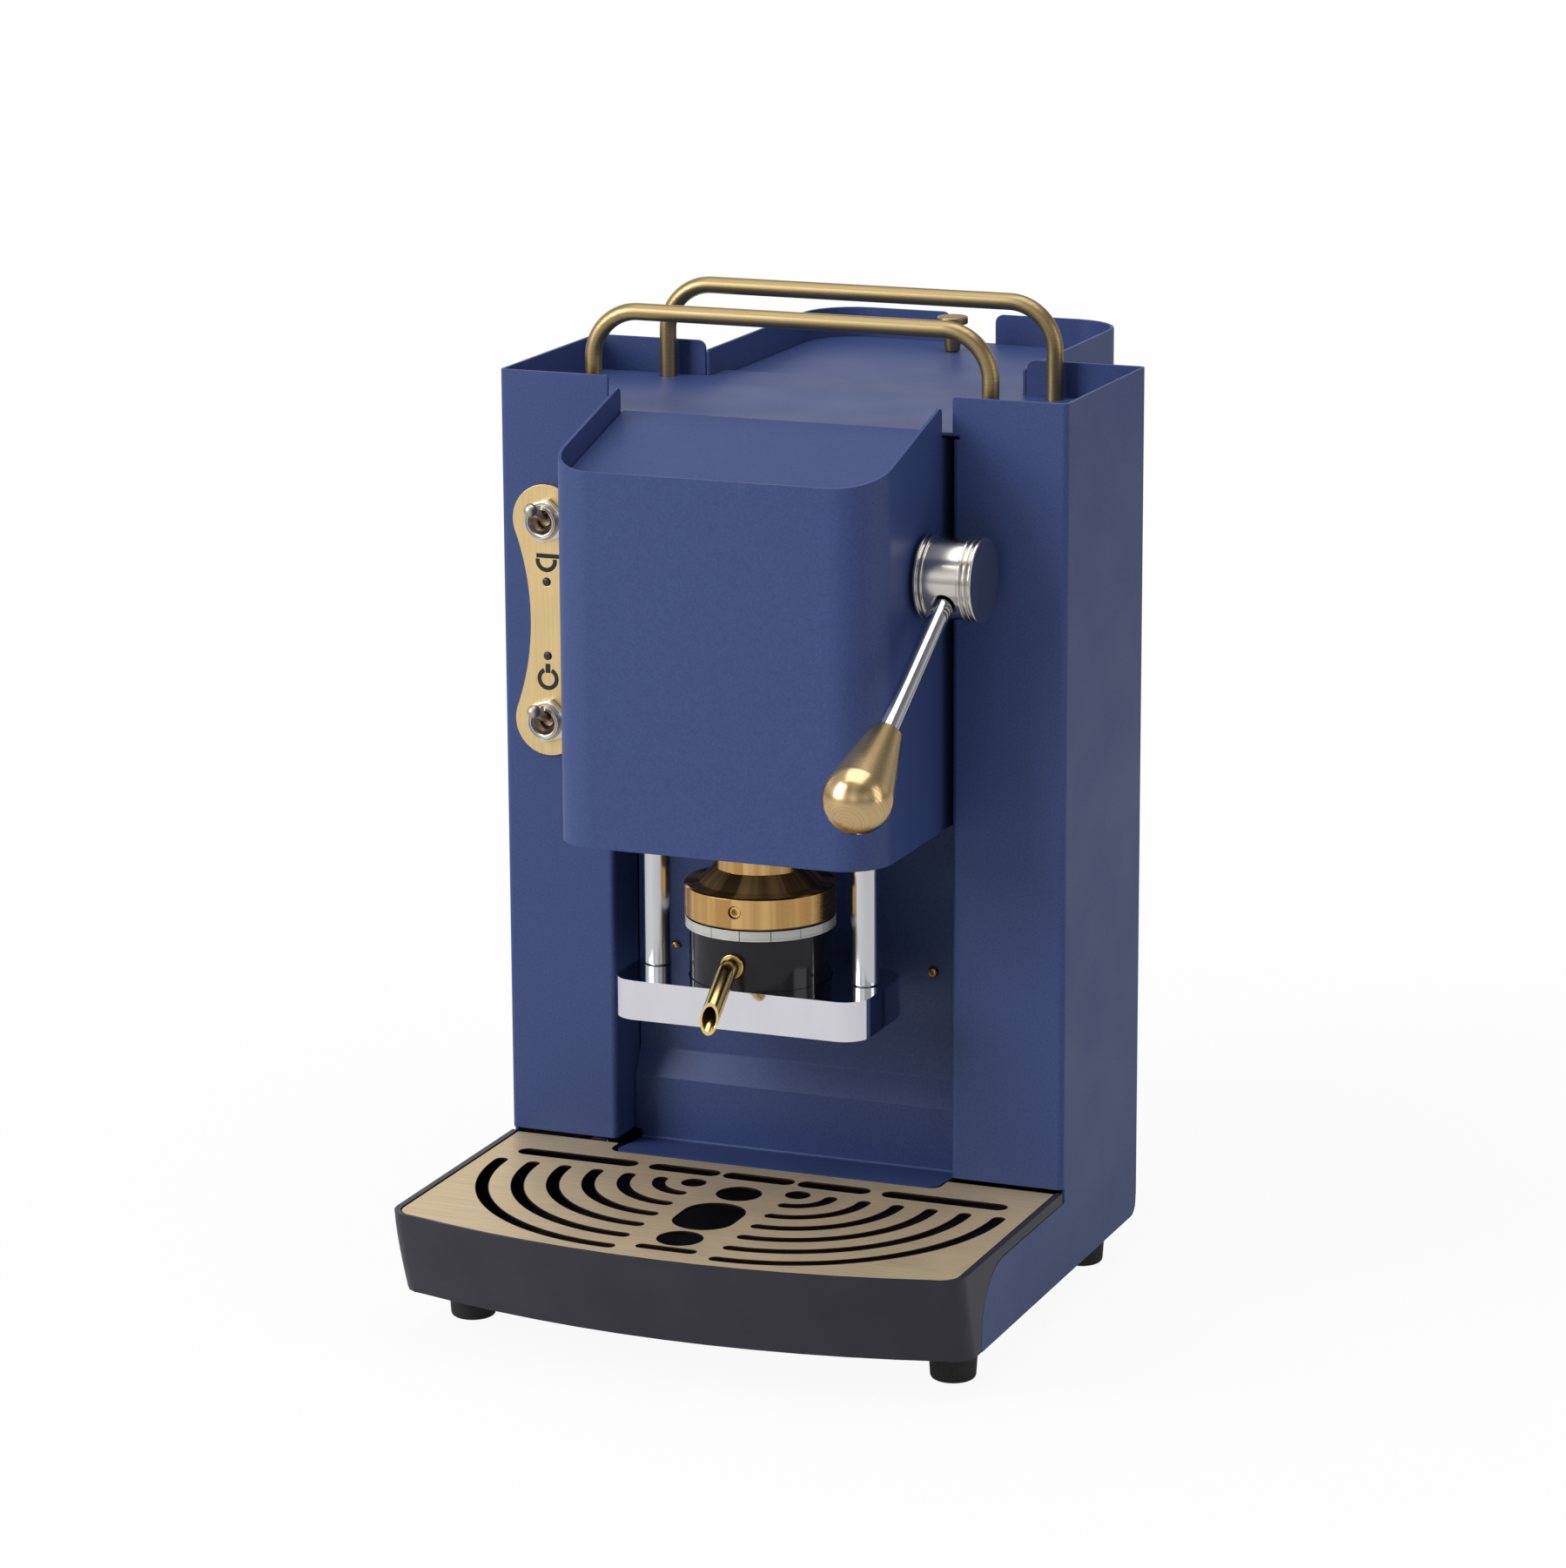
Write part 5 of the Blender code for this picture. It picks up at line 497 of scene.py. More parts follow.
class Pen:
    """Draws a flat outline on the XY plane, out of lines and arcs."""

    def __init__(self, u: float, v: float, rounding: float = 0.0) -> None:
        """Start the outline at a corner.

        Args:
            u: the corner's place across.
            v: the corner's place up.
            rounding: radius of an arc that replaces the corner.
        """
        self.shape = bmesh.new()
        self.tip = bmesh.ops.create_vert(self.shape, co=(u, v, 0.0))["vert"][0]
        self.rounded: list[tuple[bmesh.types.BMVert, float]] = [(self.tip, rounding)]

    def to(self, u: float, v: float, rounding: float = 0.0) -> "Pen":
        """Draw a line to a corner.

        Args:
            u: the corner's place across.
            v: the corner's place up.
            rounding: radius of an arc that replaces the corner.

        Returns:
            The pen itself.
        """
        self.tip = bmesh.ops.extrude_vert_indiv(self.shape, verts=[self.tip])["verts"][0]
        bmesh.ops.translate(self.shape, verts=[self.tip], vec=Vector((u, v, 0.0)) - self.tip.co)
        self.rounded.append((self.tip, rounding))
        return self

    def arc(self, u: float, v: float, angle: float, steps: int) -> "Pen":
        """Draw an arc about a centre, anticlockwise where the angle is positive.

        Args:
            u: the centre's place across.
            v: the centre's place up.
            angle: how far it turns.
            steps: facets along it.

        Returns:
            The pen itself.
        """
        made = bmesh.ops.spin(self.shape, geom=[self.tip], cent=(u, v, 0.0), axis=UP, angle=angle, steps=steps)
        self.tip = picked(made["geom_last"], bmesh.types.BMVert)[0]
        return self

    def wire(self, segments: int = 4) -> bmesh.types.BMesh:
        """Round the corners and hand over the outline as a wire.

        Args:
            segments: facets of each rounded corner.

        Returns:
            The outline.
        """
        bmesh.ops.remove_doubles(self.shape, verts=self.shape.verts, dist=0.0000005)
        for corner, radius in self.rounded:
            if radius and corner.is_valid:
                bmesh.ops.bevel(
                    self.shape, geom=[corner], offset=radius, offset_type="OFFSET", segments=segments,
                    profile=0.5, affect="VERTICES", material=-1,
                )
        return self.shape


def polygon(*corners: Point) -> Pen:
    """Pen that has drawn a closed outline through corners.

    Args:
        corners: each corner's place across and up, then its rounding where it has one.

    Returns:
        The pen.
    """
    pen = Pen(*corners[0])
    for corner in corners[1:]:
        pen.to(*corner)
    pen.shape.verts.ensure_lookup_table()
    pen.shape.edges.new((pen.tip, pen.rounded[0][0]))
    return pen


def oblong(left: float, right: float, low: float, high: float, rounding: float = 0.0) -> Pen:
    """Pen that has drawn a rectangle, with one radius at its corners."""
    return polygon(*[(u, v, rounding) for u, v in ((left, low), (right, low), (right, high), (left, high))])


def circle(u: float, v: float, radius: float, steps: int = 40) -> Pen:
    """Pen that has drawn a circle."""
    return Pen(u + radius, v).arc(u, v, TURN, steps)


def hexagon(u: float, v: float, flats: float) -> Pen:
    """Pen that has drawn a nut's hexagon, of a width over its flats."""
    return circle(u, v, flats / math.sqrt(3), 6)


def stadium(left: float, right: float, v: float, width: float, steps: int = 12) -> Pen:
    """Pen that has drawn a slot with round ends along u.

    Args:
        left: place of its left end.
        right: place of its right end.
        v: place of its middle line.
        width: its width.
        steps: facets of each end.

    Returns:
        The pen.
    """
    half = width / 2
    pen = Pen(left + half, v + half).arc(left + half, v, HALF_TURN, steps)
    return pen.to(right - half, v - half).arc(right - half, v, HALF_TURN, steps).to(left + half, v + half)


class Form:
    """Solid under construction, shaped with bmesh operators."""

    def __init__(self, shape: bmesh.types.BMesh | None = None) -> None:
        """Take a shape, or start with none.

        Args:
            shape: the shape to work on.
        """
        self.shape = shape or bmesh.new()
        self.rim: list[bmesh.types.BMEdge] = []
        self.way = UP.copy()

    @classmethod
    def slab(cls, pen: Pen, depth: float, low: float = 0.0, segments: int = 4) -> "Form":
        """Sheet or block with the pen's outline, from low upwards.

        Args:
            pen: the outline.
            depth: thickness.
            low: place of its lower face.
            segments: facets of each rounded corner.

        Returns:
            The form.
        """
        shape = pen.wire(segments)
        bmesh.ops.contextual_create(shape, geom=list(shape.edges))
        made = bmesh.ops.extrude_face_region(shape, geom=list(shape.faces), use_keep_orig=True)
        bmesh.ops.translate(shape, verts=picked(made["geom"], bmesh.types.BMVert), vec=(0.0, 0.0, depth))
        return cls(shape).moved((0.0, 0.0, low)).outward()

    @classmethod
    def turned(cls, pen: Pen, steps: int, place: Point = (0.0, 0.0, 0.0), way: Vector = UP) -> "Form":
        """Solid of revolution from a pen's outline of radius and height.

        Args:
            pen: the profile, as a wire from axis to axis, or closed round a ring.
            steps: facets round it.
            place: the point at height zero on its axis.
            way: direction of its axis.

        Returns:
            The form.
        """
        form = cls(pen.wire()).rotated(Matrix.Rotation(QUARTER, 3, "X"))
        shape = form.shape
        geometry = list(shape.verts) + list(shape.edges)
        bmesh.ops.spin(shape, geom=geometry, cent=(0, 0, 0), axis=UP, angle=TURN, steps=steps, use_merge=True)
        bmesh.ops.remove_doubles(shape, verts=shape.verts, dist=0.000001)
        return form.outward().settled().aimed(place, way)

    @classmethod
    def tube(cls, radius: float, sides: int, place: Point, way: Vector) -> "Form":
        """Open ring that is then drawn out straight or round bends.

        Args:
            radius: the tube's radius.
            sides: facets round it.
            place: the ring's middle.
            way: direction in which it is drawn out.

        Returns:
            The form.
        """
        form = cls()
        bmesh.ops.create_circle(form.shape, segments=sides, radius=radius)
        form.rim = list(form.shape.edges)
        form.way = way.copy()
        return form.aimed(place, way)

    @classmethod
    def rod(cls, radius: float, length: float, place: Point, way: Vector, sides: int = 40) -> "Form":
        """Cylinder from a point along a direction.

        Args:
            radius: its radius.
            length: its length.
            place: middle of its first end.
            way: direction of its axis.
            sides: facets round it.

        Returns:
            The form.
        """
        form = cls()
        bmesh.ops.create_cone(
            form.shape, cap_ends=True, segments=sides, radius1=radius, radius2=radius, depth=length,
            matrix=Matrix.Translation((0, 0, length / 2)),
        )
        return form.aimed(place, way)

    @classmethod
    def box(cls, low: Point, high: Point) -> "Form":
        """Block between two corners.

        Args:
            low: the corner with the least values.
            high: the corner opposite.

        Returns:
            The form.
        """
        form = cls()
        size = Vector(high) - Vector(low)
        middle = (Vector(high) + Vector(low)) / 2
        bmesh.ops.create_cube(form.shape, size=1.0, matrix=Matrix.Translation(middle) @ Matrix.Diagonal((*size, 1.0)))
        return form

    @classmethod
    def copied(cls, node: bpy.types.Object) -> "Form":
        """Merged copy of a node of the frame, in the layout's place.

        Args:
            node: the node to copy.

        Returns:
            The form.
        """
        form = cls()
        form.shape.from_mesh(node.data)
        for layer in list(form.shape.loops.layers.uv):
            form.shape.loops.layers.uv.remove(layer)
        return form.merged(0.000001, 0.4).moved(-SETBACK)

    def moved(self, way: Point) -> "Form":
        """Move the form and return it."""
        bmesh.ops.translate(self.shape, verts=self.shape.verts, vec=way)
        return self

    def rotated(self, turn: Matrix) -> "Form":
        """Rotate the form about the origin and return it."""
        bmesh.ops.rotate(self.shape, verts=self.shape.verts, cent=(0, 0, 0), matrix=turn)
        return self

    def aimed(self, place: Point, way: Vector) -> "Form":
        """Turn the form's upright towards a direction, then move it to a place."""
        return self.rotated(UP.rotation_difference(way).to_matrix()).moved(place)

    def faced(self, y: float) -> "Form":
        """Stand a slab that was drawn flat upright, so that it faces the user, with its back at y."""
        return self.rotated(Matrix.Rotation(QUARTER, 3, "X")).moved((0, y, 0))

    def outward(self) -> "Form":
        """Turn every face outwards and return the form."""
        bmesh.ops.recalc_face_normals(self.shape, faces=self.shape.faces)
        return self

    def settled(self) -> "Form":
        """Put the faces in an order that is the same in every run, which extruding and spinning don't.

        Returns:
            The form itself.
        """
        shape = self.shape
        shape.verts.index_update()
        corners = [[vert.index for vert in face.verts] for face in shape.faces]
        faces = sorted(face[first:] + face[:first] for face in corners for first in [face.index(min(face))])
        mesh = bpy.data.meshes.new("settled")
        mesh.from_pydata([vert.co for vert in shape.verts], [], faces)
        shape.clear()
        shape.from_mesh(mesh)
        bpy.data.meshes.remove(mesh)
        return self

    def merged(self, gap: float, turn: float) -> "Form":
        """Merge points that nearly meet and faces that are nearly level.

        Args:
            gap: the least distance of two points that stay apart.
            turn: the least angle between two faces that stay apart, in degrees.

        Returns:
            The form itself.
        """
        shape = self.shape
        bmesh.ops.remove_doubles(shape, verts=shape.verts, dist=gap)
        bmesh.ops.dissolve_limit(shape, angle_limit=math.radians(turn), verts=shape.verts, edges=shape.edges)
        return self

    def straight(self, length: float) -> "Form":
        """Draw the tube's open end straight on.

        Args:
            length: how far it is drawn out.

        Returns:
            The form itself.
        """
        made = bmesh.ops.extrude_edge_only(self.shape, edges=self.rim)["geom"]
        bmesh.ops.translate(self.shape, verts=picked(made, bmesh.types.BMVert), vec=self.way * length)
        self.rim = picked(made, bmesh.types.BMEdge)
        return self

    def bend(self, centre: Point, axis: Vector, angle: float, steps: int) -> "Form":
        """Draw the tube's open end round a bend.

        Args:
            centre: the bend's centre.
            axis: the axis that it turns about.
            angle: how far it turns.
            steps: facets along the bend.

        Returns:
            The form itself.
        """
        geometry = list({vert for edge in self.rim for vert in edge.verts}) + self.rim
        made = bmesh.ops.spin(self.shape, geom=geometry, cent=centre, axis=axis, angle=angle, steps=steps)
        self.rim = picked(made["geom_last"], bmesh.types.BMEdge)
        self.way = Matrix.Rotation(angle, 3, axis) @ self.way
        return self

    def capped(self) -> "Form":
        """Close the tube's ends and return the form."""
        bmesh.ops.edgeloop_fill(self.shape, edges=[edge for edge in self.shape.edges if edge.is_boundary])
        return self.outward().settled()

    def mesh(self, name: str) -> bpy.types.Mesh:
        """Hand the shape over as a mesh, which uses the form up.

        Args:
            name: the mesh's name.

        Returns:
            The mesh.
        """
        mesh = bpy.data.meshes.new(name)
        self.shape.to_mesh(mesh)
        self.shape.free()
        return mesh

    def joined(self, *others: "Form") -> "Form":
        """Take other forms into this one, as they stand, and return it."""
        for other in others:
            mesh = other.mesh("join")
            self.shape.from_mesh(mesh)
            bpy.data.meshes.remove(mesh)
        return self

    def cut(self, *cutters: "Form") -> "Form":
        """Take cutters that don't meet each other out of the form.

        Args:
            cutters: the forms to take out, which are used up.

        Returns:
            The form itself.
        """
        body, tool = [added("cut", form.mesh("cut")) for form in (self, Form().joined(*cutters))]
        knife = body.modifiers.new("knife", "BOOLEAN")
        knife.operation, knife.solver, knife.object = "DIFFERENCE", "EXACT", tool
        bpy.context.view_layer.update()
        rest = bpy.data.meshes.new_from_object(body.evaluated_get(bpy.context.evaluated_depsgraph_get()))
        self.shape = bmesh.new()
        self.shape.from_mesh(rest)
        meshes = (rest, body.data, tool.data)
        for thing in (body, tool):
            bpy.data.objects.remove(thing)
        for mesh in meshes:
            bpy.data.meshes.remove(mesh)
        return self.merged(0.0000005, 0.2)

    def softened(self, width: float, segments: int = 2, sharper: float = 40.0, shortest: float = 0.00002) -> "Form":
        """Round the edges that turn more than an angle.

        Args:
            width: how far the rounding reaches from an edge.
            segments: facets across it.
            sharper: the least turn, in degrees.
            shortest: length of the shortest edge that is rounded.

        Returns:
            The form itself.
        """
        limit = math.radians(sharper)
        edges = [
            edge for edge in self.shape.edges
            if edge.is_manifold and edge.calc_face_angle(0.0) > limit and edge.calc_length() > shortest
        ]
        bmesh.ops.bevel(
            self.shape, geom=edges, offset=width, offset_type="OFFSET", segments=segments, profile=0.5,
            affect="EDGES", clamp_overlap=True, material=-1,
        )
        return self


@dataclass(frozen=True)
class Accent:
    """Second finish of a piece, on the faces that a test picks."""

    finish: Finish
    picks: Callable[[Face], bool]


class Workshop:
    """Keeps each finish's material, and dresses the frame's nodes."""

    smooth: float = math.radians(35)

    def __init__(self, frame: dict) -> None:
        """Take the loaded frame.

        Args:
            frame: the frame as it was loaded.
        """
        self.frame = frame
        self.palette = Palette()
        self.made: dict[str, bpy.types.Material] = {}

    def material(self, finish: Finish) -> bpy.types.Material:
        """Material of a finish, built once."""
        if finish.name not in self.made:
            self.made[finish.name] = finish.material()
        return self.made[finish.name]

    def dress(self, finish: Finish, *nodes: str) -> None:
        """Give nodes of the frame a finish in place of their plain one."""
        for node in nodes:
            for slot in self.frame["nodes"][node].material_slots:
                slot.material = self.material(finish)

    def copy(self, node: str, edge: float, segments: int = 2) -> Form:
        """Copy of a node of the frame, with its sharp edges rounded."""
        return Form.copied(self.frame["nodes"][node]).softened(edge, segments)

    def place(
        self, name: str, node: str, form: Form, finish: Finish, body: str = "housing", accent: Accent | None = None
    ) -> None:
        """Finish a piece at the origin: its mesh and shading, its material, its body and the solid it stands for.

        Args:
            name: the piece's name.
            node: the solid that it replaces, or nothing for a print, which is added and needs no weighted normals.
            form: its form, which is used up.
            finish: its finish.
            body: the body that it rides on.
            accent: the finish of some of its faces.
        """
        if accent:
            form.shape.normal_update()
            for face in form.shape.faces:
                face.material_index = int(accent.picks(face))
        mesh = form.moved(SETBACK).mesh(name)
        for part in (finish, accent.finish) if accent else (finish,):
            mesh.materials.append(self.material(part))
        mesh.shade_smooth()
        mesh.set_sharp_from_angle(angle=self.smooth)
        thing = added(name, mesh)
        if node:
            thing.modifiers.new("shading", "WEIGHTED_NORMAL").keep_sharp = True
        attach(thing, body)
        if node:
            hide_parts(node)
        LOG.info("%s: %d faces on %s", name, len(mesh.polygons), body)


@dataclass
class Interior:
    """Pieces inside the housing, which keep their solids' shapes."""

    def build(self, shop: Workshop) -> None:
        """Give each inner piece its finish.

        Args:
            shop: the workshop that makes the pieces.
        """
        palette = shop.palette
        shop.dress(
            palette.steel, "lever_shaft", "press_cam", "crosshead", "follower_pin", "shower_screen", "shaft_bridge",
            "left_return_spring", "right_return_spring",
        )
        shop.dress(palette.zinc, "boiler_bracket", "pump_bracket")
        shop.dress(palette.copper, "boiler", "feed_tube")
        shop.dress(palette.black, "tank_valve", "pump", "mains_inlet")
        shop.dress(palette.tank, "water_tank")
        shop.dress(palette.hose, "suction_hose", "brew_hose")
        shop.dress(palette.board, "control_board")
        LOG.info("interior dressed")


@dataclass
class SheetHousing:
    """Bent sheets of the housing, the hood and the shroud, with their sheared edges rounded."""

    edge: float = 0.00022
    sheets: tuple[str, ...] = (
        "left_side_shell", "right_side_shell", "recess_panel", "rear_panel", "top_deck", "hood_cover", "hood_lid",
        "tank_shroud", "tank_shelf",
    )
    screwed: str = "rear_panel"
    rear: float = 0.0829

    def screw(self, face: Face) -> bool:
        """Whether a face of the rear panel belongs to the head of a screw that holds it."""
        return face.calc_center_median().y > self.rear

    def build(self, shop: Workshop) -> None:
        """Copy each sheet, soften its edges and finish it.

        Args:
            shop: the workshop that makes the pieces.
        """
        paint, zinc = shop.palette.paint, shop.palette.zinc
        for node in self.sheets:
            heads = Accent(zinc, self.screw) if node == self.screwed else None
            shop.place(node + "_sheet", node, shop.copy(node, self.edge), paint, accent=heads)
        shop.place("tank_lid_sheet", "tank_lid", shop.copy("tank_lid", self.edge), paint, "lid")
        shop.place("base_pan_sheet", "base_pan", shop.copy("base_pan", self.edge), zinc)


@dataclass
class CupRails:
    """Two bent rails that stand in the deck."""

    radius: float = 0.003
    reach: float = 0.0736
    height: float = 0.34519
    bend: float = 0.017
    foot: float = 0.301
    front: float = 0.0105
    rear: float = 0.0765
    nut_flats: float = 0.009
    nut: float = 0.005
    under_deck: float = 0.310
    sides: int = 32
    steps: int = 18

    def rail(self, y: float) -> Form:
        """Rail whose feet stand at y, with its nuts under the deck.

        Args:
            y: place of its feet.

        Returns:
            The form.
        """
        low = self.height - self.bend
        inner = self.reach - self.bend
        tube = Form.tube(self.radius, self.sides, (-self.reach, y, self.foot), UP).straight(low - self.foot)
        tube.bend((-inner, y, low), BACK, QUARTER, self.steps).straight(2 * inner)
        tube.bend((inner, y, low), BACK, QUARTER, self.steps).straight(low - self.foot).capped()
        for x in (-self.reach, self.reach):
            tube.joined(Form.slab(hexagon(x, y, self.nut_flats), self.nut, self.under_deck - self.nut))
        return tube

    def build(self, shop: Workshop) -> None:
        """Make both rails."""
        for node, y in (("front_rail", self.front), ("rear_rail", self.rear)):
            shop.place(node + "_bar", node, self.rail(y), shop.palette.rail_brass)


@dataclass
class ControlPanel:
    """Brass plate with two toggle switches, their lamps and symbols."""

    x: float = -0.0874
    brew_z: float = 0.2716
    power_z: float = 0.1998
    lobe: float = 0.0127
    waist: float = 0.00635
    sheet: float = 0.0012
    brew_lamp_z: float = 0.2496
    power_lamp_z: float = 0.2230
    lamp: float = 0.0014
    lamp_depth: float = 0.004
    bushing: float = 0.00585
    mouth: float = 0.0047
    socket: float = 0.0027
    front: float = 0.0066
    nut_flats: float = 0.014
    nut: float = 0.0024
    nut_turn: float = 0.30
    chamfer: tuple[float, float] = (0.0066, 0.0090)
    body_width: float = 0.013
    body_depth: float = 0.019
    pivot_y: float = -0.0010
    tilt: float = math.radians(24)
    bat_length: float = 0.0165
    bat_tip: float = 0.0025
    stroke: float = 0.00155
    ink: float = 0.00005
    symbol: float = 0.00410
    cup_base: float = 0.0185
    cup_bar: float = 0.0127
    power_middle: float = 0.0082
    power_gap: float = math.radians(25)
    cup_rise: float = 0.0006
    cup_bar_ends: tuple[float, float] = (-0.0038, 0.0058)
    power_bar: tuple[float, float] = (0.0021, 0.0054)
    power_bar_weight: float = 0.6
    nut_bevel: float = 0.0012
    socket_depth: float = 0.0027
    socket_rise: float = 0.0012
    flare: float = 0.0006
    groove: tuple[Point, ...] = (
        (0.00075, 0.0, 0.00005), (0.00068, 0.0003, 0.0), (0.00055, 0.0003, 0.0), (0.00048, 0.0, 0.00005),
    )
    shank: float = 0.001
    key: float = 0.0009
    key_depth: float = 0.0016
    key_span: tuple[float, float] = (0.0045, 0.0064)
    bat_root: float = 0.0024
    root_sweep: float = math.radians(147)
    bat_waist: Point = (0.00155, 0.0062, 0.002)
    bat_shoulder: Point = (0.0024, 0.0012, 0.004)
    tip_sweep: float = math.radians(78)
    lens_rim: float = 0.0004
    lens_rounding: float = 0.00035
    lens_crown: float = 0.00055

    def outline(self) -> Pen:
        """Hourglass outline of the plate.

        Returns:
            The pen.
        """
        x, lobe, waist = self.x, self.lobe, self.waist
        rise = (self.brew_z - self.power_z) / 2
        middle = (self.brew_z + self.power_z) / 2
        reach = (rise ** 2 + waist ** 2 - lobe ** 2) / 2 / (lobe - waist) + waist
        spread = math.atan2(rise, reach)
        turn = HALF_TURN + 2 * spread
        pen = Pen(x + lobe * math.cos(spread), middle + rise - lobe * math.sin(spread))
        pen.arc(x, middle + rise, turn, 48).arc(x - reach, middle, -2 * spread, 24)
        return pen.arc(x, middle - rise, turn, 48).arc(x + reach, middle, -2 * spread, 24)

    def plate(self) -> Form:
        """Plate with its holes.

        Returns:
            The form.
        """
        form = Form.slab(self.outline(), self.sheet)
        holes = [(z, self.bushing + FIT) for z in (self.brew_z, self.power_z)]
        holes += [(z, self.lamp + FIT / 2) for z in (self.brew_lamp_z, self.power_lamp_z)]
        form.cut(*[Form.slab(circle(self.x, z, radius), 3 * self.sheet, -self.sheet) for z, radius in holes])
        return form.softened(0.00012).faced(-FIT)

    def printed(self, *pens: Pen) -> Form:
        """Thin dark print of outlines on the plate's face."""
        return Form().joined(*[Form.slab(pen, self.ink).faced(-FIT - self.sheet) for pen in pens])

    def cup_symbol(self) -> Form:
        """Cup: a bar over a bowl.

        Returns:
            The form.
        """
        x, outer, inner, half = self.x, self.symbol, self.symbol - self.stroke, self.stroke / 2
        bar = self.brew_z - self.cup_bar
        middle = self.brew_z - self.cup_base + outer
        top = middle + self.cup_rise
        bowl = Pen(x - outer, top).to(x - outer, middle).arc(x, middle, HALF_TURN, 28)
        bowl.to(x + outer, top).to(x + inner, top).to(x + inner, middle)
        bowl.arc(x, middle, -HALF_TURN, 28).to(x - inner, top).to(x - outer, top)
        left, right = self.cup_bar_ends
        return self.printed(bowl, oblong(x + left, x + right, bar - half, bar + half))

    def power_symbol(self) -> Form:
        """Ring open at its top, with a bar in the gap.

        Returns:
            The form.
        """
        x, outer, inner, half = self.x, self.symbol, self.symbol - self.stroke, self.power_bar_weight * self.stroke
        middle = self.power_lamp_z - self.power_middle
        start, end = QUARTER + self.power_gap, QUARTER - self.power_gap
        sweep = TURN - 2 * self.power_gap
        first = (x + outer * math.cos(start), middle + outer * math.sin(start))
        ring = Pen(*first).arc(x, middle, sweep, 40)
        ring.to(x + inner * math.cos(end), middle + inner * math.sin(end)).arc(x, middle, -sweep, 40).to(*first)
        low, high = self.power_bar
        return self.printed(ring, oblong(x - half, x + half, middle + low, middle + high))

    def nut_form(self, z: float) -> Form:
        """Chamfered hexagon nut on the plate.

        Args:
            z: height of the switch.

        Returns:
            The form.
        """
        nut = self.nut
        near, far = self.chamfer
        cone = polygon((near, nut), (far, nut - self.nut_bevel), (far, 2 * nut), (near, 2 * nut))
        hole = Form.rod(self.bushing - EDGE, 3 * nut, (0, 0, -nut), UP)
        form = Form.slab(hexagon(0, 0, self.nut_flats), nut).cut(Form.turned(cone, 60), hole).softened(FINE)
        form.rotated(Matrix.Rotation(self.nut_turn, 3, "Z"))
        return form.aimed((self.x, -FIT - self.sheet - FIT, z), FORWARD)

    def bushing_form(self, z: float) -> Form:
        """Bushing with a keyway and a funnel for the bat, on the switch's block.

        Args:
            z: height of the switch.

        Returns:
            The form.
        """
        x, front, mouth, bushing, half = self.x, self.front, self.mouth, self.bushing, self.body_width / 2
        rear = self.sheet + FIT
        floor = -self.pivot_y - self.socket_depth
        pen = Pen(0, floor).to(self.socket, floor).to(self.socket, -self.pivot_y + self.socket_rise, SOFT)
        pen.to(mouth - self.flare, front - self.flare, SOFT).to(mouth, front, 0.00015)
        for inset, depth, rounding in self.groove:
            pen.to(bushing - inset, front - depth, rounding)
        pen.to(bushing, front, EDGE).to(bushing, -rear - self.shank).to(0, -rear - self.shank)
        key, (low, high) = self.key, self.key_span
        keyway = Form.box((x - key, -front - PAST, z + low), (x + key, -front + self.key_depth, z + high))
        block = Form.box((x - half, rear, z - half), (x + half, rear + self.body_depth, z + half))
        return Form.turned(pen, 56, (x, 0, z), FORWARD).cut(keyway).joined(block.softened(0.0004))

    def funnel(self, face: Face) -> bool:
        """Whether a face of a bushing lies in the funnel that the bat rocks in, which gets painted reflection in
        darker, brownish nickel.

        Args:
            face: the face.

        Returns:
            Whether it lies there.
        """
        middle = face.calc_center_median()
        reach = math.hypot(middle.x - self.x, min((middle.z - z for z in (self.brew_z, self.power_z)), key=abs))
        return reach < self.mouth - 0.0003 and middle.y < self.sheet

    def bat_form(self, z: float) -> Form:
        """Bat that widens to a round tip, tilted up.

        Args:
            z: height of the switch.

        Returns:
            The form.
        """
        length, tip = self.bat_length, self.bat_tip
        shoulder, drop, rounding = self.bat_shoulder
        pen = Pen(0, -self.bat_root).arc(0, 0, self.root_sweep, 16).to(*self.bat_waist)
        pen.to(shoulder, length - tip - drop, rounding)
        pen.to(tip, length - tip).arc(0, length - tip, self.tip_sweep, 12).to(0, length)
        way = Vector((0, -math.cos(self.tilt), math.sin(self.tilt)))
        return Form.turned(pen, 40, (self.x, self.pivot_y, z), way)

    def lamp_form(self, z: float) -> Form:
        """Small domed lens.

        Args:
            z: height of the lamp.

        Returns:
            The form.
        """
        face = FIT + self.sheet
        pen = Pen(0, -self.lamp_depth + face).to(self.lamp, -self.lamp_depth + face)
        pen.to(self.lamp, face + self.lens_rim, self.lens_rounding).to(0, face + self.lens_crown)
        return Form.turned(pen, 32, (self.x, 0, z), FORWARD)

    def build(self, shop: Workshop) -> None:
        """Make the plate, its symbols, the switches and the lamps.

        Args:
            shop: the workshop that makes the pieces.
        """
        palette = shop.palette
        shop.place("control_plate_face", "control_plate", self.plate(), palette.panel_brass)
        shop.place("cup_symbol", "", self.cup_symbol(), palette.ink)
        shop.place("power_symbol", "", self.power_symbol(), palette.ink)
        # Painted reflection: the funnel gets darker, brownish nickel.
        inside = Accent(palette.nickel_painted_reflection, self.funnel)
        for name, z, lamp_z in (("brew", self.brew_z, self.brew_lamp_z), ("power", self.power_z, self.power_lamp_z)):
            switch = self.bushing_form(z).joined(self.nut_form(z))
            shop.place(name + "_switch_bushing", name + "_switch_body", switch, palette.nickel, accent=inside)
            # The bat's finish carries a brownish painted reflection of the brass plate.
            shop.place(name + "_bat", name + "_switch_bat", self.bat_form(z), palette.bat_chrome_painted_reflection, name + "_toggle")
            shop.place(name + "_lens", name + "_lamp", self.lamp_form(lamp_z), palette.lens)


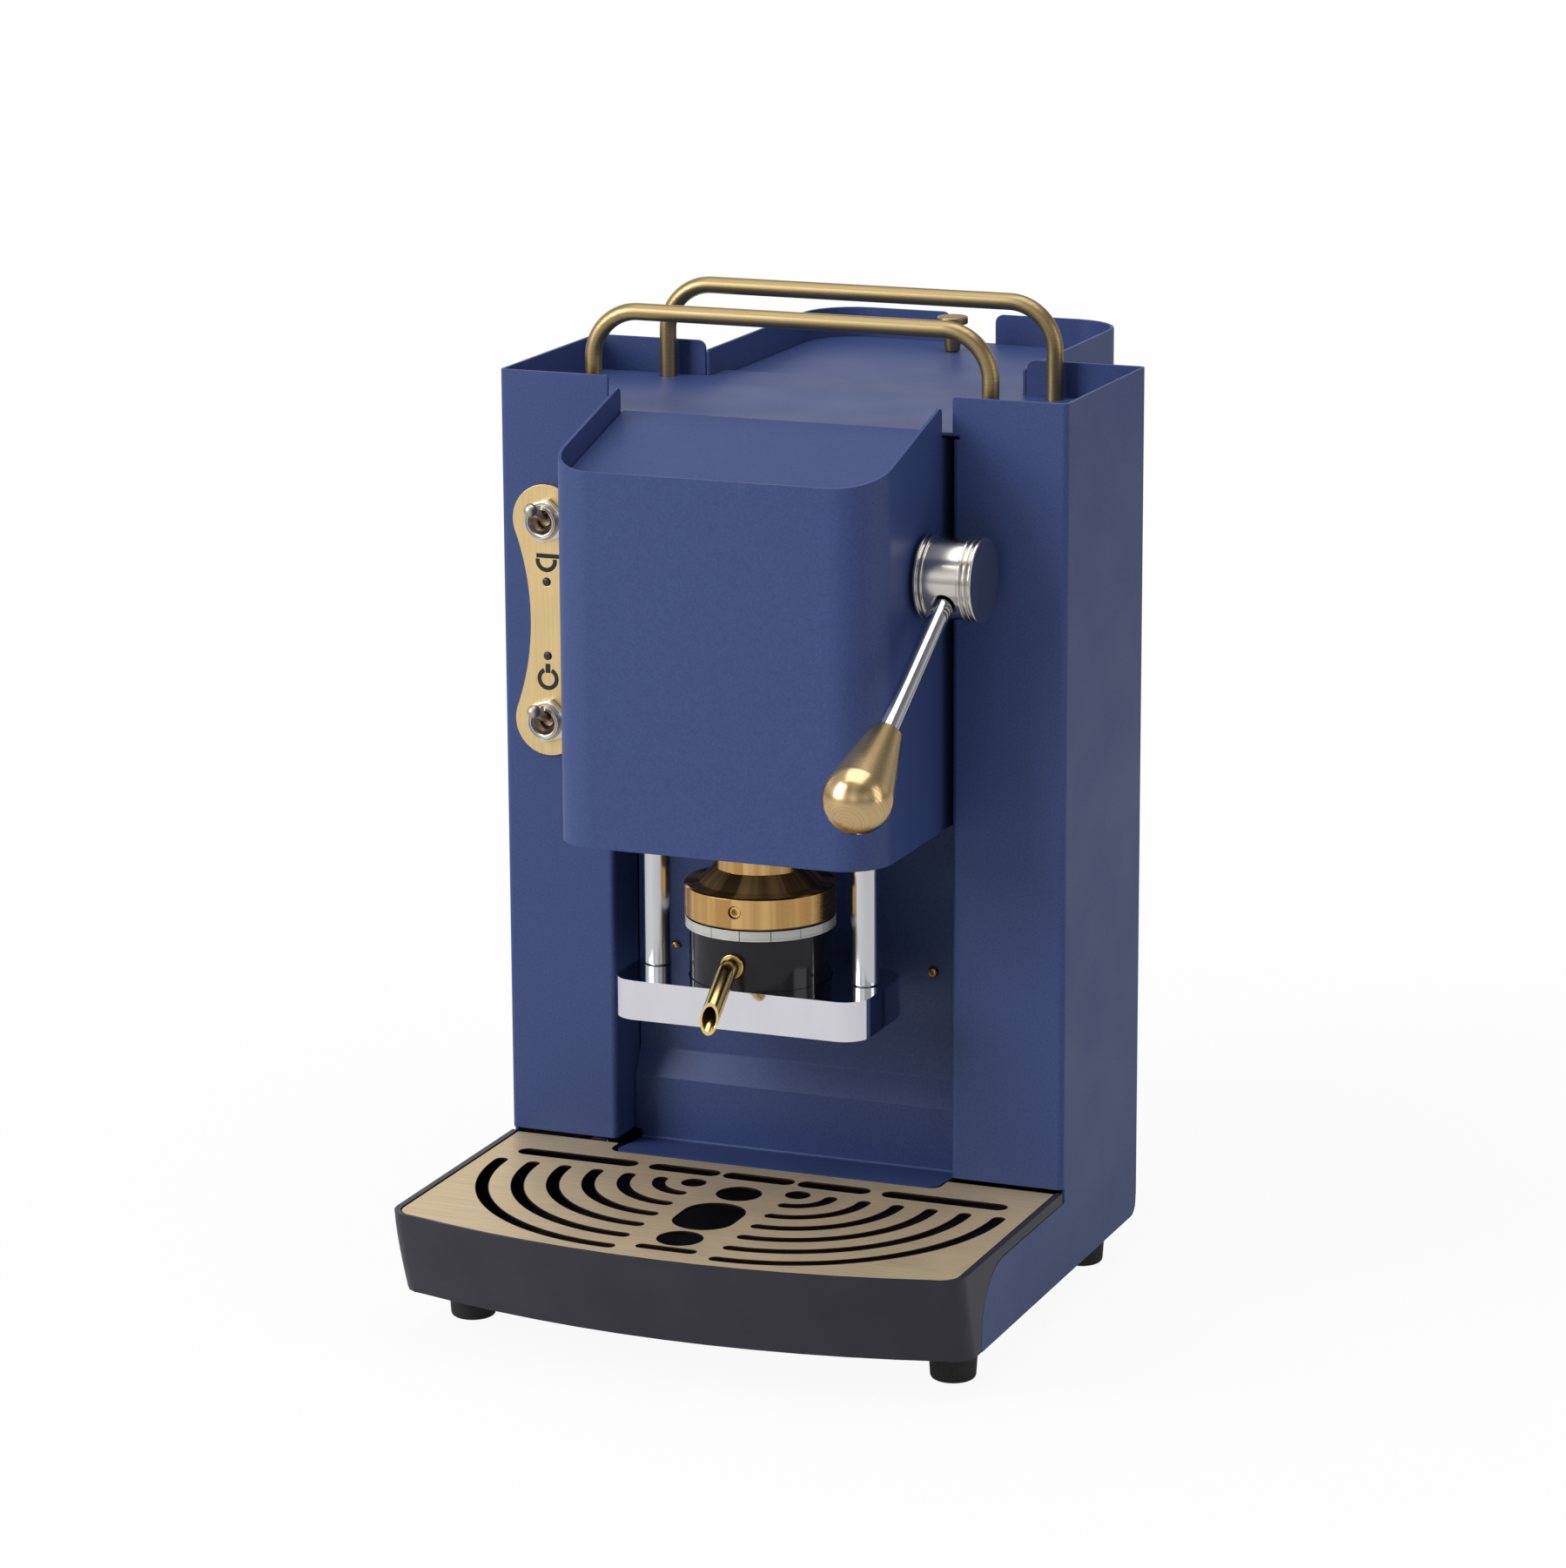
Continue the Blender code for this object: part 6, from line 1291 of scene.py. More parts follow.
@dataclass
class Group:
    """Chromed plate between two columns, with the pod cup, its clear ring and the spout."""

    half: float = 0.047
    front: float = -0.0436
    rear: float = 0.0022
    low: float = 0.1063
    top: float = 0.1204
    rounding: float = 0.0095
    cup_seat: float = 0.006
    tongue: float = 0.025
    column_x: float = 0.0388
    column: float = 0.00475
    column_top: float = 0.256
    spigot: float = 0.003
    collar: float = 0.0078
    collar_top: float = 0.176
    cup: float = 0.0248
    cup_top: float = 0.1404
    bore: float = 0.0223
    bore_floor: float = 0.132
    ring: float = 0.0263
    ring_bore: float = 0.0226
    ring_height: float = 0.0030
    ring_skirt: float = 0.0021
    ring_band: float = 0.0036
    slits: int = 15
    slit: float = 0.00014
    spout_z: float = 0.1295
    spout: float = 0.0034
    spout_bore: float = 0.0026
    spout_collar: float = 0.0043
    collar_width: float = 0.0016
    pitch: float = math.radians(38)
    spout_bend: float = 0.009
    spout_drop: float = 0.0132
    cut_tilt: float = math.radians(15)
    bolt: float = 0.0025
    bolt_x: float = 0.012
    bolt_nut: float = 0.0045
    recess: float = 0.0212
    screw_x: float = 0.0492
    screw_z: float = 0.1153
    screw: float = 0.0019
    screw_shank: float = 0.0012
    screw_length: float = 0.0055
    screw_rim: float = 0.0010
    screw_crown: float = 0.0013
    screw_height: float = 0.0017
    screw_socket: float = 0.0009
    tongue_inset: float = 0.0012
    bolt_reach: float = 0.004
    bolt_nut_height: float = 0.003
    collar_height: float = 0.0025
    rim_step: float = 0.0003
    rim_low: float = 0.0009
    rim_high: float = 0.0008
    ring_groove: tuple[float, ...] = (0.0007, 0.0008, 0.0010, 0.0011)
    groove_depth: float = 0.0002
    spout_start: float = 0.006
    spout_spare: float = 0.008

    def plate(self) -> Form:
        """Plate with its tongue and bolts through the recess panel.

        Returns:
            The form.
        """
        outline = oblong(-self.half, self.half, self.front, self.rear, self.rounding)
        body = Form.slab(outline, self.top - self.low, self.low, 14)
        pocket = Form.rod(self.cup + FIT, 0.01, (0, AXIS_Y, self.top - self.cup_seat), UP, 72)
        places = [(x, AXIS_Y, self.low - 0.005) for x in (-self.column_x, self.column_x)]
        body.cut(pocket, *[Form.rod(self.spigot + FIT, 0.03, place, UP, 24) for place in places])
        body.softened(0.00025, 2, 50)
        inset = self.tongue_inset
        low, high = (-self.tongue, self.rear - 0.0001, self.low + inset), (self.tongue, self.recess, self.top - inset)
        body.joined(Form.box(low, high))
        middle = (self.low + self.top) / 2
        for x in (-self.bolt_x, self.bolt_x):
            nut = Form.slab(circle(0, 0, self.bolt_nut, 6), self.bolt_nut_height)
            nut.aimed((x, self.recess + self.bolt_reach, middle), BACK)
            body.joined(Form.rod(self.bolt, self.bolt_reach, (x, self.recess, middle), BACK, 20), nut)
        return body

    def column_form(self, x: float) -> Form:
        """Column with a spigot in the plate and a collar for the return spring.

        Args:
            x: place of its axis.

        Returns:
            The form.
        """
        foot, column, collar = self.top + FIT, self.column, self.collar
        rise = self.collar_top - self.collar_height
        pen = Pen(0, self.low + FIT).to(self.spigot, self.low + FIT).to(self.spigot, foot)
        pen.to(column, foot, EDGE).to(column, rise).to(collar, rise, EDGE).to(collar, self.collar_top, EDGE)
        pen.to(column, self.collar_top).to(column, self.column_top, 0.0005).to(0, self.column_top)
        return Form.turned(pen, 56, (x, AXIS_Y, 0))

    def cup_form(self) -> Form:
        """Pod cup, with a fine step under its rim.

        Returns:
            The form.
        """
        base, cup, top, bore, floor = self.top - self.cup_seat + FIT, self.cup, self.cup_top, self.bore, self.bore_floor
        neck = cup - self.rim_step
        pen = Pen(0, base).to(cup, base, EDGE).to(cup, top - self.rim_low, FINE).to(neck, top - self.rim_high)
        pen.to(neck, top, EDGE).to(bore, top, SOFT).to(bore, floor, 0.0008).to(0, floor)
        return Form.turned(pen, 96, (0, AXIS_Y, 0))

    def ring_form(self) -> Form:
        """Clear ring on the cup's rim: a grooved band with slits across it, thinner under the head's lip.

        Returns:
            The form.
        """
        edge, bore, inner, low = self.ring, self.ring_bore, self.cup + FIT, self.cup_top + FIT
        high, base = low + self.ring_height, low - self.ring_skirt
        brim, film = base + self.ring_band, inner + 0.0003
        groove, dip = [base + height for height in self.ring_groove], edge - self.groove_depth
        ring = Form.turned(polygon(
            (bore, low), (inner, low), (inner, base), (edge, base, EDGE), (edge, groove[0], FINE), (dip, groove[1]),
            (dip, groove[2]), (edge, groove[3], FINE), (edge, brim, EDGE), (film, brim + FINE), (film, high),
            (bore, high),
        ), 120, (0, AXIS_Y, 0))
        knives = []
        for index in range(self.slits):
            knife = Form.box((edge - PAST / 2, -self.slit, base - PAST), (edge + PAST, self.slit, high + PAST))
            turn = Matrix.Rotation(TURN * (index + 0.5) / self.slits, 3, "Z")
            knives.append(knife.rotated(turn).moved((0, AXIS_Y, 0)))
        return ring.cut(*knives)

    def in_painted_shade(self, face: Face) -> bool:
        """Whether a face of the ring belongs to its thinner part under the head's lip, which is painted black as shade.
        """
        middle = face.calc_center_median() - Vector((0, AXIS_Y, 0))
        return self.cup < middle.xy.length < self.ring - 0.0004 and middle.z > self.cup_top + FIT

    def spout_tube(self, radius: float, extra: float = 0.0) -> Form:
        """Solid along the spout's path, from inside the cup to past its mouth.

        Args:
            radius: the solid's radius.
            extra: how much further it runs at both ends.

        Returns:
            The form.
        """
        start = AXIS_Y - self.cup + self.spout_start + extra
        collar = AXIS_Y - self.cup - FIT - self.collar_width
        tube = Form.tube(radius, 40, (0, start, self.spout_z), FORWARD).straight(start - collar)
        tube.bend((0, collar, self.spout_z - self.spout_bend), RIGHT, self.pitch, 12)
        fallen = self.spout_bend * (1 - math.cos(self.pitch))
        return tube.straight((self.spout_drop - fallen) / math.sin(self.pitch) + self.spout_spare + extra).capped()

    def spout_form(self) -> Form:
        """Bent spout whose mouth is cut nearly upright.

        Returns:
            The form.
        """
        wall = AXIS_Y - self.cup - FIT
        knee = Vector((0, wall - self.collar_width - self.spout_bend * math.tan(self.pitch / 2), self.spout_z))
        way = Vector((0, -math.cos(self.pitch), -math.sin(self.pitch)))
        mouth = Vector((0, -math.cos(self.cut_tilt), math.sin(self.cut_tilt)))
        knife = Form.slab(oblong(-0.02, 0.02, -0.02, 0.02), 0.02)
        knife.aimed(knee + way * (self.spout_drop / math.sin(self.pitch)), mouth)
        form = self.spout_tube(self.spout).cut(self.spout_tube(self.spout_bore, PAST)).cut(knife)
        inner, outer, width = self.spout_bore + 0.0002, self.spout_collar, self.collar_width
        ring = polygon((inner, 0), (outer, 0), (outer, width, 0.0004), (inner, width))
        return form.softened(0.00015, 2, 60).joined(Form.turned(ring, 40, (0, wall, self.spout_z), FORWARD))

    def screw_form(self, x: float) -> Form:
        """Round-headed socket screw in the recess panel.

        Args:
            x: place of its axis.

        Returns:
            The form.
        """
        screw, shank, length, height, socket = (
            self.screw, self.screw_shank, self.screw_length, self.screw_height, self.screw_socket
        )
        pen = Pen(0, -length).to(shank, -length, EDGE).to(shank, FIT).to(screw, FIT, FINE)
        pen.to(screw, self.screw_rim, SOFT).to(self.screw_crown, height, 0.0005).to(0, height)
        head = Form.turned(pen, 32).cut(Form.slab(circle(0, 0, socket, 6), 2 * PAST, socket))
        return head.aimed((x, self.recess + FIT, self.screw_z), FORWARD)

    def build(self, shop: Workshop) -> None:
        """Make the plate, the columns, the cup with its ring and spout, and the recess screws.

        Args:
            shop: the workshop that makes the pieces.
        """
        palette = shop.palette
        shop.place("group_plate_block", "group_plate", self.plate(), palette.chrome)
        for side, way in (("left", -1), ("right", 1)):
            node = side + "_column"
            shop.place(node + "_bar", node, self.column_form(way * self.column_x), palette.satin_chrome)
            node = side + "_recess_screw"
            shop.place(node + "_head", node, self.screw_form(way * self.screw_x), palette.brass)
        shop.place("pod_cup_body", "pod_cup", self.cup_form(), palette.cup_black)
        # Painted shade: the ring's thinner band under the head's lip gets the cup's polished black.
        lip_painted_shade = Accent(palette.cup_black, self.in_painted_shade)
        shop.place("pod_cup_ring", "pod_gasket", self.ring_form(), palette.clear_ring, accent=lip_painted_shade)
        shop.place("spout_pipe", "spout", self.spout_form(), palette.spout_brass)


@dataclass
class PressHead:
    """Turned brass head that the lever drives down on the pod."""

    base: float = 0.1440
    radius: float = 0.0265
    ring: float = 0.0099
    chamfer: float = 0.0006
    step: float = 0.0215
    neck: float = 0.0158
    neck_base: float = 0.1593
    neck_top: float = 0.2047
    spigot: float = 0.008
    spigot_top: float = 0.2198
    bore: float = 0.005
    bore_top: float = 0.0018
    recess: float = 0.0215
    recess_depth: float = 0.005
    lip: float = 0.0012
    lip_bore: float = 0.0257
    grub_z: float = 0.1488
    grub_turn: float = math.radians(2.4)
    grub: float = 0.002
    grub_length: float = 0.004
    grub_face: float = -0.0006
    grub_socket: float = 0.0013
    port_z: float = 0.199
    port: float = 0.0042
    port_y: float = 0.006
    nipple: float = 0.003
    nipple_length: float = 0.0045
    grub_hole: float = 0.0045
    lip_bevel: tuple[float, float] = (0.0003, 0.0004)

    def out(self) -> Vector:
        """Direction that the grub screw faces."""
        return Vector((math.sin(self.grub_turn), -math.cos(self.grub_turn), 0.0))

    def mouth(self) -> Vector:
        """Middle of the grub screw's hole on the ring."""
        return Vector((0, AXIS_Y, self.grub_z)) + self.out() * self.radius

    def head_form(self) -> Form:
        """Head, from the recess under it up to its spigot.

        Returns:
            The form.
        """
        base, radius, neck, chamfer = self.base, self.radius, self.neck, self.chamfer
        top, floor, low = base + self.ring, base + self.recess_depth, base - self.lip
        pen = Pen(0, base + self.bore_top).to(self.bore, base + self.bore_top).to(self.bore, floor)
        pen.to(self.recess, floor).to(self.recess, base, EDGE).to(self.lip_bore, base).to(self.lip_bore, low)
        across, up = self.lip_bevel
        pen.to(radius - across, low, FINE).to(radius, low + up, FINE).to(radius, top - chamfer, FINE)
        pen.to(radius - chamfer, top, FINE).to(self.step, top + FIT, EDGE).to(neck + 0.0002, self.neck_base, EDGE)
        pen.to(neck, self.neck_base + 0.0002, FINE).to(neck, self.neck_top, EDGE).to(self.spigot, self.neck_top)
        pen.to(self.spigot, self.spigot_top, 0.0004).to(0, self.spigot_top)
        head = Form.turned(pen, 112, (0, AXIS_Y, 0))
        head.cut(Form.rod(self.grub + FIT, 0.008, self.mouth() - self.out() * self.grub_hole, self.out(), 32))
        port = Form.rod(self.port, self.port_y - AXIS_Y, (0, AXIS_Y, self.port_z), BACK, 24)
        foot = (0, self.port_y - self.nipple, self.port_z)
        return head.joined(port, Form.rod(self.nipple, self.nipple_length, foot, -UP, 20))

    def cone(self, face: Face) -> bool:
        """Whether a face belongs to the cone or the flat step above the ring, which get painted dark reflection and
        streaks.
        """
        height = face.calc_center_median().z
        return face.normal.z > 0.2 and self.base + self.ring - 0.0002 < height < self.neck_base + 0.0002

    def grub_form(self) -> Form:
        """Set screw with a hexagon socket, just under the ring's face.

        Returns:
            The form.
        """
        grub, face = self.grub, self.grub_face
        pen = Pen(0, -self.grub_length).to(grub, -self.grub_length, SOFT).to(grub, face, EDGE).to(0, face)
        screw = Form.turned(pen, 36).cut(Form.slab(circle(0, 0, self.grub_socket, 6), 0.003, -0.0024))
        return screw.aimed(self.mouth(), self.out())

    def build(self, shop: Workshop) -> None:
        """Make the head and its set screw.

        Args:
            shop: the workshop that makes the pieces.
        """
        # Painted highlight streaks on the whole head and its screw; painted dark reflection of the hood and golden
        # streaks on the cone and step.
        brass, cone = shop.palette.head_brass_painted_streaks, Accent(shop.palette.cone_painted_reflection, self.cone)
        shop.place("press_head_body", "press_head", self.head_form(), brass, "head", cone)
        shop.place("head_set_screw", "head_grub_screw", self.grub_form(), brass, "head")


@dataclass
class Lever:
    """Grooved hub on the shaft, with its rod and its turned knob."""

    shaft_z: float = 0.2656
    shaft: float = 0.005
    shaft_depth: float = 0.0053
    inner: float = 0.0616
    outer: float = 0.0822
    radius: float = 0.0146
    band: float = 0.0139
    groove: float = 0.0135
    ridge_width: float = 0.0011
    groove_width: float = 0.0009
    ridge_edge: float = 0.00028
    inner_ridges: int = 2
    outer_ridges: int = 3
    chamfer: float = 0.0005
    rod_x: float = 0.0719
    rod: float = 0.0035
    rod_start: float = 0.0045
    mouth: float = 0.0044
    mouth_start: float = 0.0105
    tilt: float = math.radians(31.1)
    knob_start: float = 0.0768
    knob_end: float = 0.0059
    ball: float = 0.01193
    ball_centre: float = 0.1068
    rod_in_knob: float = 0.013
    bush: float = 0.0072
    flange: float = 0.010
    bush_back: float = 0.0027
    bush_face: float = 0.0012
    face_rim: float = 0.0014
    face_step: tuple[float, float] = (0.0001, 0.00006)
    hood_half: float = 0.060

    def way(self) -> Vector:
        """Direction of the rod, from the hub to the knob."""
        return Vector((0, -math.cos(self.tilt), -math.sin(self.tilt)))

    def root(self) -> Vector:
        """Point on the shaft's axis that the rod points away from."""
        return Vector((self.rod_x, AXIS_Y, self.shaft_z))

    def hub_form(self) -> Form:
        """Hub: two ridges by the hood, a plain band and three ridges at its face.

        Returns:
            The form.
        """
        radius, outer, bore, depth = self.radius, self.outer, self.shaft + FIT, self.inner + self.shaft_depth
        pitch = self.ridge_width + self.groove_width
        first = outer - self.outer_ridges * pitch + self.groove_width
        starts = [self.inner + index * pitch for index in range(self.inner_ridges)]
        starts += [first + index * pitch for index in range(self.outer_ridges)]
        pen = Pen(0, depth).to(bore, depth).to(bore, self.inner)
        for index, (start, following) in enumerate(zip(starts, starts[1:])):
            end = start + self.ridge_width
            low = self.band if index == self.inner_ridges - 1 else self.groove
            pen.to(radius, start, self.ridge_edge).to(radius, end, self.ridge_edge).to(low, end).to(low, following)
        pen.to(radius, starts[-1], self.ridge_edge).to(radius, starts[-1] + self.ridge_width, self.chamfer)
        (across, down), rim = self.face_step, radius - self.face_rim
        pen.to(rim, outer).to(rim - across, outer - down).to(0, outer - down)
        way = self.way()
        seat = Form.rod(self.rod + 0.0002, 0.02, self.root() + way * (self.rod_start - 0.0003), way, 48)
        mouth = Form.rod(self.mouth, 0.012, self.root() + way * self.mouth_start, way, 48)
        return Form.turned(pen, 96, (0, AXIS_Y, self.shaft_z), RIGHT).cut(seat).cut(mouth)

    def rod_form(self) -> Form:
        """Plain polished rod.

        Returns:
            The form.
        """
        end = self.knob_start + self.rod_in_knob
        pen = Pen(0, self.rod_start).to(self.rod, self.rod_start, SOFT).to(self.rod, end, SOFT).to(0, end)
        return Form.turned(pen, 48, self.root(), self.way())

    def knob_form(self) -> Form:
        """Knob: a cone that runs into a ball.

        Returns:
            The form.
        """
        ball, centre, start, bore = self.ball, self.ball_centre, self.knob_start, self.rod + FIT
        end = start + self.rod_in_knob + FIT
        lean = math.asin((ball - self.knob_end) / math.hypot(centre - start, ball - self.knob_end))
        pen = Pen(0, end).to(bore, end).to(bore, start, SOFT).to(self.knob_end, start, 0.0004)
        pen.to(ball * math.cos(lean), centre - ball * math.sin(lean)).arc(0, centre, QUARTER + lean, 36)
        return Form.turned(pen, 80, self.root(), self.way())

    def bush_form(self) -> Form:
        """Black bush between the hub and the hood's side.

        Returns:
            The form.
        """
        wall, bore, bush, flange = self.hood_half, self.shaft + FIT, self.bush, self.flange
        back, face = self.bush_back, self.bush_face
        profile = polygon(
            (bore, wall - back), (bush, wall - back), (bush, wall + FIT), (flange, wall + FIT),
            (flange, wall + face, SOFT), (bore, wall + face),
        )
        return Form.turned(profile, 56, (0, AXIS_Y, self.shaft_z), RIGHT)

    def build(self, shop: Workshop) -> None:
        """Make the hub, its bush, the rod and the knob.

        Args:
            shop: the workshop that makes the pieces.
        """
        palette = shop.palette
        shop.place("lever_hub_body", "lever_hub", self.hub_form(), palette.hub_steel, "lever")
        shop.place("lever_rod_bar", "lever_rod", self.rod_form(), palette.rod_chrome, "lever")
        shop.place("lever_knob_body", "lever_knob", self.knob_form(), palette.knob_brass, "lever")
        shop.place("lever_bush", "hub_bush", self.bush_form(), palette.black)


@dataclass
class DripTray:
    """Black tray with its slotted brass grille."""

    half: float = 0.105
    rim: float = 0.0022
    bow: float = 0.341
    front: float = 0.1164
    corner: float = 0.0075
    top: float = 0.0463
    sheet: float = 0.0010
    rear: float = -0.0006
    notch_half: float = 0.0625
    notch: float = -0.0100
    notch_round: float = 0.004
    sharp: float = 0.0004
    row_y: float = -0.0215
    row_width: float = 0.0066
    spans: tuple[tuple[float, float], ...] = (
        (-0.0922, -0.0466), (-0.0415, -0.0151), (-0.0131, 0.0131), (0.0151, 0.0415), (0.0466, 0.0922),
    )
    arc_x: float = 0.0196
    arc_y: float = -0.0338
    dot: float = 0.0042
    arc_width: float = 0.0042
    pitch: float = 0.01235
    count: int = 6
    land: float = 0.0030
    lead: float = math.radians(6)
    hole: float = 0.0078
    rear_hole_y: float = -0.0399
    front_hole_y: float = -0.0923
    oval: float = 0.0108
    oval_rear: float = -0.0624
    oval_front: float = -0.0710
    slot_y: float = -0.1042
    slot_length: float = 0.0217

    def outline(self) -> Pen:
        """Grille's plan: bowed front, rounded corners, and the notch for the housing's apron.

        Returns:
            The pen.
        """
        half = self.half - self.rim - FIT
        edge = half - self.corner
        side = self.bow - self.front - math.sqrt(self.bow ** 2 - edge ** 2)
        rear, notch, notch_half, sharp = self.rear, self.notch, self.notch_half, self.sharp
        pen = Pen(-half, rear, sharp).to(-half, side + self.corner).arc(-edge, side + self.corner, QUARTER, 12)
        pen.to(-edge, side).arc(0, self.bow - self.front, 2 * math.asin(edge / self.bow), 48).to(edge, side)
        pen.arc(edge, side + self.corner, QUARTER, 12).to(half, rear, sharp).to(notch_half, rear, sharp)
        pen.to(notch_half, notch, self.notch_round).to(-notch_half, notch, self.notch_round)
        return pen.to(-notch_half, rear, sharp).to(-half, rear)

    def arc_slot(self, side: int, radius: float) -> Pen:
        """Quarter-ring slot round the small hole on its side, with round ends.

        Args:
            side: -1 for the left, 1 for the right.
            radius: the slot's middle line.

        Returns:
            The pen.
        """
        x, y, half = side * self.arc_x, self.arc_y, self.arc_width / 2
        row_edge = self.row_y - self.row_width / 2 - self.land
        start = max(math.asin(min(0.0, row_edge - half - y) / radius), -self.lead)
        sweep = -QUARTER - start
        steps = 8 + round(radius * 400)
        if side < 0:
            start, sweep = HALF_TURN - start, -sweep
        turn = math.copysign(HALF_TURN, sweep)
        pen = Pen(x + (radius + half) * math.cos(start), y + (radius + half) * math.sin(start))
        for path, end in ((sweep, start + sweep), (-sweep, start)):
            pen.arc(x, y, path, steps).arc(x + radius * math.cos(end), y + radius * math.sin(end), turn, 8)
        return pen

    def openings(self) -> list[Pen]:
        """Every opening of the grille.

        Returns:
            A pen for each.
        """
        pens = [stadium(left, right, self.row_y, self.row_width) for left, right in self.spans]
        for side in (-1, 1):
            pens.append(circle(side * self.arc_x, self.arc_y, self.dot, 28))
            pens += [self.arc_slot(side, self.pitch * (index + 1)) for index in range(self.count)]
        pens += [circle(0, y, self.hole) for y in (self.rear_hole_y, self.front_hole_y)]
        oval = Pen(self.oval, self.oval_front).to(self.oval, self.oval_rear).arc(0, self.oval_rear, HALF_TURN, 28)
        pens.append(oval.to(-self.oval, self.oval_front).arc(0, self.oval_front, HALF_TURN, 28))
        half = self.slot_length / 2
        return pens + [stadium(-half, half, self.slot_y, self.arc_width)]

    def grille_form(self) -> Form:
        """Grille sheet with its openings, laser cut and lightly deburred.

        Returns:
            The form.
        """
        low = self.top - self.sheet
        cutters = [Form.slab(pen, 3 * self.sheet, low - self.sheet) for pen in self.openings()]
        return Form.slab(self.outline(), self.sheet, low).cut(*cutters).softened(0.0003, 2, 50)

    def edge(self, face: Face) -> bool:
        """Whether a face of the grille belongs to an edge or to an opening's wall, which get painted shade."""
        return abs(face.normal.z) < 0.95

    def build(self, shop: Workshop) -> None:
        """Make the tray and the grille.

        Args:
            shop: the workshop that makes the pieces.
        """
        palette = shop.palette
        shop.place("drip_tray_body", "drip_tray", shop.copy("drip_tray", 0.0005, 3), palette.tray_black, "tray")
        # Painted shade: the sides of the openings and the edges get near-black brass.
        painted_shade_walls = Accent(palette.slot_wall_painted_shade, self.edge)
        shop.place("drip_grille_sheet", "drip_grille", self.grille_form(), palette.sheet_brass, "grille", painted_shade_walls)


@dataclass
class Feet:
    """Rubber feet with their studs and nuts."""

    x: float = 0.0897
    front: float = -0.0674
    rear: float = 0.065
    height: float = 0.015
    top: float = 0.0088
    base: float = 0.0078
    counterbore: float = 0.0042
    depth: float = 0.006
    screw: float = 0.0036
    screw_head: float = 0.0025
    pan: float = 0.0012
    stud: float = 0.002
    nut_flats: float = 0.007
    nut: float = 0.003

    def foot(self, x: float, y: float) -> Form:
        """One foot, with its screw head up in the counterbore.

        Args:
            x: place of its axis across.
            y: place of its axis in depth.

        Returns:
            The form.
        """
        depth, bore, screw, stud = self.depth, self.counterbore, self.screw, self.stud
        top = self.height - FIT
        tip = self.height + self.pan + FIT + self.nut
        pen = Pen(0, depth - self.screw_head).to(screw, depth - self.screw_head, 0.0004).to(screw, depth)
        pen.to(bore, depth, SOFT).to(bore, 0, SOFT).to(self.base, 0, 0.0014).to(self.top, top, 0.0008).to(stud, top)
        pen.to(stud, tip, SOFT).to(0, tip)
        nut = Form.slab(hexagon(x, y, self.nut_flats), self.nut - FIT, tip - self.nut)
        return Form.turned(pen, 48, (x, y, 0)).joined(nut)

    def build(self, shop: Workshop) -> None:
        """Make the four feet."""
        for end, y in (("front", self.front), ("rear", self.rear)):
            for side, x in (("left", -self.x), ("right", self.x)):
                node = f"{end}_{side}_foot"
                shop.place(node + "_pad", node, self.foot(x, y), shop.palette.rubber)


@dataclass
class TankTop:
    """Turned knob on the tank's lid."""

    y: float = 0.172
    lid_under: float = 0.3071
    lid_top: float = 0.3098
    foot: float = 0.00275
    neck: float = 0.004
    cap: float = 0.00575
    cap_height: float = 0.0028
    height: float = 0.0132
    pin: float = 0.0015
    waist: Point = (0.0004, 0.004, 0.003)

    def knob(self) -> Form:
        """Knob: a waisted stem under a flat cap.

        Returns:
            The form.
        """
        top, foot = self.lid_top + self.height, self.lid_top + FIT
        neck = top - self.cap_height
        pen = Pen(0, self.lid_under).to(self.pin, self.lid_under).to(self.pin, foot).to(self.foot, foot, SOFT)
        across, up, rounding = self.waist
        pen.to(self.foot + across, foot + up, rounding).to(self.neck, neck, SOFT).to(self.cap, neck, 0.0004)
        return Form.turned(pen.to(self.cap, top, 0.0007).to(0, top), 56, (0, self.y, 0))

    def build(self, shop: Workshop) -> None:
        """Make the knob."""
        shop.place("lid_knob_body", "lid_knob", self.knob(), shop.palette.rail_brass, "lid")


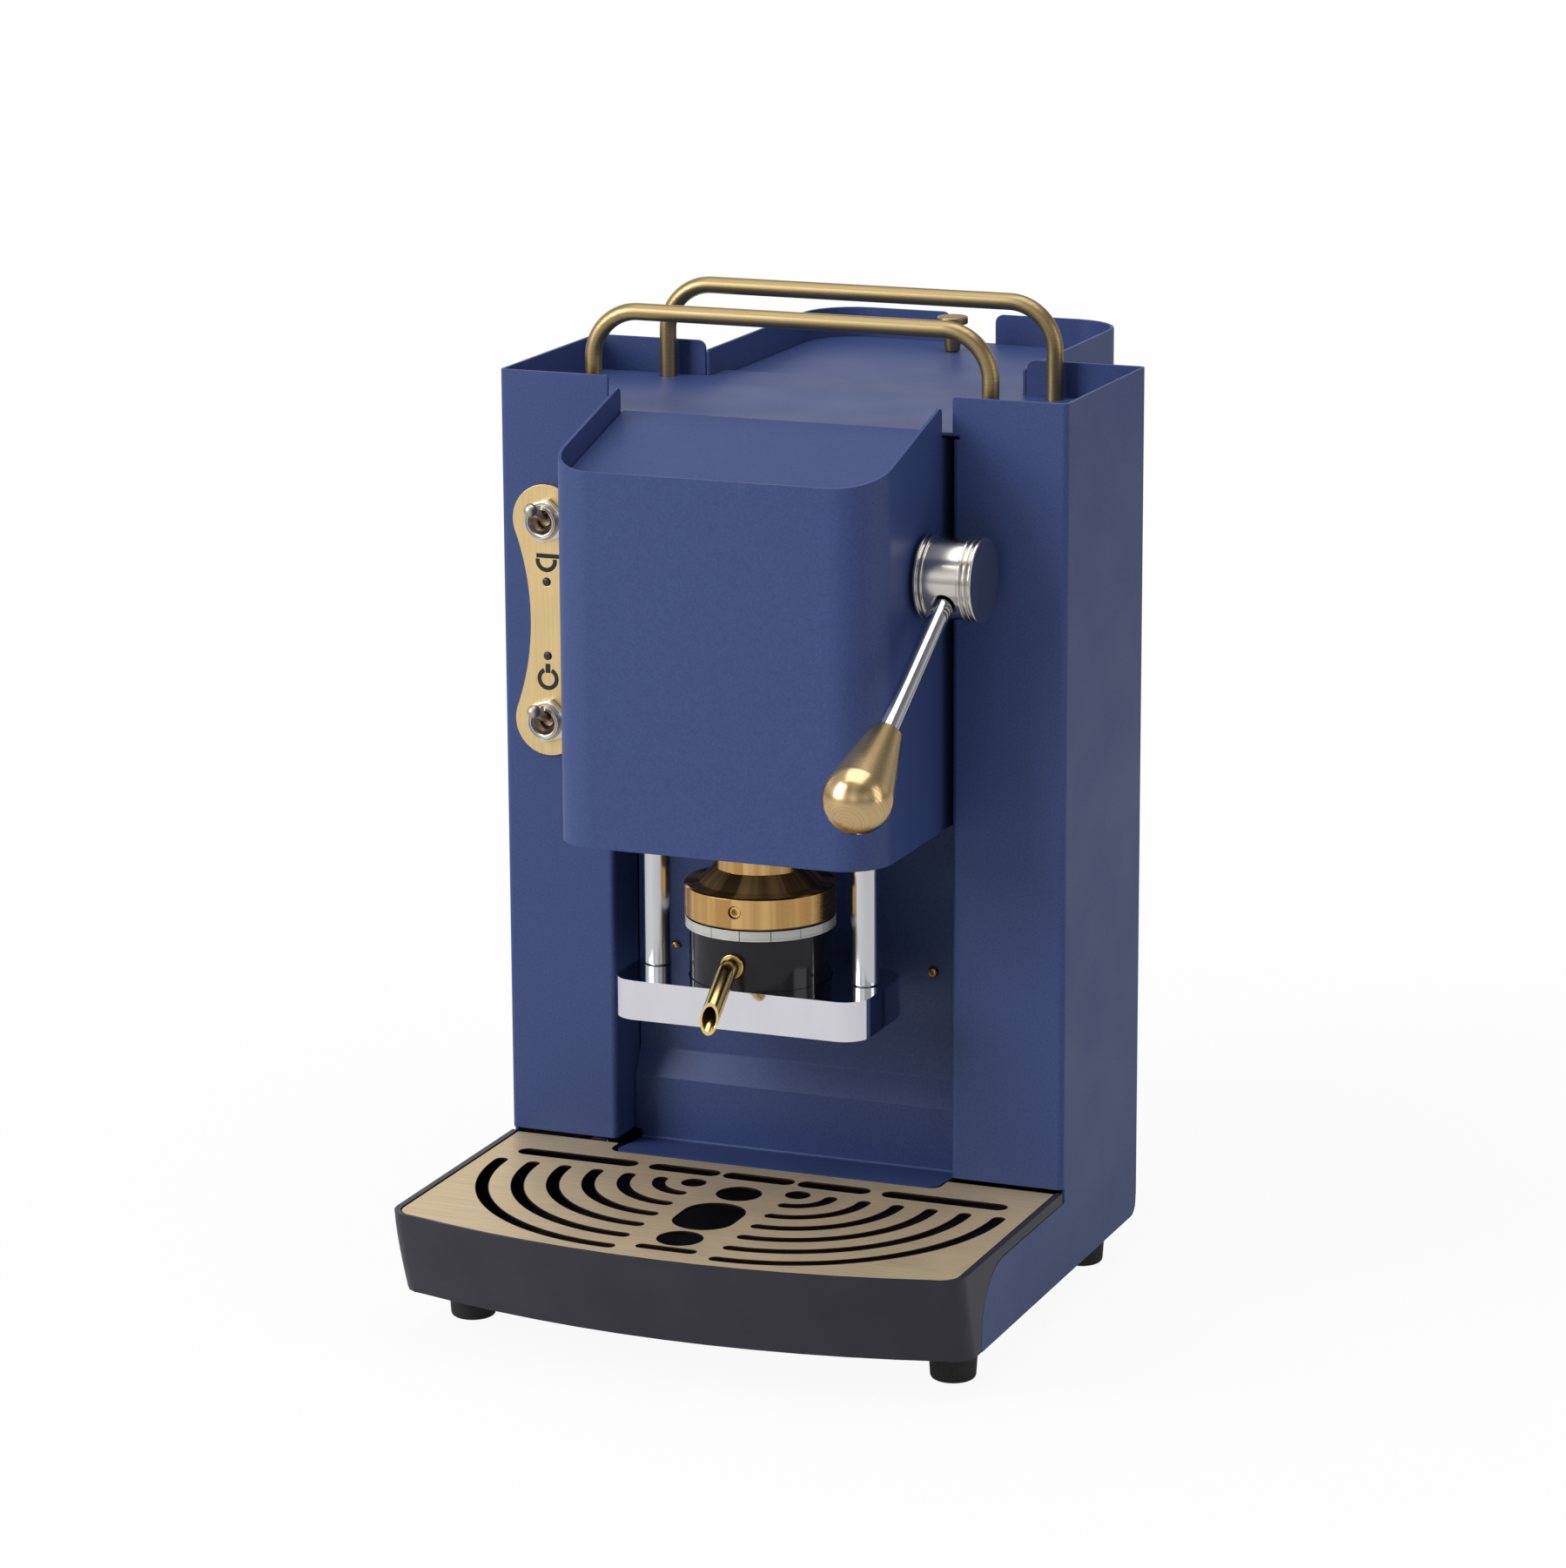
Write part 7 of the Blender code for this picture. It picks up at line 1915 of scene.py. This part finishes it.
@dataclass
class Studio:
    """Pale floor, soft lights and the camera."""

    eye: Vector = Vector((0.70806, -1.777465, 0.64187))
    azimuth: float = math.radians(22.1)
    elevation: float = math.radians(13.696)
    roll: float = math.radians(-0.297)
    lens: float = 127.54
    sensor: float = 36.0
    reach: float = 50.0
    aim: Vector = Vector((0.0, 0.0, 0.17))
    lights: tuple[tuple[str, Point, Point, float], ...] = (
        ("key_left", (-1.5, -1.6, 1.25), (1.2, 1.6), 41.0), ("top", (0.0, -0.1, 1.9), (1.6, 1.6), 18.0),
        ("side_right", (1.9, -0.1, 0.7), (0.8, 1.4), 5.0),
    )
    fill: float = 0.20
    fill_colour: Colour = (0.97, 0.98, 1.0)
    across: tuple[tuple[float, float], ...] = (
        (-1.0, 0.55), (-0.72, 1.0), (-0.45, 0.95), (-0.22, 0.45), (0.10, 0.85), (0.45, 0.35), (0.72, 0.45), (1.0, 0.25),
    )
    upward: tuple[tuple[float, float], ...] = ((-1.0, 0.6), (0.0, 0.75), (0.24, 1.3), (0.6, 0.55), (1.0, 0.7))
    floor_size: float = 12.0
    floor_colour: Colour = (0.86, 0.86, 0.86)
    floor_glow: float = 0.93
    mirrored_glow: float = 0.5
    mirrored_strength: float = 0.6
    white_from: tuple[float, float] = (0.25, 0.75)

    def camera(self) -> None:
        """Set up the camera at the photograph's angle."""
        data = bpy.data.cameras.new("camera")
        data.lens, data.sensor_width, data.clip_end = self.lens, self.sensor, self.reach
        camera = added("camera", data)
        turn = Matrix.Rotation(self.azimuth, 4, "Z") @ Matrix.Rotation(QUARTER - self.elevation, 4, "X")
        camera.matrix_world = Matrix.Translation(self.eye) @ turn @ Matrix.Rotation(self.roll, 4, "Z")
        bpy.context.scene.camera = camera

    def light(self, name: str, place: Point, size: Point, power: float) -> None:
        """Add a soft rectangular light that faces the machine.

        Args:
            name: the light's name.
            place: its middle.
            size: its width and height.
            power: watts.
        """
        data = bpy.data.lights.new(name, "AREA")
        data.shape, data.energy = "RECTANGLE", power
        data.size, data.size_y = size
        turn = (self.aim - Vector(place)).to_track_quat("-Z", "Y").to_matrix().to_4x4()
        added(name, data).matrix_world = Matrix.Translation(place) @ turn

    def world(self) -> None:
        """Pale surroundings: white to the camera, softboxes and dark flags by direction in reflections."""
        world = bpy.context.scene.world = bpy.data.worlds.new("studio")
        sky = Nodes(world, "OutputWorld")
        split = sky.node("SeparateXYZ", {0: sky.node("TexCoord").outputs["Generated"]}).outputs
        boxes = sky.math(
            "MULTIPLY", self.ramp(sky, split["X"], self.across), self.ramp(sky, split["Z"], self.upward)
        )
        soft, mirrored, seen = [
            sky.node("Background", {"Color": colour, "Strength": strength}).outputs[0]
            for colour, strength in ((self.fill_colour, self.fill), (WHITE, boxes), (WHITE, 1.0))
        ]
        rays = sky.node("LightPath").outputs
        direct = sky.math("MAXIMUM", rays["Is Camera Ray"], rays["Is Transmission Ray"])
        sky.feed(sky.surface, sky.mix(direct, sky.mix(rays["Is Glossy Ray"], soft, mirrored), seen))

    def ramp(self, nodes: Nodes, value: Socket, stops: Sequence[tuple[float, float]]) -> Socket:
        """Map a direction's part, from -1 to 1, onto a brightness.

        Args:
            nodes: the world's nodes.
            value: the socket to map.
            stops: places from -1 to 1, each with its brightness.

        Returns:
            The brightness's socket.
        """
        curve = nodes.node("ValToRGB", {"Fac": nodes.between(value, 0.0, 1.0, -1.0, 1.0)})
        curve.color_ramp.interpolation = "EASE"
        elements = curve.color_ramp.elements
        for _ in stops[2:]:
            elements.new(0.5)
        for element, (place, brightness) in zip(elements, stops):
            element.position = (place + 1) / 2
            element.color = (brightness, brightness, brightness, 1.0)
        return curve.outputs["Color"]

    def floor(self) -> None:
        """Pale floor that keeps the machine's shadow and turns pure white further out."""
        form = Form()
        bmesh.ops.create_grid(form.shape, x_segments=1, y_segments=1, size=self.floor_size / 2)
        floor = added("floor", form.mesh("floor"))
        recipe = Recipe("studio_floor")
        rays = recipe.node("LightPath").outputs
        dimmer = recipe.between(rays["Is Glossy Ray"], 1.0, self.mirrored_strength, 0.0, 1.0)
        glow = recipe.node("Emission", {"Color": WHITE, "Strength": dimmer}).outputs[0]
        reach = recipe.vector("LENGTH", recipe.place, result="Value")
        share = recipe.between(reach, self.floor_glow, 1.0, *self.white_from)
        seen = recipe.math("MULTIPLY", rays["Is Camera Ray"], share)
        mirrored = recipe.math("MULTIPLY", rays["Is Glossy Ray"], self.mirrored_glow)
        either = recipe.math("MAXIMUM", seen, mirrored)
        floor.data.materials.append(
            recipe.finished(Base_Color=self.floor_colour, Roughness=0.9, Specular_IOR_Level=0.1)
        )
        recipe.feed(recipe.surface, recipe.mix(either, recipe.shader.outputs["BSDF"], glow))

    def build(self) -> None:
        """Set up the whole studio."""
        bpy.context.scene.view_settings.view_transform = "Standard"
        self.camera()
        self.world()
        self.floor()
        for light in self.lights:
            self.light(*light)
        LOG.info("studio ready")


def main() -> None:
    """Load the frame, build each sub-assembly and report it."""
    logging.basicConfig(level=logging.INFO, format="%(name)s: %(message)s")
    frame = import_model()
    Studio().build()
    shop = Workshop(frame)
    for assembly in (
        Interior(), SheetHousing(), CupRails(), ControlPanel(), Group(), PressHead(), Lever(), DripTray(), Feet(),
        TankTop(),
    ):
        assembly.build(shop)


if __name__ == "__main__":
    main()
